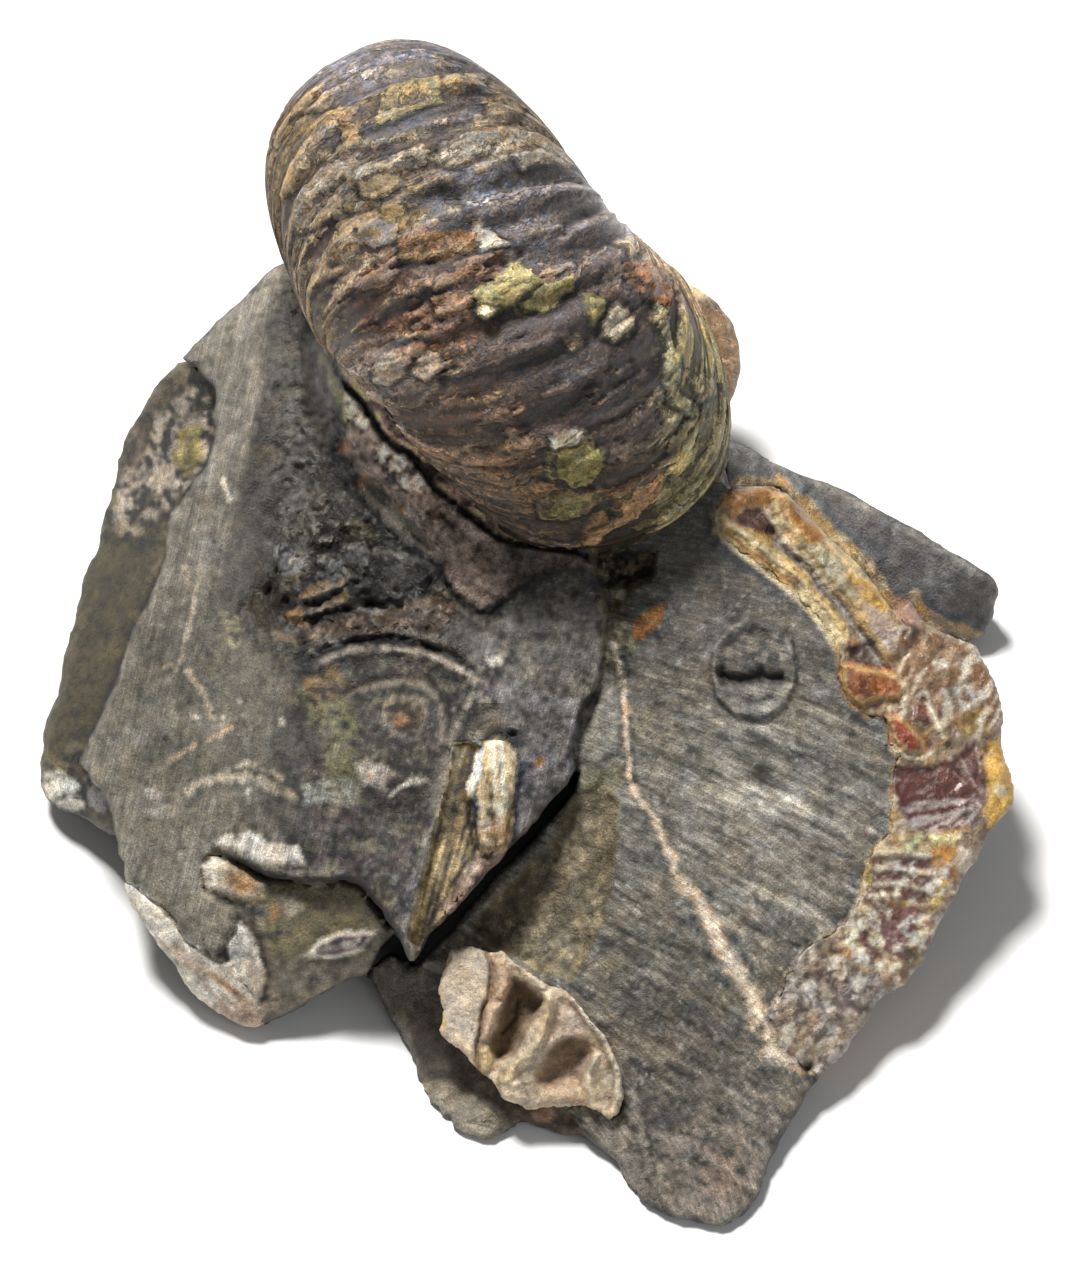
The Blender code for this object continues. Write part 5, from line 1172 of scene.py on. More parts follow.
# brown glassy parts of the two upper strips
for pts_ in ([(786, 498), (800, 504), (816, 522), (826, 540), (812, 542), (796, 524)], [(724, 500), (760, 490), (776, 494), (768, 504), (742, 507), (726, 512)],
             [(742, 556), (764, 572), (782, 590), (776, 594), (756, 578)], [(846, 572), (862, 580), (880, 600), (866, 602), (850, 588)],
             [(806, 622), (822, 640), (834, 656), (822, 652), (808, 636)]):
    D = sd(pts_, 30, 2)
    tint((0.230, 0.110, 0.040), inside(D, 5) * calc * 0.75 * step(-0.3, 0.1, rn[0] + 0.1))
stroke([(722, 516), (740, 531), (764, 550), (788, 570), (812, 594), (834, 624), (846, 646)], (0.620, 0.520, 0.360), 1.8, 0.8, wander=2)
for pts_ in ([(953, 686), (964, 712)], [(966, 684), (977, 708)], [(943, 690), (950, 708)], [(936, 668), (950, 664)], [(962, 660), (972, 672)], [(978, 690), (986, 700)]):
    stroke(pts_, (0.620, 0.570, 0.480), 3.0, 0.85, wander=1)
for yy in (862, 878, 890):
    stroke([(872, yy), (900, yy - 1), (930, yy + 4)], (0.120, 0.055, 0.045), 2.6, 0.8, wander=2)
rad_a = np.arctan2(GY - 800, GX - 985)
rad = fbm2(rad_a * 14, np.hypot(GX - 985, GY - 800) / 34, 87, 3)
D_MAR = sd(RIM_BITS[17][0], 40, 2)
tint((0.480, 0.430, 0.400), inside(D_MAR, 4) * step(0.10, 0.22, rad) * step(790, 815, GY + 0.25 * (GX - 930)) * 0.85)
tint((0.400, 0.340, 0.310), inside(D_MAR, 4) * step(0.22, 0.34, rad) * 0.8)
tint((0.620, 0.550, 0.400), 0.85 * step(7, 4, np.hypot(WX - 1000, WY - 790)))
tint((0.600, 0.500, 0.300), 0.7 * step(5, 2, np.hypot(WX - 1004, WY - 764)))
rim_low = calc * step(845, 870, GY)
sp = fbm2(GX / 6.0, GY / 6.0, 89, 3, 0.65)
sp2 = fbm2(GX / 8.0, GY / 8.0, 90, 3, 0.65)
tint((0.150, 0.085, 0.070), rim_low * step(0.08, 0.18, sp) * 0.7)
tint((0.600, 0.550, 0.460), rim_low * step(0.10, 0.20, sp2) * 0.75)
low_rim = calc * step(-20, 30, (GY - 960) - (GX - 860) * 0.9 + 40 * n_mid)
tint((0.230, 0.190, 0.160), low_rim * 0.6)
tint((0.460, 0.420, 0.360), low_rim * step(0.05, 0.16, sp2) * 0.8)
tint((0.105, 0.075, 0.060), low_rim * step(0.08, 0.18, sp) * 0.75)

lum_ = C.mean(-1, keepdims=True)
C = C + (C - lum_) * (0.10 * calc * step(940, 860, GY))[..., None]
C = np.clip(C, 0.006, 0.8)
shade(-0.14, calc)
# overall mottling and depth darkening
mott = 0.30 * n_mid + 0.50 * n_sml + 0.34 * n_fin
shade(mott, (0.75 + 0.5 * isk[0] * step(240, 300, GX)) * (1 - 0.6 * calc))
rough(0.42, isk[0] * dark_zone * 0.8)
rough(0.35, calc * step(0.0, 0.4, n_mid))

# small marks stand out from the tone round them
def blurred(A, r, times=2):
    for _ in range(times):
        for ax in (0, 1):
            A = sum(np.roll(A, j, ax) for j in range(-r, r + 1)) / (2 * r + 1)
    return A


C_soft = blurred(C, 4)
C_gain = 0.45 + 0.45 * isk[0] * step(270, 320, GX) + 0.35 * step(860, 920, GY) * isk[3] + 0.3 * isk[1] + 0.3 * isk[2]
C_gain = C_gain * (1 - 0.5 * step(95, 60, np.hypot(WX - 375, WY - 730)))
C = C + np.clip(C - C_soft, -0.5 * C_soft, 0.7 * C_soft) * (C_gain * (1 - 0.7 * calc))[..., None]
C = np.clip(C, 0.006, 0.8)

# direction of the saw-like fine lines on each block, as (along, across) in mm
ang = np.where(KIND == 3, np.radians(12.0), np.radians(-76.0))
ang = np.where(KIND == 5, np.radians(30.0), ang)
ang = np.where(KIND == 4, np.radians(35.0), ang)
ang = np.where(KIND == 1, np.radians(-25.0), ang)
gx_, gy_ = GX * UNIT, GY * UNIT
fan = np.where(KIND == 3, (GY - 760) * 0.0006, 0.0)
GR = np.stack([gx_ * np.cos(ang + fan) + gy_ * np.sin(ang + fan), -gx_ * np.sin(ang + fan) + gy_ * np.cos(ang + fan),
               np.zeros_like(gx_)], -1)
# how much each place is chipped into small flat faces
D_BROKEN = sd([(292, 470), (345, 436), (352, 470), (380, 522), (430, 556), (456, 600), (476, 650), (478, 684), (450, 690), (438, 660),
               (400, 640), (340, 644), (300, 668), (262, 640), (244, 610), (262, 560), (266, 505)], 60, 2)
CHIPS = 0.10 + 0.10 * isk[1] + 0.35 * isk[2] + 0.25 * isk[4] + 0.15 * isk[5]
CHIPS = np.maximum(CHIPS, isk[0] * step(14, -14, D_BROKEN + 10 * n_mid))
CHIPS = np.maximum(CHIPS, 0.28 * isk[0] * step(250, 330, GX))
CHIPS = np.maximum(CHIPS, 0.9 * inside(D_DEEP, 12) + 0.8 * inside(D_RUBBLE, 8))
CHIPS = np.maximum(CHIPS, 0.45 * inside(D_OLIVE, 8) + 0.45 * calc + 0.6 * inside(D_UNDER, 6))
GRIP = 0.25 + 0.6 * isk[0] * (1 - dark_zone) + 0.75 * isk[3] * (1 - calc) * (1 - inside(D_OLIVE, 6))
GRIP *= (1 - 0.9 * calc)


# ------------------------------------------------------------------ closed surfaces from fields
def nets(F):
    """Closed quads round F < 0 on a grid F[w, y, x]; positions in index units (x, y, w)."""
    ins = F < 0
    c = np.zeros(tuple(n - 1 for n in F.shape), np.int8)
    corners = [(a, b, d) for a in (0, 1) for b in (0, 1) for d in (0, 1)]
    for a, b, d in corners:
        c += ins[a:a + c.shape[0], b:b + c.shape[1], d:d + c.shape[2]]
    kz, jy, ix = np.nonzero((c > 0) & (c < 8))
    idx = np.full(c.shape, -1, np.int32)
    idx[kz, jy, ix] = np.arange(len(kz))
    pos = np.zeros((len(kz), 3))
    cnt = np.zeros(len(kz))
    edges = [(p, q) for p in corners for q in corners if p < q and sum(abs(m - n) for m, n in zip(p, q)) == 1]
    for p, q in edges:
        fa = F[kz + p[0], jy + p[1], ix + p[2]]
        fb = F[kz + q[0], jy + q[1], ix + q[2]]
        cr = (fa < 0) != (fb < 0)
        t = np.where(cr, fa / np.where(fa == fb, 1, fa - fb), 0)
        for ax, (m, n) in enumerate(((p[2], q[2]), (p[1], q[1]), (p[0], q[0]))):
            pos[:, ax] += np.where(cr, m + t * (n - m), 0)
        cnt += cr
    pos /= cnt[:, None]
    pos += np.stack([ix, jy, kz], 1)
    quads = []
    a = ins[1:-1, 1:-1, :-1]
    b = ins[1:-1, 1:-1, 1:]
    for lo in (True, False):
        k, j, i = np.nonzero((a == lo) & (b != lo))
        k, j = k + 1, j + 1
        q = np.stack([idx[k - 1, j - 1, i], idx[k - 1, j, i], idx[k, j, i], idx[k, j - 1, i]], 1)
        quads.append(q if lo else q[:, ::-1])
    a = ins[1:-1, :-1, 1:-1]
    b = ins[1:-1, 1:, 1:-1]
    for lo in (True, False):
        k, j, i = np.nonzero((a == lo) & (b != lo))
        k, i = k + 1, i + 1
        q = np.stack([idx[k - 1, j, i - 1], idx[k, j, i - 1], idx[k, j, i], idx[k - 1, j, i]], 1)
        quads.append(q if lo else q[:, ::-1])
    a = ins[:-1, 1:-1, 1:-1]
    b = ins[1:, 1:-1, 1:-1]
    for lo in (True, False):
        k, j, i = np.nonzero((a == lo) & (b != lo))
        j, i = j + 1, i + 1
        q = np.stack([idx[k, j - 1, i - 1], idx[k, j - 1, i], idx[k, j, i], idx[k, j, i - 1]], 1)
        quads.append(q if lo else q[:, ::-1])
    quads = np.concatenate(quads)
    # keep the biggest body
    lab = np.arange(len(pos))
    e = np.concatenate([quads[:, [0, 1]], quads[:, [1, 2]], quads[:, [2, 3]]])
    while True:
        m = np.minimum(lab[e[:, 0]], lab[e[:, 1]])
        new = lab.copy()
        np.minimum.at(new, e[:, 0], m)
        np.minimum.at(new, e[:, 1], m)
        new = np.minimum(new, new[new])
        new = new[new]
        if (new == lab).all():
            break
        lab = new
    big = np.bincount(lab[quads[:, 0]]).argmax()
    quads = quads[lab[quads[:, 0]] == big]
    used = np.unique(quads)
    remap = np.full(len(pos), -1)
    remap[used] = np.arange(len(used))
    # quads wind clockwise seen from outside once y runs downwards
    return pos[used], remap[quads][:, ::-1]


def refine(pos, quads, front):
    """Split each quad that lies wholly on the front three by three; neighbours take in the new edge points."""
    n = len(pos)
    sp = front[quads].all(1)
    q = quads[sp]
    a, b = q, np.roll(q, -1, 1)
    code = np.minimum(a, b).astype(np.int64) * n + np.maximum(a, b)
    uniq, inv = np.unique(code.reshape(-1), return_inverse=True)
    inv = inv.reshape(-1, 4)
    lo, hi = uniq // n, uniq % n
    along = np.stack([pos[lo] * 2 / 3 + pos[hi] / 3, pos[lo] / 3 + pos[hi] * 2 / 3], 1).reshape(-1, 3)
    fwd = (a < b).astype(int)
    e1 = n + 2 * inv + (1 - fwd)          # the edge point nearer its first corner
    e2 = n + 2 * inv + fwd
    base = n + len(along)
    inner = base + 4 * np.arange(len(q))[:, None] + np.arange(4)[None]
    p = pos[q]
    mids = []
    for u, v in ((1 / 3, 1 / 3), (2 / 3, 1 / 3), (2 / 3, 2 / 3), (1 / 3, 2 / 3)):
        mids.append(p[:, 0] * (1 - u) * (1 - v) + p[:, 1] * u * (1 - v) + p[:, 2] * u * v + p[:, 3] * (1 - u) * v)
    allpos = np.concatenate([pos, along, np.stack(mids, 1).reshape(-1, 3)])
    g = {(0, 0): q[:, 0], (3, 0): q[:, 1], (3, 3): q[:, 2], (0, 3): q[:, 3],
         (1, 0): e1[:, 0], (2, 0): e2[:, 0], (3, 1): e1[:, 1], (3, 2): e2[:, 1],
         (2, 3): e1[:, 2], (1, 3): e2[:, 2], (0, 2): e1[:, 3], (0, 1): e2[:, 3],
         (1, 1): inner[:, 0], (2, 1): inner[:, 1], (2, 2): inner[:, 2], (1, 2): inner[:, 3]}
    small = np.concatenate([np.stack([g[i, j], g[i + 1, j], g[i + 1, j + 1], g[i, j + 1]], 1)
                            for i in range(3) for j in range(3)])
    rest = quads[~sp]
    a, b = rest, np.roll(rest, -1, 1)
    code = np.minimum(a, b).astype(np.int64) * n + np.maximum(a, b)
    at = np.clip(np.searchsorted(uniq, code), 0, len(uniq) - 1)
    hit = uniq[at] == code
    plain = rest[~hit.any(1)]
    odd = []
    for r, h, t in zip(rest[hit.any(1)], hit[hit.any(1)], at[hit.any(1)]):
        f = []
        for k in range(4):
            f.append(int(r[k]))
            if h[k]:
                first = n + 2 * int(t[k])
                f += [first, first + 1] if r[k] < r[(k + 1) % 4] else [first + 1, first]
        odd.append(f)
    new = np.zeros(len(allpos), bool)
    new[n:] = True
    return allpos, np.concatenate([small, plain]), odd, new


def make_mesh(name, verts, quads, odd=(), smooth=True):
    """verts in metres, row frame."""
    me = bpy.data.meshes.new(name)
    flat = np.concatenate([quads.reshape(-1)] + [np.asarray(f) for f in odd]).astype(np.int32)
    total = np.concatenate([np.full(len(quads), quads.shape[1]), np.array([len(f) for f in odd], int)]).astype(np.int32)
    start = np.concatenate([[0], np.cumsum(total)[:-1]]).astype(np.int32)
    me.vertices.add(len(verts))
    me.vertices.foreach_set("co", verts.astype(np.float32).reshape(-1))
    me.loops.add(len(flat))
    me.loops.foreach_set("vertex_index", flat)
    me.polygons.add(len(total))
    me.polygons.foreach_set("loop_start", start)
    me.polygons.foreach_set("loop_total", total)
    me.polygons.foreach_set("use_smooth", np.full(len(total), smooth))
    me.update(calc_edges=True)
    ob = bpy.data.objects.new(name, me)
    bpy.context.scene.collection.objects.link(ob)
    return ob


def colours(ob, col, gloss, grain, grip, chip=0.3):
    me = ob.data
    n = len(me.vertices)
    a = me.attributes.new("tint", 'FLOAT_COLOR', 'POINT')
    rgba = np.ones((n, 4), np.float32)
    rgba[:, :3] = col
    a.data.foreach_set("color", rgba.reshape(-1))
    a = me.attributes.new("grain", 'FLOAT_VECTOR', 'POINT')
    g = np.zeros((n, 3), np.float32)
    g[:] = grain
    a.data.foreach_set("vector", g.reshape(-1))
    a = me.attributes.new("finish", 'FLOAT_VECTOR', 'POINT')
    f = np.zeros((n, 3), np.float32)
    f[:, 0], f[:, 1], f[:, 2] = gloss, grip, chip
    a.data.foreach_set("vector", f.reshape(-1))


def to_row(P):
    return (P + SHIFT) * 0.001


def broken_colour(P):
    """Weathered and broken stone away from the front, from place in the block."""
    a = fbm3(P, 14.0, 3, 4)
    b = fbm3(P, 5.0, 9, 4)
    c = fbm3(P, 1.4, 15, 3)
    col = np.array([0.110, 0.098, 0.078])[None] * (1 + 0.35 * a + 0.3 * b + 0.25 * c)[:, None]
    m = step(0.12, 0.42, fbm3(P, 9.0, 21, 4))[:, None] * 0.6
    col = col * (1 - m) + np.array([0.125, 0.103, 0.055]) * m
    m = step(0.22, 0.5, fbm3(P, 6.0, 27, 4))[:, None] * 0.55
    col = col * (1 - m) + np.array([0.170, 0.110, 0.060]) * m
    m = step(0.20, 0.45, fbm3(P, 11.0, 33, 3))[:, None] * 0.5
    return col * (1 - m) + np.array([0.200, 0.182, 0.150]) * m


# ------------------------------------------------------------------ rough hulls behind the front
def hull_planes(face, feet):
    bm = bmesh.new()
    for p in face:
        bm.verts.new(Vector(lay(p)))
    for p in feet:
        bm.verts.new(Vector(p))
    bmesh.ops.convex_hull(bm, input=bm.verts)
    bmesh.ops.delete(bm, geom=[v for v in bm.verts if not v.link_faces], context='VERTS')
    bmesh.ops.recalc_face_normals(bm, faces=bm.faces)
    bm.normal_update()
    out = []
    for f in bm.faces:
        n = np.array(f.normal)
        d = float(n @ np.array(f.verts[0].co))
        if n[2] < -0.6:
            continue
        if not any(abs(n @ m - 1) < 1e-4 and abs(d - q) < 0.05 for m, q in out):
            out.append((n, d))
    bm.free()
    return out


HULLS = {
    "left": ([(-26.5, 38.5, -19), (-20.5, 19.0, -7), (-30.0, 14.0, -8.5), (5.5, 7.5, 2), (7.0, 3.5, 3), (7.0, -2.0, 3),
              (5.5, -6.0, 4), (4.5, -13.0, 5), (1.0, -17.0, 6.5), (-4.5, -23.0, 9), (-10.0, -29.5, 10), (-12.0, -32.5, 9),
              (-15.0, -29.0, 6), (-23.5, -36.5, -1.4), (-28.5, -39.0, -3.5), (-31.0, -37.0, -1), (-37.5, -27.0, -0.5),
              (-41.0, -24.5, -1.5), (-41.5, -21.0, -2), (-43.0, -15.5, -4), (-46.0, -12.5, -6), (-40.0, 2.5, -8),
              (-34.5, 15.5, -11), (-32.5, 21.5, -14), (-37.0, 29.0, -22)],
             [(-24, 41, 0), (-38, 34, 0), (-42, 12, 0), (-44, -2, 0), (-38, -14, 0), (-30, -27, 0), (-20, -26, 0),
              (-10, -20, 0), (4, -12, 0), (8, 4, 0), (4, 36, 0)]),
    "side": ([(-31.0, 35.5, -24), (-37.5, 29.0, -27), (-43.5, 22.0, -31), (-45.5, 13.0, -29), (-47.0, 8.0, -27),
              (-49.5, -2.5, -22), (-51.0, -10.0, -19), (-51.0, -15.5, -17), (-49.0, -18.0, -16), (-45.5, -19.0, -14),
              (-42.0, -21.5, -8), (-39.0, -4.0, -9), (-35.0, 14.0, -13), (-33.0, 22.0, -16)],
             [(-26, 39, 0), (-38, 34, 0), (-42, 24, 0), (-43, 16, 0), (-47, 4, 0), (-48, -2, 0), (-44, -9, 0), (-38, -12, 0)]),
    "right": ([(7.0, 3.5, 2), (10.5, 1.0, 1), (15.5, 8.0, -1), (18.5, 14.0, -2.6), (26, 15.0, -5), (36, 5.6, -5.6),
               (44.2, 0.0, -6), (48.0, -8.8, -6.6), (49.0, -18.0, -5), (46.4, -23.0, -3.4), (41.0, -33.0, -1.6),
               (35.2, -37.0, -0.4), (31.6, -41.0, 0.8), (28.3, -43.2, 2), (24.5, -49.5, 4.6), (22.5, -55.5, 6),
               (21.0, -58.0, 6), (18.5, -58.5, 6), (14.5, -57.5, 5), (11.5, -55.5, 4.6), (8.5, -52.5, 3.6),
               (6.5, -49.0, 3.6), (4.5, -13.5, 3)],
              [(12, -46, 0), (19, -50, 0), (26, -42, 0), (31, -33, 0), (42, -16, 0), (44, -4, 0), (34, 12, 0), (20, 20, 0),
               (6, 16, 0), (2, -30, 0)]),
    "apron": ([(-17.0, -34.5, -6), (-14.2, -33.0, -3.5), (-13.5, -43.5, -4), (-12.0, -46.5, -2), (-9.5, -49.0, -1),
               (-5.0, -51.5, 1), (2.0, -50.5, 1), (6.5, -52.0, 2), (9.0, -55.0, 3), (12.0, -40.0, 4), (8.0, -20.0, 3.5),
               (4.5, -15.0, 3), (-1.0, -20.5, 3.6), (-6.0, -26.0, 3.4), (-10.0, -31.0, 2.6)],
              [(-14, -26, 0), (-12, -35, 0), (-5, -41, 0), (6, -40, 0), (14, -46, 0), (14, -20, 0), (0, -12, 0)]),
    "wedge": ([(18.0, 22.0, -30), (24.5, 20.5, -29), (32.5, 17.0, -28), (43.0, 10.5, -27), (49.0, 6.0, -27),
               (49.6, 4.6, -28.4), (47.6, -1.5, -31), (43.0, -3.0, -30), (34.0, 4.0, -20), (22.0, 10.0, -16)],
              [(18, 34, 0), (30, 31, 0), (46, 20, 0), (45, 13, 0), (34, 4, 0), (10, 14, 0)]),
    "bed": ([(-26.5, 38.0, -20), (-21.0, 19.0, -8.4), (5.5, 7.5, 0), (14.0, 6.0, -1), (19.0, 13.0, -6), (21.0, 22.0, -27),
             (18.5, 30.5, -37), (2.0, 37.0, -36), (-16.0, 41.0, -30)],
            [(-26, 40, 0), (-12, 48, 0), (6, 50, 0), (18, 46, 0), (22, 36, 0), (22, 20, 0), (4, 4, 0), (-20, 10, 0)]),
}
GROW = {"left": 2.6, "side": 1.6, "right": 2.4, "apron": 2.0, "wedge": 1.4, "bed": 0.2}

STRIDE = 3
cx_, cy_ = xs[::STRIDE], ys[::STRIDE]
DW = 0.3 * STRIDE
W0 = -58.0
ws = W0 + DW * np.arange(int(76.0 / DW))
K_ = (1 - ws / DIST).astype(np.float32)[:, None, None]
A_ = ((cx_ - CX) * UNIT).astype(np.float32)[None, None, :]
B_ = ((CY - cy_) * UNIT).astype(np.float32)[None, :, None]
Wc = ws.astype(np.float32)[:, None, None]
shape = (len(ws), len(cy_), len(cx_))


def coarse(A):
    return A[::STRIDE, ::STRIDE].astype(np.float32)[None]


hull = np.full(shape, 30.0, np.float32)
for key, (face, feet) in HULLS.items():
    one = np.full(shape, -30.0, np.float32)
    for n, d in hull_planes(face, feet):
        row = (A_ * np.float32(n @ AU) + B_ * np.float32(n @ AV))
        np.maximum(one, row * K_ + (Wc * np.float32(n @ AW) + np.float32(n @ TARGET - d)), out=one)
    hull = np.minimum(hull, one - GROW[key])
del one

# world place of each node, for the rough break of the hidden sides
px3 = A_ * K_
py3 = B_ * K_
X3 = (px3 + 0 * py3).astype(np.float32)
Y3 = (TARGET[1] + py3 * AV[1] + Wc * AW[1] + 0 * px3).astype(np.float32)
Z3 = (TARGET[2] + py3 * AV[2] + Wc * AW[2] + 0 * px3).astype(np.float32)
shell = np.abs(hull) < 4.0
P = np.stack([X3[shell], Y3[shell], Z3[shell]], -1).astype(np.float64)
facets = np.abs(fbm3(P, 17.0, 41, 2)) * 3.0 + 1.1 * fbm3(P, 7.0, 47, 3) + 0.45 * np.abs(fbm3(P, 2.6, 53, 2))
hull[shell] += (facets * 0.9 - 0.3).astype(np.float32)
hull -= coarse(9.0 * step(48, 18, d_con) * step(0.10, 0.2, al_con) + 4.0 * step(30, 10, d_con))

front = np.full(shape, 60.0, np.float32)
for name, W, D in REGIONS:
    front = np.minimum(front, np.maximum(Wc - coarse(W), coarse(D) * np.float32(UNIT)))
back = coarse(np.where(FRONT < -60, -60, FRONT)) - Wc
sil = coarse(D_SIL) * np.float32(UNIT) + 0.22 * np.clip(back - 1.0, 0, 16)
F = np.maximum(np.maximum(front, hull), sil)
del front, sil


def cut(F, D, floor_w, grow=0.0):
    """Take away what lies inside an outline and nearer than floor_w."""
    return np.maximum(F, -np.maximum(coarse(D) * np.float32(UNIT) + grow, coarse(floor_w) - Wc))


F = cut(F, D_CRACK, W_RIGHT * 0 - 9.0)
F = cut(F, D_RIM, W_RIGHT - 5.0, 0.3)
F = cut(F, D_CHAM, W_CHAM - 4.0, 0.35)
F = cut(F, D_FSPL, W_LEFT - 3.0, 0.35)
F = cut(F, D_BANDP, W_LOW - 1.6, 0.3)
ground_z = 1.0
F = np.maximum(F, ground_z - Z3)
F[0], F[-1], F[:, 0], F[:, -1], F[:, :, 0], F[:, :, -1] = 9, 9, 9, 9, 9, 9

pos, quads = nets(F)
del X3, Y3, Z3, hull, F, back
pos = np.stack([GX0 + pos[:, 0] * H * STRIDE, GY0 + pos[:, 1] * H * STRIDE, W0 + pos[:, 2] * DW], 1)

FIELDS = [(W, D) for _, W, D in REGIONS]


def snap(p, fields, reach=0.55):
    """Put points that lie close to a region's face exactly on it."""
    best = np.full(len(p), reach)
    w = p[:, 2].copy()
    on = np.zeros(len(p), bool)
    for W, D in fields:
        v = sample(W, p[:, 0], p[:, 1])
        d = sample(D, p[:, 0], p[:, 1])
        e = np.abs(p[:, 2] - v)
        ok = (d < -1.5) & (e < best)
        w = np.where(ok, v, w)
        best = np.where(ok, e, best)
        on |= ok
    q = p.copy()
    q[:, 2] = w
    return q, on


def finish_piece(name, p, quads, odd, on, sag=None):
    """Mesh with its colours: drawn ones on the front, broken stone elsewhere."""
    P = world(p[:, 0], p[:, 1], p[:, 2])
    ob = make_mesh(name, to_row(P), quads, odd)
    col = sample(C, p[:, 0], p[:, 1])
    dep = sample(FRONT_ALL, p[:, 0], p[:, 1]) - p[:, 2]
    far = np.clip(step(0.25, 1.6, dep), 0, 1)
    far = np.where(on, step(3.0, 5.0, dep) * (p[:, 0] > 560), far)[:, None]
    alt = sag(P) if sag else broken_colour(P)
    col = col * (1 - far) + alt * far
    gl = sample(GLOSS, p[:, 0], p[:, 1]) * (1 - far[:, 0]) + 0.6 * far[:, 0]
    grip = sample(GRIP, p[:, 0], p[:, 1]) * (1 - far[:, 0])
    chip = sample(CHIPS, p[:, 0], p[:, 1]) * (1 - far[:, 0]) + 0.8 * far[:, 0]
    colours(ob, col, gl, sample(GR, p[:, 0], p[:, 1]), grip, chip)
    return ob


FRONT_ALL = np.where(FRONT < -60, -8.0, FRONT)
pos, on = snap(pos, FIELDS)
# what the inlays and the big coil hide stays coarse
hid = np.minimum(np.minimum(sample(D_RIM, pos[:, 0], pos[:, 1]), sample(D_CHAM, pos[:, 0], pos[:, 1])),
                 np.minimum(sample(D_FSPL, pos[:, 0], pos[:, 1]), sample(D_BANDP, pos[:, 0], pos[:, 1]))) < -6
hid |= sample(COIL_W, pos[:, 0], pos[:, 1]) > pos[:, 2] + 3
hid |= (sample(FRONT_ALL, pos[:, 0], pos[:, 1]) - pos[:, 2] > 2.5) & (pos[:, 0] > 560)
pos, quads, odd, new = refine(pos, quads, on & ~hid)
moved, on2 = snap(pos, FIELDS, 0.9)
pos[new] = moved[new]
on = np.where(new, on2, np.concatenate([on, np.zeros(len(pos) - len(on), bool)]))

# three pieces, parted behind the front, along the crack's line and round the left-hand face
def part_of(c, face):
    kx = np.clip(np.rint((c[:, 0] - GX0) / H).astype(int), 0, GX.shape[1] - 1)
    ky = np.clip(np.rint((c[:, 1] - GY0) / H).astype(int), 0, GX.shape[0] - 1)
    return np.where(c[:, 0] > 590, 1, np.where((KIND[ky, kx] == 0) & face, 0, 2))


q_part = part_of(pos[quads].mean(1), on[quads].all(1))
o_part = part_of(np.array([pos[f].mean(0) for f in odd]), np.array([on[f].all() for f in odd])) if odd else np.zeros(0, int)
halves = []
for i_, nm in enumerate(("stone_left", "stone_right", "stone_low")):
    q = quads[q_part == i_]
    o = [f for f, k_ in zip(odd, o_part) if k_ == i_]
    used = np.unique(np.concatenate([q.reshape(-1)] + [np.asarray(f) for f in o]))
    remap = np.full(len(pos), -1)
    remap[used] = np.arange(len(used))
    ob = finish_piece(nm, pos[used], remap[q], [[int(remap[i]) for i in f] for f in o], on[used])
    halves.append(ob)


# ------------------------------------------------------------------ shell parts set in the stone
def inlay(name, W, D, depth, box, hstep=3.0, wstep=0.35, taper=0.12, sag=None, lift=0.03, extra=None):
    """Closed piece under one outline: front from W, back depth mm behind it."""
    x = np.arange(box[0], box[2], hstep)
    y = np.arange(box[1], box[3], hstep)
    X, Y = np.meshgrid(x, y)
    w2, d2 = sample(W, X, Y), sample(D, X, Y)
    m = d2 < 8
    lo, hi = w2[m].min() - depth - 1.5, w2[m].max() + 1.5
    z = np.arange(lo, hi, wstep)
    under = w2[None] - z[:, None, None]
    f = np.maximum(-under, (d2[None] * UNIT) + taper * np.clip(under, 0, 99))
    f = np.maximum(f, under - depth - 0.5 * fbm2(X / 25, Y / 25, 95, 2)[None])
    if extra is not None:
        f = extra(f, X, Y, z)
    f[0], f[-1], f[:, 0], f[:, -1], f[:, :, 0], f[:, :, -1] = 9, 9, 9, 9, 9, 9
    p, q = nets(f.astype(np.float32))
    p = np.stack([box[0] + p[:, 0] * hstep, box[1] + p[:, 1] * hstep, lo + p[:, 2] * wstep], 1)
    p, on_ = snap(p, [(W, D)], 0.5)
    p[:, 2] += lift
    return finish_piece(name, p, q, [], on_, sag)


def amber_side(P):
    a = fbm3(P, 3.0, 61, 3)
    b = fbm3(P * np.array([1, 1, 0.4]), 1.2, 63, 3)
    col = np.array([0.330, 0.200, 0.085])[None] * (1 + 0.5 * a + 0.4 * b)[:, None]
    m = step(0.05, 0.4, fbm3(P, 4.0, 65, 3))[:, None] * 0.7
    col = col * (1 - m) + np.array([0.470, 0.390, 0.270]) * m
    m = step(0.15, 0.45, fbm3(P, 5.0, 67, 3))[:, None] * 0.7
    return np.clip(col * (1 - m) + np.array([0.130, 0.065, 0.035]) * m, 0.01, 0.9)


def cream_side(P):
    a = fbm3(P, 2.0, 69, 3)
    col = np.array([0.420, 0.350, 0.250])[None] * (1 + 0.35 * a)[:, None]
    m = step(0.1, 0.4, fbm3(P, 3.0, 71, 3))[:, None] * 0.5
    return np.clip(col * (1 - m) + np.array([0.200, 0.130, 0.080]) * m, 0.01, 0.9)


rim = inlay("calcite_rim_shell", W_RIGHT, np.maximum(D_RIM, D_RIGHT), 6.5, (690, 460, 1036, 1096), hstep=2.0, wstep=0.3, sag=amber_side)
splinter = inlay("splinter_shell", W_LEFT, D_FSPL, 5.2, (396, 728, 530, 966), hstep=2.5, sag=cream_side)
band = inlay("band_shell", W_LOW, np.maximum(D_BANDP, D_LOW), 2.4, (108, 866, 276, 1046), hstep=2.5, sag=cream_side)

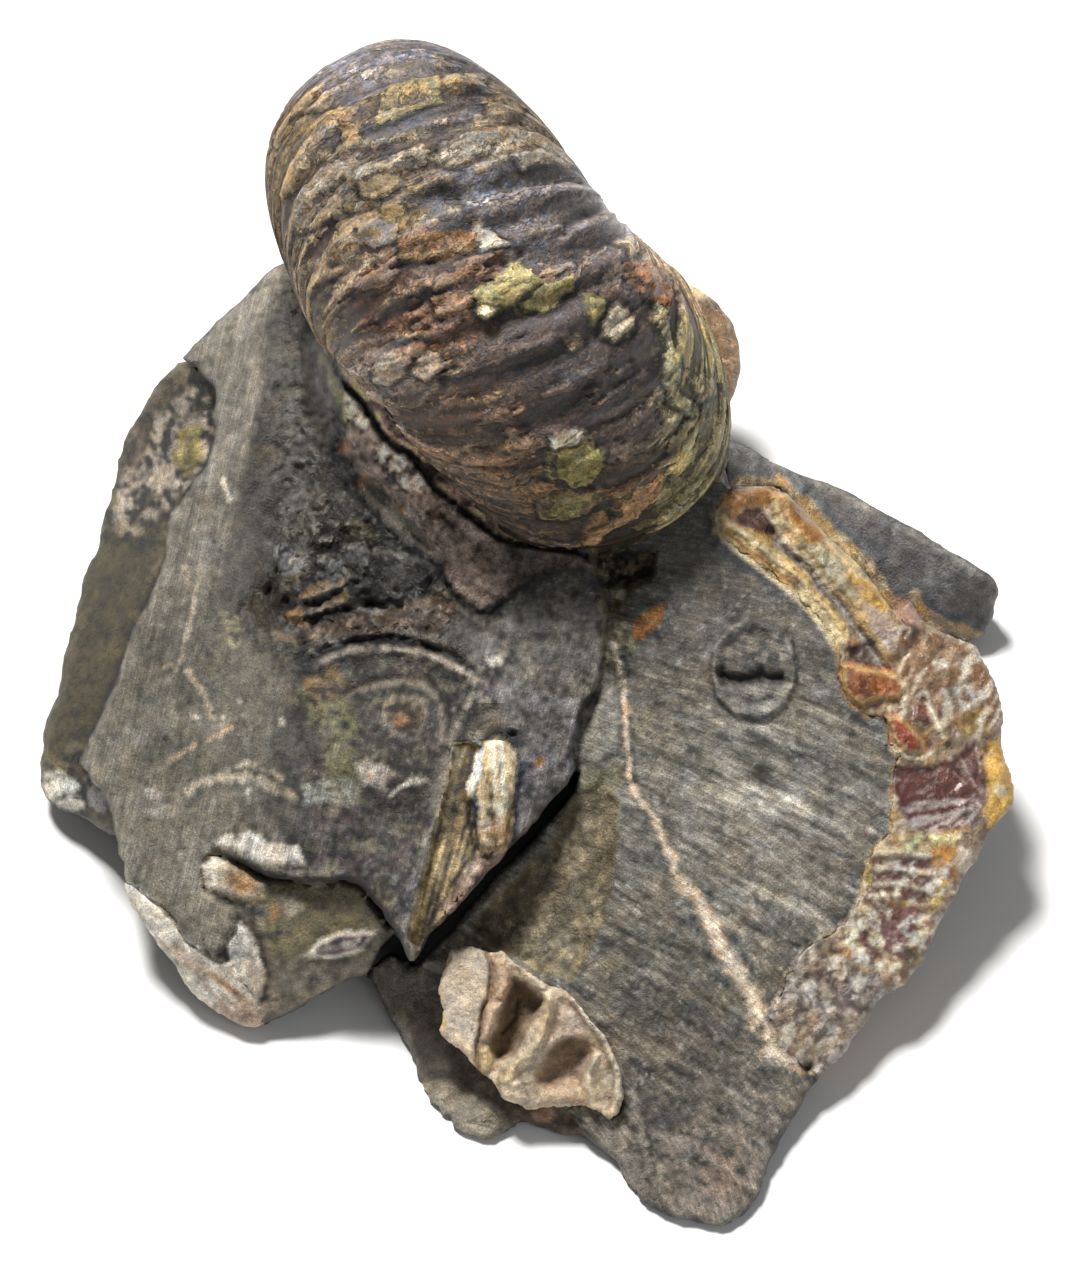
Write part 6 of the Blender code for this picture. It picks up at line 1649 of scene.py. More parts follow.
# colours of the chambered shell, painted over a copy
C_keep, G_keep, R_keep, FA_keep = C.copy(), GLOSS.copy(), GRIP, FRONT_ALL
C = np.zeros_like(C) + np.array((0.500, 0.415, 0.320))
tint((0.560, 0.490, 0.400), step(-0.2, 0.3, fbm2(GX / 14, GY / 14, 101, 3)) * 0.8)
tint((0.370, 0.275, 0.190), step(0.1, 0.3, fbm2(GX / 7, GY / 7, 102, 3)) * 0.7)
tint((0.520, 0.450, 0.375), inside(D_PLATE_, 2) * 0.95)
tint((0.560, 0.460, 0.370), inside(D_PLATE_, 2) * step(0.05, 0.3, fbm2(GX / 10, GY / 10, 103, 4)) * 0.6)
tint((0.600, 0.530, 0.455), inside(D_PLATE_, 2) * step(0.05, 0.3, fbm2(GX / 16, GY / 16, 104, 4)) * 0.5)
for pts_, col_ in TUBES:
    D = sd(pts_, 20, 2)
    tint((0.220, 0.140, 0.090), gauss(D - 0.5, 1.8) * 0.75)
    tint(col_, inside(D, 2) * 0.95)
    tint(np.asarray(col_) * 1.25, inside(D + 4, 3) * 0.6)
tint((0.480, 0.370, 0.300), inside(D_WEB, 4) * 0.8)
tint((0.600, 0.540, 0.440), gauss(d_top, 6.5) * 0.85)
tint((0.360, 0.260, 0.180), gauss(d_top, 7) * step(0.1, 0.3, n_lump) * 0.6)
tint((0.620, 0.510, 0.350), gauss(d_sep, 4.0) * 0.9)
tint((0.650, 0.590, 0.500), gauss(d_wr, 5.0) * 0.9)
tint((0.600, 0.520, 0.420), gauss(d_lb, 3.6) * 0.85)
tint((0.230, 0.150, 0.095), gauss(d_wr - 6.5, 1.6) * 0.8)
tint((0.190, 0.120, 0.075), gauss(d_ck, 1.7) * 0.9)
patch([(536, 1094), (590, 1094), (589, 1108), (540, 1110)], (0.420, 0.320, 0.220), 4, 0.8, wander=2)
tint((0.290, 0.220, 0.155), inside(D_ONE + 1, 3) * 0.97)
# painted shade on the left and upper side of the first hollow
tint((0.080, 0.050, 0.030), inside(D_ONE + 1, 3) * step(4, -20, (GX - 512) + 0.45 * (GY - 1010)) * 0.85)
stroke([(521, 998), (515, 1020), (500, 1036)], (0.020, 0.014, 0.010), 2.2, 0.9, wander=2)
tint((0.360, 0.275, 0.205), inside(D_TWO + 1, 5) * 0.97)
# painted shade under the upper wall of the second hollow
tint((0.120, 0.080, 0.055), inside(D_TWO + 2, 5) * step(1064, 1040, GY + 0.3 * (GX - 565)) * 0.85)
tint((0.220, 0.150, 0.105), inside(D_TWO + 3, 4) * step(0.0, 0.3, n_sml) * 0.5)
patch([(437, 1003), (443, 1005), (444, 1025), (438, 1027)], (0.560, 0.440, 0.160), 2, 0.9, wander=2)
shade(0.26 * n_sml + 0.28 * n_fin)
C = C * np.array((0.97, 0.93, 0.84))
C = np.clip(C, 0.01, 0.9)
GLOSS = np.full(GX.shape, 0.72)
GRIP = np.zeros(GX.shape)
FRONT_ALL = W_CHAM
cham = inlay("chamber_shell", W_CHAM, D_CHAM, 4.8, (424, 932, 640, 1136), hstep=2.0, wstep=0.3, sag=cream_side, taper=0.08)
C, GLOSS, GRIP, FRONT_ALL = C_keep, G_keep, R_keep, FA_keep


# ------------------------------------------------------------------ coils
def coil_points(theta, phi, scale, at, axle, front, pit, umb):
    """Grid of points over a coil, rows by theta and columns across, with their own coordinates."""
    R = coil_ring(theta)
    rad, wid, shf = R[:, 0:1], R[:, 1:2], R[:, 2:3]
    core = 9.5 * rad / 30.0
    c, s = np.abs(np.cos(phi))[None], np.sin(phi)[None]
    e = 2.0 / POWER
    rho = core + (rad - core) * c ** e
    t = wid * np.sign(s) * np.abs(s) ** e
    q = np.linspace(0, 0.97, umb + 1)[1:][None]
    drop = pit * q * q * (3 - 2 * q)
    hi_r, hi_t = core * (1 - q), wid * (1 - drop)
    rho = np.concatenate([hi_r[:, ::-1], rho, hi_r], 1)
    tt = np.concatenate([-hi_t[:, ::-1], t, hi_t], 1) + shf
    cc = np.concatenate([np.zeros((len(theta), umb)), c + 0 * rad, np.zeros((len(theta), umb))], 1)
    rho, tt = rho * scale, tt * scale
    ax = AU * axle[0] + AV * axle[1] + AW * axle[2]
    ax = ax / np.linalg.norm(ax)
    fr = AU * front[0] + AV * front[1] + AW * front[2]
    fr = fr - ax * (fr @ ax)
    fr = fr / np.linalg.norm(fr)
    sd_ = np.cross(ax, fr)
    th = theta[:, None]
    P = lay(at) + (rho * np.cos(th))[..., None] * fr + (rho * np.sin(th))[..., None] * sd_ + tt[..., None] * ax
    return P, np.broadcast_to(th, rho.shape), tt, cc, rho


def grid_normals(P):
    du = np.roll(P, -1, 0) - np.roll(P, 1, 0)
    dv = np.gradient(P, axis=1)
    n = np.cross(du, dv)
    n /= np.linalg.norm(n, axis=2, keepdims=True) + 1e-12
    mid = P.reshape(-1, 3).mean(0)
    if ((P - mid) * n).sum() < 0:
        n = -n
    return n


def add_crust(ob, crust, cover):
    """Second colour and how much of it shows."""
    n = len(ob.data.vertices)
    a = ob.data.attributes.new("crust", 'FLOAT_COLOR', 'POINT')
    rgba = np.ones((n, 4), np.float32)
    rgba[:, :3] = crust.reshape(-1, 3)
    rgba[:, 3] = np.asarray(cover).reshape(-1)
    a.data.foreach_set("color", rgba.reshape(-1))


def coil_object(name, P, col, gloss, grain, grip):
    n, m = P.shape[:2]
    idx = np.arange(n * m).reshape(n, m)
    a, b = idx, np.roll(idx, -1, 0)
    quads = np.stack([a[:, :-1], b[:, :-1], b[:, 1:], a[:, 1:]], -1).reshape(-1, 4)
    verts = P.reshape(-1, 3)
    odd = [list(idx[::-1, 0]), list(idx[:, -1])]
    mid = verts.mean(0)
    A, B, Cc = verts[quads[:, 0]], verts[quads[:, 1]], verts[quads[:, 2]]
    if (np.cross(B - A, Cc - A) * (A - mid)).sum() < 0:
        quads = quads[:, ::-1]
        odd = [f[::-1] for f in odd]
    ob = make_mesh(name, to_row(verts), quads, odd)
    colours(ob, col.reshape(-1, 3), gloss.reshape(-1), grain.reshape(-1, 3), grip.reshape(-1))
    return ob


n_vis, n_hid, n_across, n_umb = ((380, 80, 180, 7))
theta = np.concatenate([np.radians(np.linspace(-215, -112, int(n_hid * 0.75), endpoint=False)),
                        np.radians(np.linspace(-112, 108, n_vis, endpoint=False)),
                        np.radians(np.linspace(108, 145, int(n_hid * 0.27), endpoint=False))])
phi = np.linspace(-math.pi / 2, math.pi / 2, n_across + 1)
P, TH, TT, CC, RHO = coil_points(theta, phi, 1.0, COIL_AT, COIL_AXLE, np.array([0, 0, 1.0]), 0.4, n_umb)
NRM = grid_normals(P)
PXc, PYc, Wc_ = view(P)
cam_at = TARGET + DIST * AW
to_cam = cam_at - P
to_cam /= np.linalg.norm(to_cam, axis=2, keepdims=True)
facing = (NRM * to_cam).sum(2)
seen = step(0.02, 0.15, facing)
seen_h = step(0.16, 0.42, facing)

MOULD = np.array([0.100, 0.074, 0.058])
CRUST = np.array([0.250, 0.180, 0.115])
OCHR = np.array([0.320, 0.200, 0.070])
BUFF = np.array([0.330, 0.250, 0.155])
PALEB = np.array([0.450, 0.375, 0.275])


def blendc(col, other, m):
    m = np.clip(m, 0, 1)[..., None]
    return col * (1 - m) + np.asarray(other) * m


# zones of colour: bare mould, the crust of shell on it, and how much of it is left
ZB = np.zeros(GX.shape + (3,)) + MOULD
ZC = np.zeros(GX.shape + (3,)) + CRUST
ZK = np.full(GX.shape, 0.5)
ZG = np.full(GX.shape, 0.5)


def zone(pts, base, crust, cover, soft=14.0, gloss=0.5, wob=12.0):
    global ZB, ZC, ZK, ZG
    D = sd(pts, 60, 1)
    m = step(soft, -soft, D + wob * (n_sml + n_mid))
    ZB = ZB * (1 - m[..., None]) + np.asarray(base) * m[..., None]
    ZC = ZC * (1 - m[..., None]) + np.asarray(crust) * m[..., None]
    ZK = ZK * (1 - m) + cover * m
    ZG = ZG * (1 - m) + gloss * m


zone([(240, 20), (560, 20), (560, 130), (480, 118), (400, 112), (320, 130), (240, 190)], (0.180, 0.148, 0.134), (0.300, 0.235, 0.165), 0.42, gloss=0.42)
zone([(330, 50), (430, 44), (450, 78), (420, 100), (350, 112), (318, 100)], (0.240, 0.200, 0.190), (0.300, 0.250, 0.225), 0.30, 9, 0.42)
zone([(250, 120), (330, 80), (350, 118), (345, 160), (300, 210), (285, 290), (262, 250), (250, 180)], (0.095, 0.058, 0.036), (0.245, 0.160, 0.070), 0.60)
zone([(320, 118), (400, 100), (500, 92), (560, 120), (580, 158), (500, 160), (440, 170), (360, 190), (300, 222)], (0.100, 0.074, 0.062), (0.270, 0.195, 0.120), 0.56)
zone([(290, 215), (360, 185), (440, 172), (455, 205), (430, 232), (400, 262), (350, 300), (305, 320), (288, 280)], (0.078, 0.052, 0.040), (0.220, 0.158, 0.095), 0.56)
zone([(368, 122), (420, 118), (470, 122), (455, 150), (400, 160), (365, 150)], (0.130, 0.115, 0.115), (0.200, 0.165, 0.140), 0.25, 8)
# the upper right is a grey painted sheen
zone([(440, 175), (500, 162), (585, 158), (625, 205), (640, 240), (590, 262), (520, 268), (470, 262), (430, 232), (432, 200)],
     (0.165, 0.142, 0.140), (0.250, 0.205, 0.170), 0.22, 12, 0.32)
zone([(350, 262), (400, 236), (470, 228), (500, 262), (500, 310), (455, 345), (400, 352), (360, 330)], (0.078, 0.038, 0.024), (0.240, 0.140, 0.080), 0.52, 12)
zone([(372, 318), (430, 300), (478, 300), (490, 330), (440, 352), (385, 358)], (0.095, 0.045, 0.026), (0.210, 0.105, 0.052), 0.45, 9)
zone([(515, 300), (560, 300), (640, 262), (660, 330), (655, 400), (600, 440), (520, 440), (470, 400), (450, 352), (500, 330)],
     (0.072, 0.052, 0.046), (0.118, 0.080, 0.062), 0.28, 14, 0.36)
zone([(328, 352), (380, 340), (432, 350), (440, 400), (470, 470), (420, 468), (375, 430), (340, 400)], (0.120, 0.086, 0.070), (0.310, 0.235, 0.185), 0.74, 10)
zone([(400, 400), (470, 385), (530, 400), (540, 470), (480, 500), (430, 480), (404, 440)], (0.068, 0.038, 0.026), (0.200, 0.125, 0.078), 0.45, 12, 0.38)
zone([(430, 470), (500, 460), (600, 450), (650, 470), (620, 530), (560, 560), (500, 545), (450, 512)], (0.052, 0.036, 0.024), (0.140, 0.088, 0.045), 0.42, 12, 0.42)
zone([(600, 380), (660, 360), (668, 420), (640, 470), (600, 450)], (0.075, 0.055, 0.046), (0.130, 0.100, 0.070), 0.30, 12, 0.38)
zone([(650, 300), (720, 330), (760, 420), (720, 520), (660, 545), (648, 500), (664, 440), (660, 380)], (0.078, 0.066, 0.040), (0.195, 0.165, 0.088), 0.58, 10)
zone([(590, 500), (660, 480), (660, 560), (590, 580)], (0.040, 0.030, 0.018), (0.120, 0.095, 0.050), 0.40, 10)

arc = TH * 30.0
# rib phase, with ribs leaning a little against the axle and waving slightly
wave = fbm2(TT / 14, arc / 20, 111, 2)
psi = (arc - 0.14 * TT - 0.010 * (TT - 4) ** 2 + 1.3 * wave) / 4.75 + 0.15
ribc = 0.5 + 0.5 * np.cos(2 * math.pi * psi)
top = step(math.radians(-2), math.radians(-34), TH)
low = step(math.radians(8), math.radians(40), TH)
rightw = step(-4, 9, TT)
rib_amp = (0.5 + 0.5 * seen_h) * (0.44 + 0.62 * rightw * step(math.radians(45), math.radians(-8), TH) - 0.14 * low) * np.clip(CC, 0, 1) ** 0.5
Hh = rib_amp * (ribc ** 1.2 - 0.45)
# shell left on the mould in flakes that run with the ribs
lean = arc - 0.14 * TT
f1 = fbm2(TT / 7.0 + 0.2 * wave, lean / 1.9, 113, 5, 0.6)
f2 = fbm2(TT / 3.0, lean / 1.0, 117, 4, 0.6)
f3 = fbm2(TT / 2.2, arc / 2.0, 119, 3)
f4 = fbm2(TT / 0.8, arc / 0.8, 123, 2)
bias = 0.02 + 0.9 * (sample(ZK, PXc, PYc) - 0.5)
flake = f1 + 0.35 * f2 + bias * 0.6 + 0.08 * (ribc - 0.5)
on_shell = step(-0.015, 0.03, flake)
thick = step(0.17, 0.21, flake + 0.25 * f3)
crown = step(135, 95, PYc + 8 * f1)
Hh = Hh + (0.26 * on_shell + 0.20 * thick) * (1 - 0.55 * crown)
lamin = fbm2(TT / 12.0, (lean + 0.6 * wave) / 0.9, 127, 3, 0.6)
Hh = Hh + 0.13 * lamin + (0.05 * f4 + 0.05 * f3) * (1 - 0.5 * crown)
Hh = Hh + 0.22 * fbm2(TT / 8, arc / 8, 129, 3)

cover0 = sample(ZK, PXc, PYc)
col = sample(ZB, PXc, PYc)
crust = sample(ZC, PXc, PYc)
glo = sample(ZG, PXc, PYc) + 0.08 * on_shell
cover = cover0 + 0.30 * (on_shell - 0.5) + 0.12 * thick
line_c = fbm2(TT / 9.0, (lean + 0.5 * wave) / 1.1, 151, 4, 0.65)
col = col * np.clip(1 + 1.0 * line_c, 0.25, 2)[..., None]
crust = crust * np.clip(1 + 1.0 * line_c, 0.25, 2)[..., None]
drift = fbm2(TT / 7, arc / 7, 141, 4)[..., None]
col = col * (1 + 0.45 * drift) * (1 + np.array([0.10, 0.0, -0.16]) * fbm2(TT / 4, arc / 4, 143, 3)[..., None])
drift2 = fbm2(TT / 5, arc / 2.5, 145, 4)[..., None]
crust = crust * (1 + 0.5 * drift2) * (1 + np.array([0.12, 0.0, -0.25]) * fbm2(TT / 3.5, arc / 2.5, 147, 3)[..., None])
# painted shadow along the edges of the flakes
edge = gauss(flake + 0.03, 0.030)
col = col * (1 - 0.45 * edge)[..., None]
crust = crust * (1 - 0.45 * edge)[..., None]
# painted shade in the hollows between the ribs
col = col * (1 - 0.38 * (1 - ribc) * np.clip(rib_amp * 2, 0, 1))[..., None]
crust = crust * (1 - 0.25 * (1 - ribc) * np.clip(rib_amp * 2, 0, 1))[..., None]

# drawn features of the near side
CB = np.zeros(GX.shape + (3,))
AB = np.zeros(GX.shape)
HB = np.zeros(GX.shape)
GB = np.full(GX.shape, 0.5)
KB = np.full(GX.shape, 0.62)


def mark(col_, m, lift=0.0, gloss=None, solid=0.62):
    global CB, AB, HB, GB, KB
    m = np.clip(m, 0, 1)
    CB = CB * (1 - m)[..., None] + np.asarray(col_, float) * m[..., None]
    AB = AB + m * (1 - AB)
    HB = HB + lift * m
    KB = KB * (1 - m) + solid * m
    if gloss is not None:
        GB = GB * (1 - m) + gloss * m


def blot(pts, col_, soft=3.0, amount=1.0, lift=0.0, wander=1, mottle=False, gloss=None):
    D = sd(pts, 30, wander)
    m = inside(D, soft) * amount
    if mottle:
        m = m * step(-0.25, 0.15, n_sml + 0.4 * n_mid)
    if lift >= 0.3:
        c_ = np.asarray(col_, float)
        col_ = 0.80 * (0.88 * c_ + 0.12 * c_.mean())
        m = m * (1 - 0.35 * step(0.1, 0.4, n_sml))
    mark(col_, m, lift, gloss, 0.90 if lift >= 0.3 else 0.62)
    if lift:
        # painted shadow along the lower edge of a raised flake
        e = gauss(D - 2, 2.2) * 0.75 * (GY > np.mean([p[1] for p in pts]) - 6)
        mark((0.030, 0.022, 0.016), e, 0.0, None, 0.3)


def band_line(pts, col_, width, amount=1.0, lift=0.0, broken=0.0, gloss=None):
    d, al, side = line(pts, 40, 1)
    m = gauss(d, width) * amount * step(0, 0.08, al) * step(1.0, 0.92, al)
    if broken:
        m = m * step(-broken, broken, n_sml + 0.25)
    mark(col_, m, lift, gloss)


# grooves between ribs on the right: painted shade along each, a paler line on the rib above
for pts, wd, amt in (([(606, 203), (590, 211), (560, 225), (540, 240), (512, 256)], 5.5, 0.85),
                     ([(598, 170), (570, 174), (540, 181), (505, 192), (480, 200), (430, 192)], 5.5, 0.75),
                     ([(628, 232), (600, 246), (575, 258), (545, 268)], 5.0, 0.6),
                     ([(575, 150), (545, 158), (510, 168)], 4.0, 0.45),
                     ([(352, 268), (400, 250), (450, 228), (475, 215)], 4.5, 0.5),
                     ([(345, 300), (385, 292), (430, 275), (470, 262)], 4.5, 0.45),
                     ([(372, 322), (420, 305), (470, 296)], 4.5, 0.5),
                     ([(380, 350), (430, 335), (500, 322), (560, 300), (600, 282)], 5.0, 0.5),
                     ([(400, 392), (450, 380), (520, 362), (590, 340)], 5.0, 0.4),
                     ([(600, 395), (640, 372), (668, 352)], 5.0, 0.5),
                     ([(590, 432), (640, 408), (672, 388)], 5.0, 0.4),
                     ([(425, 440), (470, 432), (520, 420)], 5.0, 0.3)):
    band_line(pts, (0.050, 0.040, 0.036), wd, amt, -0.55 * amt)
    band_line([(x - 3, y - 11) for x, y in pts], (0.190, 0.165, 0.150), 4.5, 0.40 * amt, 0.18)
# grey sheen between them, upper right
blot([(470, 196), (530, 176), (590, 178), (604, 190), (560, 212), (520, 236), (490, 226)], (0.150, 0.128, 0.124), 9, 0.7, mottle=False, gloss=0.36)
blot([(520, 262), (575, 232), (625, 222), (648, 262), (640, 300), (590, 290), (560, 270)], (0.115, 0.095, 0.088), 9, 0.65, gloss=0.36)
blot([(380, 420), (430, 445), (480, 470), (520, 500), (560, 530), (600, 545), (560, 545), (500, 535), (450, 500), (405, 455)],
     (0.120, 0.092, 0.080), 10, 0.5)
# rusty brown in the middle left
blot([(385, 315), (440, 300), (480, 290), (500, 320), (470, 350), (410, 360), (375, 345)], (0.150, 0.085, 0.055), 9, 0.65, mottle=True)
blot([(380, 265), (430, 250), (480, 245), (480, 275), (420, 292), (385, 290)], (0.230, 0.165, 0.125), 9, 0.6, mottle=True)
blot([(378, 360), (400, 348), (438, 352), (442, 385), (420, 408), (392, 402), (376, 385)], (0.250, 0.195, 0.145), 5, 0.85, 0.2, mottle=True)
blot([(420, 400), (470, 390), (520, 395), (520, 430), (470, 445), (430, 430)], (0.155, 0.105, 0.080), 9, 0.6, mottle=True)
blot([(470, 232), (478, 226), (492, 229), (503, 240), (490, 248), (474, 247)], (0.480, 0.415, 0.330), 2.5, 0.95, 0.35)
blot([(482, 290), (500, 275), (520, 262), (532, 272), (542, 282), (524, 292), (512, 306), (496, 318), (478, 318), (484, 304)],
     (0.270, 0.215, 0.085), 2.5, 0.95, 0.35)
blot([(478, 302), (490, 296), (500, 304), (496, 316), (480, 318)], (0.400, 0.350, 0.240), 2.5, 0.75)
blot([(512, 306), (540, 290), (572, 280), (575, 288), (548, 304), (520, 318)], (0.190, 0.160, 0.070), 3, 0.8, 0.2)
blot([(602, 318), (612, 306), (630, 312), (634, 330), (618, 342), (603, 338)], (0.370, 0.310, 0.200), 2.5, 0.9, 0.3)
blot([(584, 290), (596, 296), (604, 312), (596, 318), (586, 306)], (0.160, 0.130, 0.060), 3, 0.7, 0.2)
blot([(622, 264), (640, 258), (662, 270), (672, 290), (664, 304), (645, 298), (630, 284)], (0.130, 0.060, 0.024), 4, 0.9, 0.3, gloss=0.14)
blot([(655, 300), (668, 306), (668, 330), (656, 340), (648, 320)], (0.210, 0.175, 0.100), 4, 0.7, 0.15, mottle=True)
blot([(542, 440), (575, 432), (602, 446), (600, 470), (575, 484), (548, 478)], (0.210, 0.180, 0.085), 4, 0.85, 0.2, mottle=True)
blot([(540, 500), (575, 486), (600, 486), (596, 504), (560, 520), (542, 516)], (0.170, 0.145, 0.070), 5, 0.7, 0.15, mottle=True)
blot([(552, 434), (580, 428), (590, 436), (560, 446)], (0.400, 0.350, 0.250), 2.5, 0.7)
blot([(560, 456), (590, 452), (604, 470), (580, 482), (562, 476)], (0.120, 0.110, 0.040), 4, 0.7)
blot([(576, 540), (590, 520), (625, 500), (655, 476), (662, 486), (640, 508), (610, 530), (590, 546)], (0.270, 0.160, 0.075), 4, 0.85, 0.2, mottle=True)
blot([(655, 480), (690, 462), (722, 444), (727, 470), (705, 500), (680, 520), (655, 512)], (0.095, 0.085, 0.040), 7, 0.75, mottle=True)
blot([(660, 340), (684, 345), (700, 380), (695, 420), (672, 428), (668, 390)], (0.140, 0.122, 0.060), 7, 0.7, mottle=True)
blot([(692, 360), (712, 366), (722, 400), (722, 440), (706, 440), (700, 400)], (0.165, 0.140, 0.085), 5, 0.6, mottle=True)
band_line([(664, 420), (672, 395), (682, 372), (688, 352)], (0.300, 0.265, 0.160), 3.5, 0.7, 0.15, 0.2)
band_line([(662, 520), (690, 500), (712, 478)], (0.240, 0.215, 0.120), 3, 0.6, 0.15, 0.2)
blot([(308, 300), (326, 305), (338, 340), (332, 362), (318, 340)], (0.190, 0.165, 0.085), 5, 0.7, mottle=True)
blot([(345, 395), (360, 390), (372, 408), (384, 430), (372, 432), (356, 416)], (0.380, 0.320, 0.230), 4, 0.75, 0.2, mottle=True)
mark((0.030, 0.024, 0.020), step(6, 3, np.hypot(WX - 424, WY - 166)) * 0.85)
# flakes with sharp outlines: shape, colour, height
for pts_, c_, up_ in (
        ([(468, 240), (480, 228), (492, 228), (500, 238), (512, 245), (490, 249), (480, 253), (472, 246)], (0.480, 0.400, 0.310), 0.35),
        ([(472, 295), (480, 287), (500, 280), (510, 262), (522, 262), (530, 275), (540, 282), (530, 292), (515, 305), (500, 312), (488, 321), (478, 315), (478, 300)], (0.330, 0.270, 0.110), 0.40),
        ([(520, 302), (540, 286), (570, 278), (573, 286), (560, 305), (545, 313), (525, 311)], (0.230, 0.190, 0.070), 0.35),
        ([(478, 306), (490, 302), (500, 308), (488, 319), (479, 315)], (0.500, 0.440, 0.310), 0.05),
        ([(600, 321), (605, 308), (612, 318), (625, 308), (633, 325), (620, 335), (612, 343), (602, 336)], (0.420, 0.350, 0.240), 0.35),
        ([(585, 290), (600, 300), (601, 311), (590, 330), (583, 310)], (0.200, 0.170, 0.065), 0.30),
        ([(562, 336), (580, 333), (584, 346), (570, 352)], (0.300, 0.220, 0.130), 0.30),
        ([(620, 262), (640, 262), (655, 268), (665, 285), (673, 303), (665, 313), (650, 300), (640, 285), (630, 270)], (0.190, 0.075, 0.022), 0.40),
        ([(615, 240), (630, 235), (641, 252), (625, 261)], (0.330, 0.250, 0.150), 0.30),
        ([(655, 305), (665, 320), (672, 345), (676, 370), (673, 390), (690, 400), (690, 416), (668, 402), (661, 380), (667, 350), (659, 330)], (0.270, 0.235, 0.125), 0.35),
        ([(692, 382), (712, 378), (718, 394), (700, 402)], (0.250, 0.205, 0.120), 0.30),
        ([(390, 84), (440, 84), (444, 96), (432, 106), (420, 113), (390, 126), (374, 131), (378, 112)], (0.330, 0.270, 0.105), 0.32),
        ([(440, 76), (486, 76), (486, 88), (445, 92)], (0.330, 0.250, 0.145), 0.30),
        ([(480, 97), (505, 93), (524, 108), (515, 121), (486, 118)], (0.310, 0.190, 0.075), 0.30),
        ([(342, 126), (360, 122), (362, 146), (346, 152)], (0.350, 0.210, 0.070), 0.30),
        ([(256, 140), (268, 136), (274, 148), (262, 158)], (0.290, 0.230, 0.080), 0.35),
        ([(440, 166), (442, 148), (470, 140), (500, 140), (496, 147), (480, 156), (466, 166), (458, 171)], (0.430, 0.350, 0.240), 0.32),
        ([(358, 180), (375, 170), (400, 168), (402, 186), (385, 199), (362, 198)], (0.310, 0.215, 0.090), 0.30),
        ([(384, 208), (405, 206), (408, 220), (388, 224)], (0.350, 0.225, 0.080), 0.30),
        ([(360, 232), (378, 222), (400, 224), (396, 242), (372, 250)], (0.250, 0.195, 0.145), 0.32),
        ([(334, 246), (352, 234), (366, 240), (358, 258), (338, 264)], (0.260, 0.205, 0.150), 0.32),
        ([(508, 160), (540, 150), (580, 148), (602, 160), (590, 170), (550, 166), (520, 172)], (0.400, 0.330, 0.235), 0.30),
        ([(400, 240), (440, 230), (478, 232), (476, 250), (440, 262), (404, 262)], (0.240, 0.130, 0.060), 0.15),
        ([(555, 446), (575, 440), (600, 446), (602, 462), (592, 480), (570, 482), (556, 470)], (0.215, 0.180, 0.055), 0.35),
        ([(548, 434), (568, 428), (584, 430), (576, 442), (552, 446)], (0.480, 0.420, 0.310), 0.32),
        ([(538, 500), (560, 490), (592, 488), (592, 506), (566, 516), (540, 518)], (0.240, 0.165, 0.065), 0.32),
        ([(546, 504), (566, 496), (584, 496), (580, 508), (560, 512)], (0.160, 0.140, 0.055), 0.05),
        ([(584, 542), (590, 530), (610, 515), (640, 490), (660, 470), (664, 480), (644, 504), (616, 528), (596, 546)], (0.330, 0.185, 0.075), 0.32),
        ([(378, 360), (398, 350), (410, 356), (408, 372), (390, 384), (376, 378)], (0.330, 0.260, 0.190), 0.30),
        ([(420, 352), (440, 350), (446, 366), (430, 380), (416, 370)], (0.310, 0.235, 0.165), 0.30),
        ([(430, 300), (456, 292), (474, 296), (468, 312), (440, 320)], (0.290, 0.170, 0.090), 0.30)):
    blot(pts_, c_, 1.6, 0.95, up_, 2)
blot([(340, 398), (350, 390), (364, 400), (372, 412), (366, 424), (352, 420)], (0.420, 0.370, 0.270), 2, 0.9, 0.32, 2)
# dark lines of painted shadow under the edges of shell layers, each with a buff line above
for pts_, w_, a_ in (([(372, 132), (392, 126), (422, 113), (436, 98)], 2.4, 0.8), ([(440, 168), (460, 173), (480, 158), (496, 149)], 2.4, 0.8),
                     ([(366, 183), (382, 175)], 2.2, 0.8), ([(322, 152), (306, 170), (290, 202)], 2.6, 0.7), ([(286, 128), (304, 116), (326, 110)], 2.2, 0.7),
                     ([(300, 240), (330, 222), (352, 214), (384, 206)], 2.6, 0.7), ([(312, 300), (330, 282), (356, 268), (392, 262)], 2.6, 0.7),
                     ([(402, 200), (430, 196), (460, 186)], 2.6, 0.7), ([(404, 268), (440, 258), (472, 256)], 2.4, 0.6),
                     ([(384, 316), (400, 302), (430, 292), (466, 286)], 2.4, 0.6), ([(380, 346), (404, 340), (438, 340)], 2.2, 0.6),
                     ([(430, 420), (452, 410), (480, 408), (510, 396)], 2.6, 0.6), ([(452, 458), (480, 448), (520, 452)], 2.4, 0.5)):
    band_line(pts_, (0.022, 0.015, 0.011), w_, a_, -0.28 * a_)
    band_line([(x - 2, y - 6) for x, y in pts_], (0.340, 0.250, 0.140), 2.2, 0.55 * a_, 0.12)
# painted sheen highlights
blot([(462, 192), (478, 186), (496, 190), (488, 204), (468, 208)], (0.330, 0.320, 0.330), 5, 0.6, gloss=0.25)
blot([(560, 372), (580, 364), (594, 370), (584, 388), (564, 392)], (0.170, 0.150, 0.150), 6, 0.6, gloss=0.25)
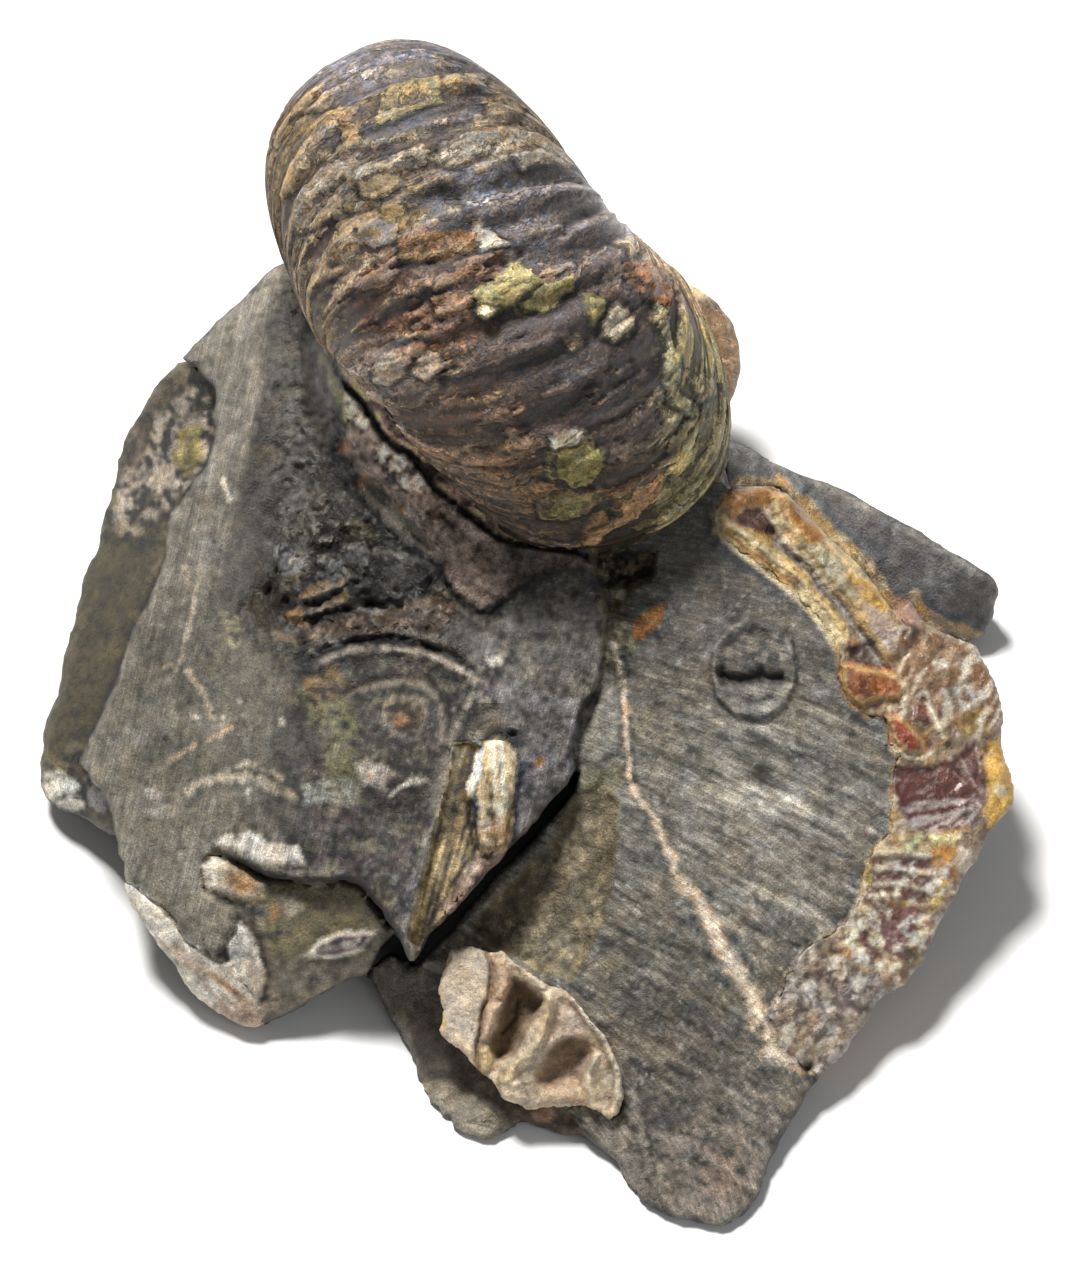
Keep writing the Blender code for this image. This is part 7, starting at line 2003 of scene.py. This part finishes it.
# ochre and pale streaks of the upper half, each with a line of painted shadow below it
for k, (pts, c_) in enumerate((
        ([(300, 140), (325, 122), (350, 110), (400, 96), (430, 90), (478, 86)], OCHR),
        ([(290, 175), (320, 158), (360, 146), (410, 138), (460, 130), (520, 112)], BUFF),
        ([(285, 215), (320, 190), (360, 176), (420, 160), (480, 152), (540, 140)], PALEB),
        ([(330, 262), (350, 245), (380, 232), (420, 215), (450, 206)], OCHR),
        ([(300, 280), (315, 262), (345, 240), (380, 222)], BUFF),
        ([(320, 100), (350, 84), (400, 70), (450, 64)], BUFF),
        ([(410, 230), (440, 214), (470, 205), (500, 205)], PALEB),
        ([(470, 172), (510, 160), (545, 156), (575, 162)], PALEB),
        ([(340, 300), (352, 280), (372, 262)], BUFF))):
    band_line(pts, c_, 5.0, 0.75, 0.28, 0.28)
    band_line([(x + 2, y + 8) for x, y in pts], (0.120, 0.070, 0.040), 4.0, 0.5, -0.1, 0.3)

ab = sample(AB, PXc, PYc) * seen
cb = sample(CB, PXc, PYc)
hb = sample(HB, PXc, PYc) * seen_h
gb = sample(GB, PXc, PYc)
ok = sample(AB, PXc, PYc) > 0.02
cb = np.where(ok[..., None], cb / np.maximum(sample(AB, PXc, PYc), 0.02)[..., None], col)
col = blendc(col, cb * 0.72, ab)
kb = sample(KB, PXc, PYc)
crust = blendc(crust, cb * (1.12 - 0.9 * np.clip(kb - 0.62, 0, 1))[..., None], ab)
glo = glo * (1 - ab) + gb * ab
cover = cover * (1 - ab) + kb * ab
navel = step(0.16, 0.0, CC)
col = blendc(col, np.array([0.085, 0.068, 0.045]), navel * 0.6)
crust = blendc(crust, np.array([0.130, 0.105, 0.070]), navel * 0.6)
# painted shade and light: darker on the coil's upper part, where the key light falls hardest, and lighter lower down; a
# brighter patch at the upper right is painted sheen
painted_shade_sheen = np.interp(PYc, (60, 130, 200, 300, 420, 480), (0.78, 0.68, 0.66, 0.84, 1.0, 1.05))
painted_shade_sheen = 1 + (painted_shade_sheen - 1) * step(640, 560, PXc + 0.4 * (240 - PYc))
painted_shade_sheen = painted_shade_sheen * (1 + 0.55 * step(470, 510, PXc) * step(165, 190, PYc) * step(300, 262, PYc))
painted_shade_sheen = painted_shade_sheen * (1 + 0.22 * step(640, 680, PXc) * step(300, 340, PYc))
painted_shade_sheen = painted_shade_sheen * (1 - 0.20 * step(500, 540, PXc) * step(300, 330, PYc) * step(430, 400, PYc))
cool = 1 + np.stack([-0.03 * crown, 0 * crown, 0.08 * crown], -1)
col, crust = col * painted_shade_sheen[..., None] * cool, crust * painted_shade_sheen[..., None] * cool
upper = step(330, 180, PYc)[..., None]
col = col * (1 - upper * np.array([0.12, 0.10, 0.05]))
crust = crust * (1 - upper * np.array([0.12, 0.10, 0.05]))
dim = 1 - 0.16 * (step(440, 480, PXc) * step(590, 550, PXc) * step(320, 350, PYc) * step(450, 420, PYc))[..., None]
dim = dim * (1 - 0.12 * (step(650, 680, PXc) * step(400, 420, PYc))[..., None])
col, crust = col * dim, crust * dim
low_ = (1 - upper) * 0.12
col, crust = col * (1 + low_ * 0.7), crust * (1 + low_ * 0.7)
col = col + low_ * (col - col.mean(-1, keepdims=True))
crust = crust + low_ * (crust - crust.mean(-1, keepdims=True))
for A_ in (col, crust):
    soft_ = blurred(A_, 2)
    A_ += 0.7 * np.clip(A_ - soft_, -0.6 * soft_, 0.8 * soft_)
col, crust = np.clip(col, 0.006, 0.8), np.clip(crust, 0.008, 0.85)
Hh = Hh * (1 - 0.5 * gauss(facing, 0.28)) * 1.08
P2 = P + NRM * (Hh + hb)[..., None]
grain = np.stack([TT, arc, np.zeros_like(TT)], -1)
big = coil_object("coil_shell", P2, col, glo, grain, 0.35 + 0.4 * top * on_shell)
add_crust(big, crust, np.clip(cover, 0, 1))

# second coil behind it
SMALL_AT, SMALL_AXLE = (13.8, 29.2, -36.0), np.array((0.22, 0.10, 0.96))
th_s = np.radians(np.linspace(-215, 145, 260, endpoint=False))
ph_s = np.linspace(-math.pi / 2, math.pi / 2, 71)
Ps, THs, TTs, CCs, _ = coil_points(th_s, ph_s, 8.6 / 30.0, SMALL_AT, SMALL_AXLE, np.array([1.0, 0, 0]), 0.5, 6)
Ns = grid_normals(Ps)
ribs = 0.5 + 0.5 * np.cos(THs * 20 + 0.5 * TTs)
g1 = fbm3(Ps, 3.2, 131, 3)
g2 = fbm3(Ps, 0.9, 133, 3)
cs = np.zeros(THs.shape + (3,)) + np.array([0.210, 0.140, 0.088])
cs = blendc(cs, (0.290, 0.220, 0.150), step(0.0, 0.35, g1) * 0.7)
cs = blendc(cs, (0.110, 0.070, 0.042), step(0.05, 0.35, -g1) * 0.7)
pxs, pys, _ = view(Ps)
cs = blendc(cs, (0.400, 0.360, 0.290), step(305, 290, pys + 6 * g2) * 0.8)
# painted shadow beneath the cream lip at the top
cs = blendc(cs, (0.060, 0.048, 0.036), gauss(pys - 306 - 5 * g2, 5) * 0.7)
cs = blendc(cs, (0.420, 0.370, 0.270), step(303, 292, pys + 3 * g2) * 0.9)
cs = np.clip(cs * np.array((1.30, 1.18, 1.0)) * (1 + 0.25 * g2)[..., None], 0.01, 0.8)
cs2 = np.clip(cs * 1.5 + 0.01, 0.01, 0.8)
Ps2 = Ps + Ns * (0.10 * ribs * CCs + 0.25 * g1 + 0.10 * g2)[..., None]
small = coil_object("small_coil_shell", Ps2, cs, np.full(THs.shape, 0.5), np.stack([TTs, THs * 8.6, 0 * TTs], -1),
                    np.full(THs.shape, 0.3))
add_crust(small, cs2, 0.42 + 0 * THs)


# ------------------------------------------------------------------ materials
def material(name, fine=0.5, coarse_bump=0.10, fine_bump=0.035, contrast=0.5, grit_size=0.35, gloss_shift=0.0,
             streak=0.5, specular=0.5, coat=0.0, hue=0.35, flecks=0.35, chips=0.0):
    """Painted tint broken up by grain of three sizes, fine saw lines along one direction, and grit."""
    m = bpy.data.materials.new(name)
    m.use_nodes = True
    nt = m.node_tree
    N, L = nt.nodes, nt.links
    bsdf = N["Principled BSDF"]
    bsdf.inputs["Specular IOR Level"].default_value = specular
    bsdf.inputs["Coat Weight"].default_value = coat
    bsdf.inputs["Coat Roughness"].default_value = 0.2

    def attr(a):
        n = N.new("ShaderNodeAttribute")
        n.attribute_name = a
        return n

    def math_(op, a, b=None, c=None, clamp=False):
        n = N.new("ShaderNodeMath")
        n.operation = op
        n.use_clamp = clamp
        for i, v in enumerate((a, b, c)):
            if v is None:
                continue
            if isinstance(v, (int, float)):
                n.inputs[i].default_value = v
            else:
                L.new(v, n.inputs[i])
        return n.outputs[0]

    co = N.new("ShaderNodeTexCoord")
    mm = N.new("ShaderNodeVectorMath")
    mm.operation = 'SCALE'
    mm.inputs["Scale"].default_value = 1000.0
    L.new(co.outputs["Object"], mm.inputs[0])

    def noise(vec, scale, detail, roughness=0.6, distortion=0.0):
        n = N.new("ShaderNodeTexNoise")
        n.inputs["Scale"].default_value = scale
        n.inputs["Detail"].default_value = detail
        n.inputs["Roughness"].default_value = roughness
        n.inputs["Distortion"].default_value = distortion
        L.new(vec, n.inputs["Vector"])
        return n.outputs["Fac"]

    n1 = noise(mm.outputs[0], 0.45, 4.0)
    n1b = noise(mm.outputs[0], 1.15, 4.0, 0.62, 0.4)
    n2 = noise(mm.outputs[0], 1.0 / grit_size, 5.0, 0.65)
    n3 = noise(mm.outputs[0], 7.0, 3.0, 0.7)
    nh = noise(mm.outputs[0], 0.35, 4.0, 0.6, 0.6)
    ns = noise(mm.outputs[0], 2.1, 2.0, 0.5)
    gr = attr("grain")
    st = N.new("ShaderNodeMapping")
    st.inputs["Scale"].default_value = (0.22, 2.2, 1.0)
    L.new(gr.outputs["Vector"], st.inputs["Vector"])
    n4 = noise(st.outputs[0], 1.0, 5.0, 0.7, 0.9)
    fin = attr("finish")
    sep = N.new("ShaderNodeSeparateXYZ")
    L.new(fin.outputs["Vector"], sep.inputs[0])

    # value = exp(contrast * weighted noises)
    a = math_('MULTIPLY', math_('SUBTRACT', n1, 0.5), 0.4)
    b = math_('MULTIPLY', math_('SUBTRACT', n2, 0.5), 1.15)
    b = math_('MULTIPLY_ADD', math_('SUBTRACT', n1b, 0.5), 0.25, b)
    c = math_('MULTIPLY', math_('SUBTRACT', n3, 0.5), 1.6)
    st2 = N.new("ShaderNodeMapping")
    st2.inputs["Scale"].default_value = (0.30, 5.2, 1.0)
    L.new(gr.outputs["Vector"], st2.inputs["Vector"])
    n5 = noise(st2.outputs[0], 1.0, 3.0, 0.6, 0.4)
    d = math_('MULTIPLY', math_('SUBTRACT', n4, 0.5), 1.0 * streak)
    d = math_('MULTIPLY_ADD', math_('SUBTRACT', n5, 0.5), 1.25 * streak, d)
    d = math_('MULTIPLY', d, sep.outputs[1])
    tot = math_('ADD', math_('ADD', a, b), math_('ADD', c, d))
    val = math_('POWER', 2.718, math_('MULTIPLY', tot, contrast))
    # pale flecks and dark pits
    fleck = math_('MULTIPLY', math_('SUBTRACT', ns, 0.66), 14.0, clamp=True)
    pit = math_('MULTIPLY', math_('SUBTRACT', 0.36, ns), 12.0, clamp=True)
    val = math_('MULTIPLY_ADD', fleck, flecks, val)
    val = math_('MULTIPLY', val, math_('MULTIPLY_ADD', pit, -0.45, 1.0))
    chip_h = None
    if chips:
        for size, part_, seed_ in ((2.6, 1.0, 0.0), (1.15, 0.75, 31.0)):
            pv = N.new("ShaderNodeVectorMath")
            pv.operation = 'SCALE'
            pv.inputs["Scale"].default_value = 1.0 / size
            L.new(mm.outputs[0], pv.inputs[0])
            wv = N.new("ShaderNodeVectorMath")
            wv.operation = 'ADD'
            L.new(pv.outputs[0], wv.inputs[0])
            shift_ = N.new("ShaderNodeCombineXYZ")
            L.new(math_('MULTIPLY_ADD', n1b, 1.3, seed_), shift_.inputs[0])
            L.new(math_('MULTIPLY', n2, 0.35), shift_.inputs[1])
            L.new(math_('MULTIPLY', n1b, -0.9), shift_.inputs[2])
            L.new(shift_.outputs[0], wv.inputs[1])
            vo = N.new("ShaderNodeTexVoronoi")
            vo.inputs["Scale"].default_value = 1.0
            L.new(wv.outputs[0], vo.inputs["Vector"])
            dv = N.new("ShaderNodeVectorMath")
            dv.operation = 'SUBTRACT'
            L.new(wv.outputs[0], dv.inputs[0])
            L.new(vo.outputs["Position"], dv.inputs[1])
            tv = N.new("ShaderNodeVectorMath")
            tv.operation = 'SUBTRACT'
            L.new(vo.outputs["Color"], tv.inputs[0])
            tv.inputs[1].default_value = (0.5, 0.5, 0.5)
            dt = N.new("ShaderNodeVectorMath")
            dt.operation = 'DOT_PRODUCT'
            L.new(dv.outputs[0], dt.inputs[0])
            L.new(tv.outputs[0], dt.inputs[1])
            hh = math_('MULTIPLY', math_('MULTIPLY', dt.outputs["Value"], size * part_ * chips), sep.outputs[2])
            chip_h = hh if chip_h is None else math_('ADD', chip_h, hh)
            sx = N.new("ShaderNodeSeparateXYZ")
            L.new(tv.outputs[0], sx.inputs[0])
            val = math_('MULTIPLY', val, math_('MULTIPLY_ADD', math_('MULTIPLY', sx.outputs[0], sep.outputs[2]), 0.9 * part_, 1.0))
    val = math_('MINIMUM', val, 2.6)
    tn = attr("tint")
    sc = N.new("ShaderNodeVectorMath")
    sc.operation = 'SCALE'
    L.new(tn.outputs["Color"], sc.inputs[0])
    L.new(val, sc.inputs["Scale"])
    # hue wanders between warm and cool
    hs = math_('MULTIPLY', math_('SUBTRACT', nh, 0.5), hue)
    cv = N.new("ShaderNodeCombineXYZ")
    L.new(math_('MULTIPLY_ADD', hs, 1.0, 1.0), cv.inputs[0])
    L.new(math_('MULTIPLY_ADD', hs, 0.15, 1.0), cv.inputs[1])
    L.new(math_('MULTIPLY_ADD', hs, -1.5, 1.0), cv.inputs[2])
    mu = N.new("ShaderNodeVectorMath")
    mu.operation = 'MULTIPLY'
    L.new(sc.outputs[0], mu.inputs[0])
    L.new(cv.outputs[0], mu.inputs[1])
    L.new(mu.outputs[0], bsdf.inputs["Base Color"])
    r = math_('MULTIPLY_ADD', math_('SUBTRACT', n2, 0.5), 0.5, math_('ADD', sep.outputs[0], gloss_shift))
    r = math_('MINIMUM', math_('MAXIMUM', r, 0.08), 1.0)
    L.new(r, bsdf.inputs["Roughness"])
    # relief
    h = math_('MULTIPLY_ADD', n2, coarse_bump, math_('MULTIPLY', n3, fine_bump))
    h = math_('MULTIPLY_ADD', math_('MULTIPLY', n4, sep.outputs[1]), 0.05 * streak * 2, h)
    h = math_('MULTIPLY_ADD', math_('MULTIPLY', n5, sep.outputs[1]), 0.05 * streak, h)
    if chip_h is not None:
        h = math_('ADD', h, chip_h)
    bump = N.new("ShaderNodeBump")
    bump.inputs["Strength"].default_value = 1.0
    bump.inputs["Distance"].default_value = 0.001
    L.new(h, bump.inputs["Height"])
    L.new(bump.outputs[0], bsdf.inputs["Normal"])
    return m


def flaky(name, long_=5.0, short=2.2, contrast=1.5, bump_mm=0.10, hue=1.1, pale=1.45):
    """Shell peeled off in flakes: mould colour, crust over it, a paler layer over that, edges in shadow."""
    m = bpy.data.materials.new(name)
    m.use_nodes = True
    nt = m.node_tree
    N, L = nt.nodes, nt.links
    bsdf = N["Principled BSDF"]

    def put(v, sock):
        if isinstance(v, (int, float)):
            sock.default_value = v
        elif isinstance(v, tuple):
            sock.default_value = v
        else:
            L.new(v, sock)

    def math_(op, a, b=None, c=None, clamp=False):
        n = N.new("ShaderNodeMath")
        n.operation = op
        n.use_clamp = clamp
        for i, v in enumerate((a, b, c)):
            if v is not None:
                put(v, n.inputs[i])
        return n.outputs[0]

    def vmath(op, a, b=None, scale=None):
        n = N.new("ShaderNodeVectorMath")
        n.operation = op
        put(a, n.inputs[0])
        if b is not None:
            put(b, n.inputs[1])
        if scale is not None:
            put(scale, n.inputs["Scale"])
        return n.outputs[0]

    def noise(vec, scale, detail, roughness=0.6, distortion=0.0):
        n = N.new("ShaderNodeTexNoise")
        n.inputs["Scale"].default_value = scale
        n.inputs["Detail"].default_value = detail
        n.inputs["Roughness"].default_value = roughness
        n.inputs["Distortion"].default_value = distortion
        L.new(vec, n.inputs["Vector"])
        return n.outputs["Fac"]

    def attr(a):
        n = N.new("ShaderNodeAttribute")
        n.attribute_name = a
        return n

    def mix(f, a, b):
        return vmath('ADD', vmath('SCALE', a, scale=math_('SUBTRACT', 1.0, f)), vmath('SCALE', b, scale=f))

    co = N.new("ShaderNodeTexCoord")
    obj = vmath('SCALE', co.outputs["Object"], scale=1000.0)
    gr = attr("grain").outputs["Vector"]
    fin = N.new("ShaderNodeSeparateXYZ")
    L.new(attr("finish").outputs["Vector"], fin.inputs[0])
    tint_ = attr("tint").outputs["Color"]
    cr = attr("crust")
    warp = N.new("ShaderNodeCombineXYZ")
    L.new(math_('MULTIPLY', math_('SUBTRACT', noise(obj, 0.30, 3.0), 0.5), 5.0), warp.inputs[0])
    L.new(math_('MULTIPLY', math_('SUBTRACT', noise(obj, 0.42, 3.0), 0.5), 3.6), warp.inputs[1])
    g = vmath('ADD', gr, warp.outputs[0])
    g1 = vmath('MULTIPLY', g, (1.0 / long_, 1.0 / short, 1.0))
    g2 = vmath('MULTIPLY', g, (1.0 / (0.45 * long_), 1.0 / (0.5 * short), 1.0))
    A = noise(g1, 1.0, 6.0, 0.62, 0.3)
    B = noise(g2, 1.0, 5.0, 0.6, 0.3)
    Cn = noise(obj, 1.3, 4.0, 0.6)
    M = math_('ADD', math_('MULTIPLY', A, 0.50), math_('MULTIPLY_ADD', B, 0.30, math_('MULTIPLY', Cn, 0.20)))
    t = math_('MULTIPLY_ADD', cr.outputs["Alpha"], -0.36, 0.68)
    e = math_('SUBTRACT', M, t)
    on1 = math_('MULTIPLY_ADD', e, 90.0, 0.5, clamp=True)
    sh1 = math_('SUBTRACT', 1.0, math_('MULTIPLY', math_('ABSOLUTE', math_('ADD', e, 0.012)), 95.0), clamp=True)
    M2 = math_('ADD', math_('MULTIPLY', noise(vmath('ADD', g1, (13.0, 7.0, 0.0)), 1.2, 6.0, 0.62, 0.3), 0.55),
               math_('MULTIPLY', noise(vmath('ADD', g2, (5.0, 3.0, 0.0)), 1.1, 5.0), 0.45))
    e2 = math_('SUBTRACT', M2, math_('ADD', t, 0.045))
    on2 = math_('MULTIPLY', math_('MULTIPLY_ADD', e2, 90.0, 0.5, clamp=True), on1)
    sh2 = math_('MULTIPLY', math_('SUBTRACT', 1.0, math_('MULTIPLY', math_('ABSOLUTE', math_('ADD', e2, 0.012)), 95.0), clamp=True), on1)
    c1 = mix(on1, tint_, cr.outputs["Color"])
    c2 = mix(math_('MULTIPLY', on2, 0.75), c1, vmath('ADD', vmath('SCALE', cr.outputs["Color"], scale=pale), (0.02, 0.018, 0.015)))
    dark = math_('MULTIPLY_ADD', math_('MAXIMUM', sh1, sh2), -0.55, 1.0)
    n2 = noise(obj, 3.2, 5.0, 0.65)
    n3 = noise(obj, 7.0, 3.0, 0.7)
    nb = noise(obj, 1.1, 4.0, 0.62, 0.4)
    ln = N.new("ShaderNodeMapping")
    ln.inputs["Scale"].default_value = (0.14, 2.2, 1.0)
    L.new(g, ln.inputs["Vector"])
    n4 = noise(ln.outputs[0], 1.0, 4.0, 0.65)
    tot = math_('ADD', math_('MULTIPLY', math_('SUBTRACT', n2, 0.5), 1.3), math_('MULTIPLY', math_('SUBTRACT', n3, 0.5), 0.9))
    tot = math_('MULTIPLY_ADD', math_('SUBTRACT', nb, 0.5), 1.1, tot)
    tot = math_('MULTIPLY_ADD', math_('SUBTRACT', n4, 0.5), 1.4, tot)
    val = math_('MULTIPLY', math_('POWER', 2.718, math_('MULTIPLY', tot, contrast)), dark)
    hs = math_('MULTIPLY', math_('SUBTRACT', noise(obj, 0.9, 5.0, 0.7, 0.6), 0.5), hue)
    cv = N.new("ShaderNodeCombineXYZ")
    L.new(math_('MULTIPLY_ADD', hs, 1.0, 1.0), cv.inputs[0])
    L.new(math_('MULTIPLY_ADD', hs, 0.1, 1.0), cv.inputs[1])
    L.new(math_('MULTIPLY_ADD', hs, -1.4, 1.0), cv.inputs[2])
    L.new(vmath('MULTIPLY', vmath('SCALE', c2, scale=val), cv.outputs[0]), bsdf.inputs["Base Color"])
    r = math_('MULTIPLY_ADD', on1, 0.10, math_('MULTIPLY_ADD', math_('SUBTRACT', n2, 0.5), 0.6, fin.outputs[0]))
    L.new(math_('MINIMUM', math_('MAXIMUM', r, 0.12), 1.0), bsdf.inputs["Roughness"])
    h = math_('ADD', math_('MULTIPLY', on1, bump_mm), math_('MULTIPLY', on2, bump_mm))
    h = math_('MULTIPLY_ADD', n2, 0.12, h)
    h = math_('MULTIPLY_ADD', n3, 0.03, h)
    h = math_('MULTIPLY_ADD', n4, 0.11, h)
    bump = N.new("ShaderNodeBump")
    bump.inputs["Strength"].default_value = 1.0
    bump.inputs["Distance"].default_value = 0.001
    L.new(h, bump.inputs["Height"])
    L.new(bump.outputs[0], bsdf.inputs["Normal"])
    return m


STONE = material("grey_limestone", contrast=1.45, coarse_bump=0.20, fine_bump=0.06, streak=1.0, grit_size=0.26, chips=0.8)
SHELL = flaky("brown_shell", 5.5, 1.8, 2.0, 0.12, 1.1, 1.55)
TAN = flaky("tan_shell", 2.5, 2.0, 1.3, 0.06)
AMBER = material("amber_calcite", contrast=1.0, coarse_bump=0.12, fine_bump=0.03, gloss_shift=-0.16, streak=0.3, specular=0.6, hue=0.45, flecks=0.12, chips=0.45)
CREAMY = material("cream_shell", contrast=1.1, coarse_bump=0.20, fine_bump=0.06, streak=0.0, hue=0.4, flecks=0.1)
FIBRE = material("fibrous_calcite", contrast=1.6, coarse_bump=0.15, fine_bump=0.05, gloss_shift=-0.08, streak=0.6)
PALESH = material("pale_shell", contrast=1.4, coarse_bump=0.15, fine_bump=0.05, streak=0.6)

for ob, mat, nodes, slot in ((halves[0], STONE, "matrix", "grey_limestone"), (halves[1], STONE, "matrix", "grey_limestone"),
                             (halves[2], STONE, "matrix", "grey_limestone"),
                             (rim, AMBER, "calcite_rim", "amber_calcite"), (cham, CREAMY, "chambered_shell", "cream_shell"),
                             (splinter, FIBRE, "shell_splinter", "fibrous_calcite"), (band, PALESH, "shell_band", "pale_shell"),
                             (big, SHELL, "ammonite", "brown_shell"), (small, TAN, "small_ammonite", "tan_shell")):
    ob.data.materials.append(mat)
    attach(ob, "root")
    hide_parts(nodes)

# ------------------------------------------------------------------ floor, light, camera
me = bpy.data.meshes.new("floor")
me.from_pydata([(-1.5, -1.5, 0), (1.5, -1.5, 0), (1.5, 1.5, 0), (-1.5, 1.5, 0)], [], [(0, 1, 2, 3)])
floor = bpy.data.objects.new("floor", me)
bpy.context.scene.collection.objects.link(floor)
fm = bpy.data.materials.new("floor")
fm.use_nodes = True
fb = fm.node_tree.nodes["Principled BSDF"]
fb.inputs["Base Color"].default_value = (0.86, 0.86, 0.855, 1)
fb.inputs["Roughness"].default_value = 0.9
me.materials.append(fm)

w = bpy.data.worlds.new("studio")
bpy.context.scene.world = w
w.use_nodes = True
bg = w.node_tree.nodes["Background"]
bg.inputs["Color"].default_value = (0.95, 0.97, 1.0, 1)
bg.inputs["Strength"].default_value = 0.175


def area(name, at, look, size, power, colour=(1, 1, 1)):
    d = bpy.data.lights.new(name, 'AREA')
    d.shape = 'RECTANGLE'
    d.size, d.size_y = size
    d.energy = power
    d.color = colour
    o = bpy.data.objects.new(name, d)
    bpy.context.scene.collection.objects.link(o)
    o.location = at
    o.rotation_euler = (Vector(look) - Vector(at)).to_track_quat('-Z', 'Y').to_euler()
    return o


area("key", (-0.13, 0.17, 0.61), (0, 0, 0.03), (0.13, 0.13), 6.6, (1.0, 0.985, 0.96))
area("fill", (0.42, -0.42, 0.40), (0, 0, 0.03), (0.4, 0.4), 0.7, (0.97, 0.98, 1.0))

cam = bpy.data.cameras.new("camera")
cam.sensor_width = 36.0
cam.lens = 36.0 * DIST / 127.5
cam.dof.use_dof = False
cam.clip_start, cam.clip_end = 0.01, 10.0
cam_ob = bpy.data.objects.new("camera", cam)
bpy.context.scene.collection.objects.link(cam_ob)
M = Matrix((Vector(AU), Vector(AV), Vector(AW))).transposed().to_4x4()
cam_ob.matrix_world = Matrix.Translation(Vector(to_row(TARGET + DIST * AW))) @ M
bpy.context.scene.camera = cam_ob
bpy.context.scene.view_settings.view_transform = 'Standard'
bpy.context.scene.view_settings.look = 'None'
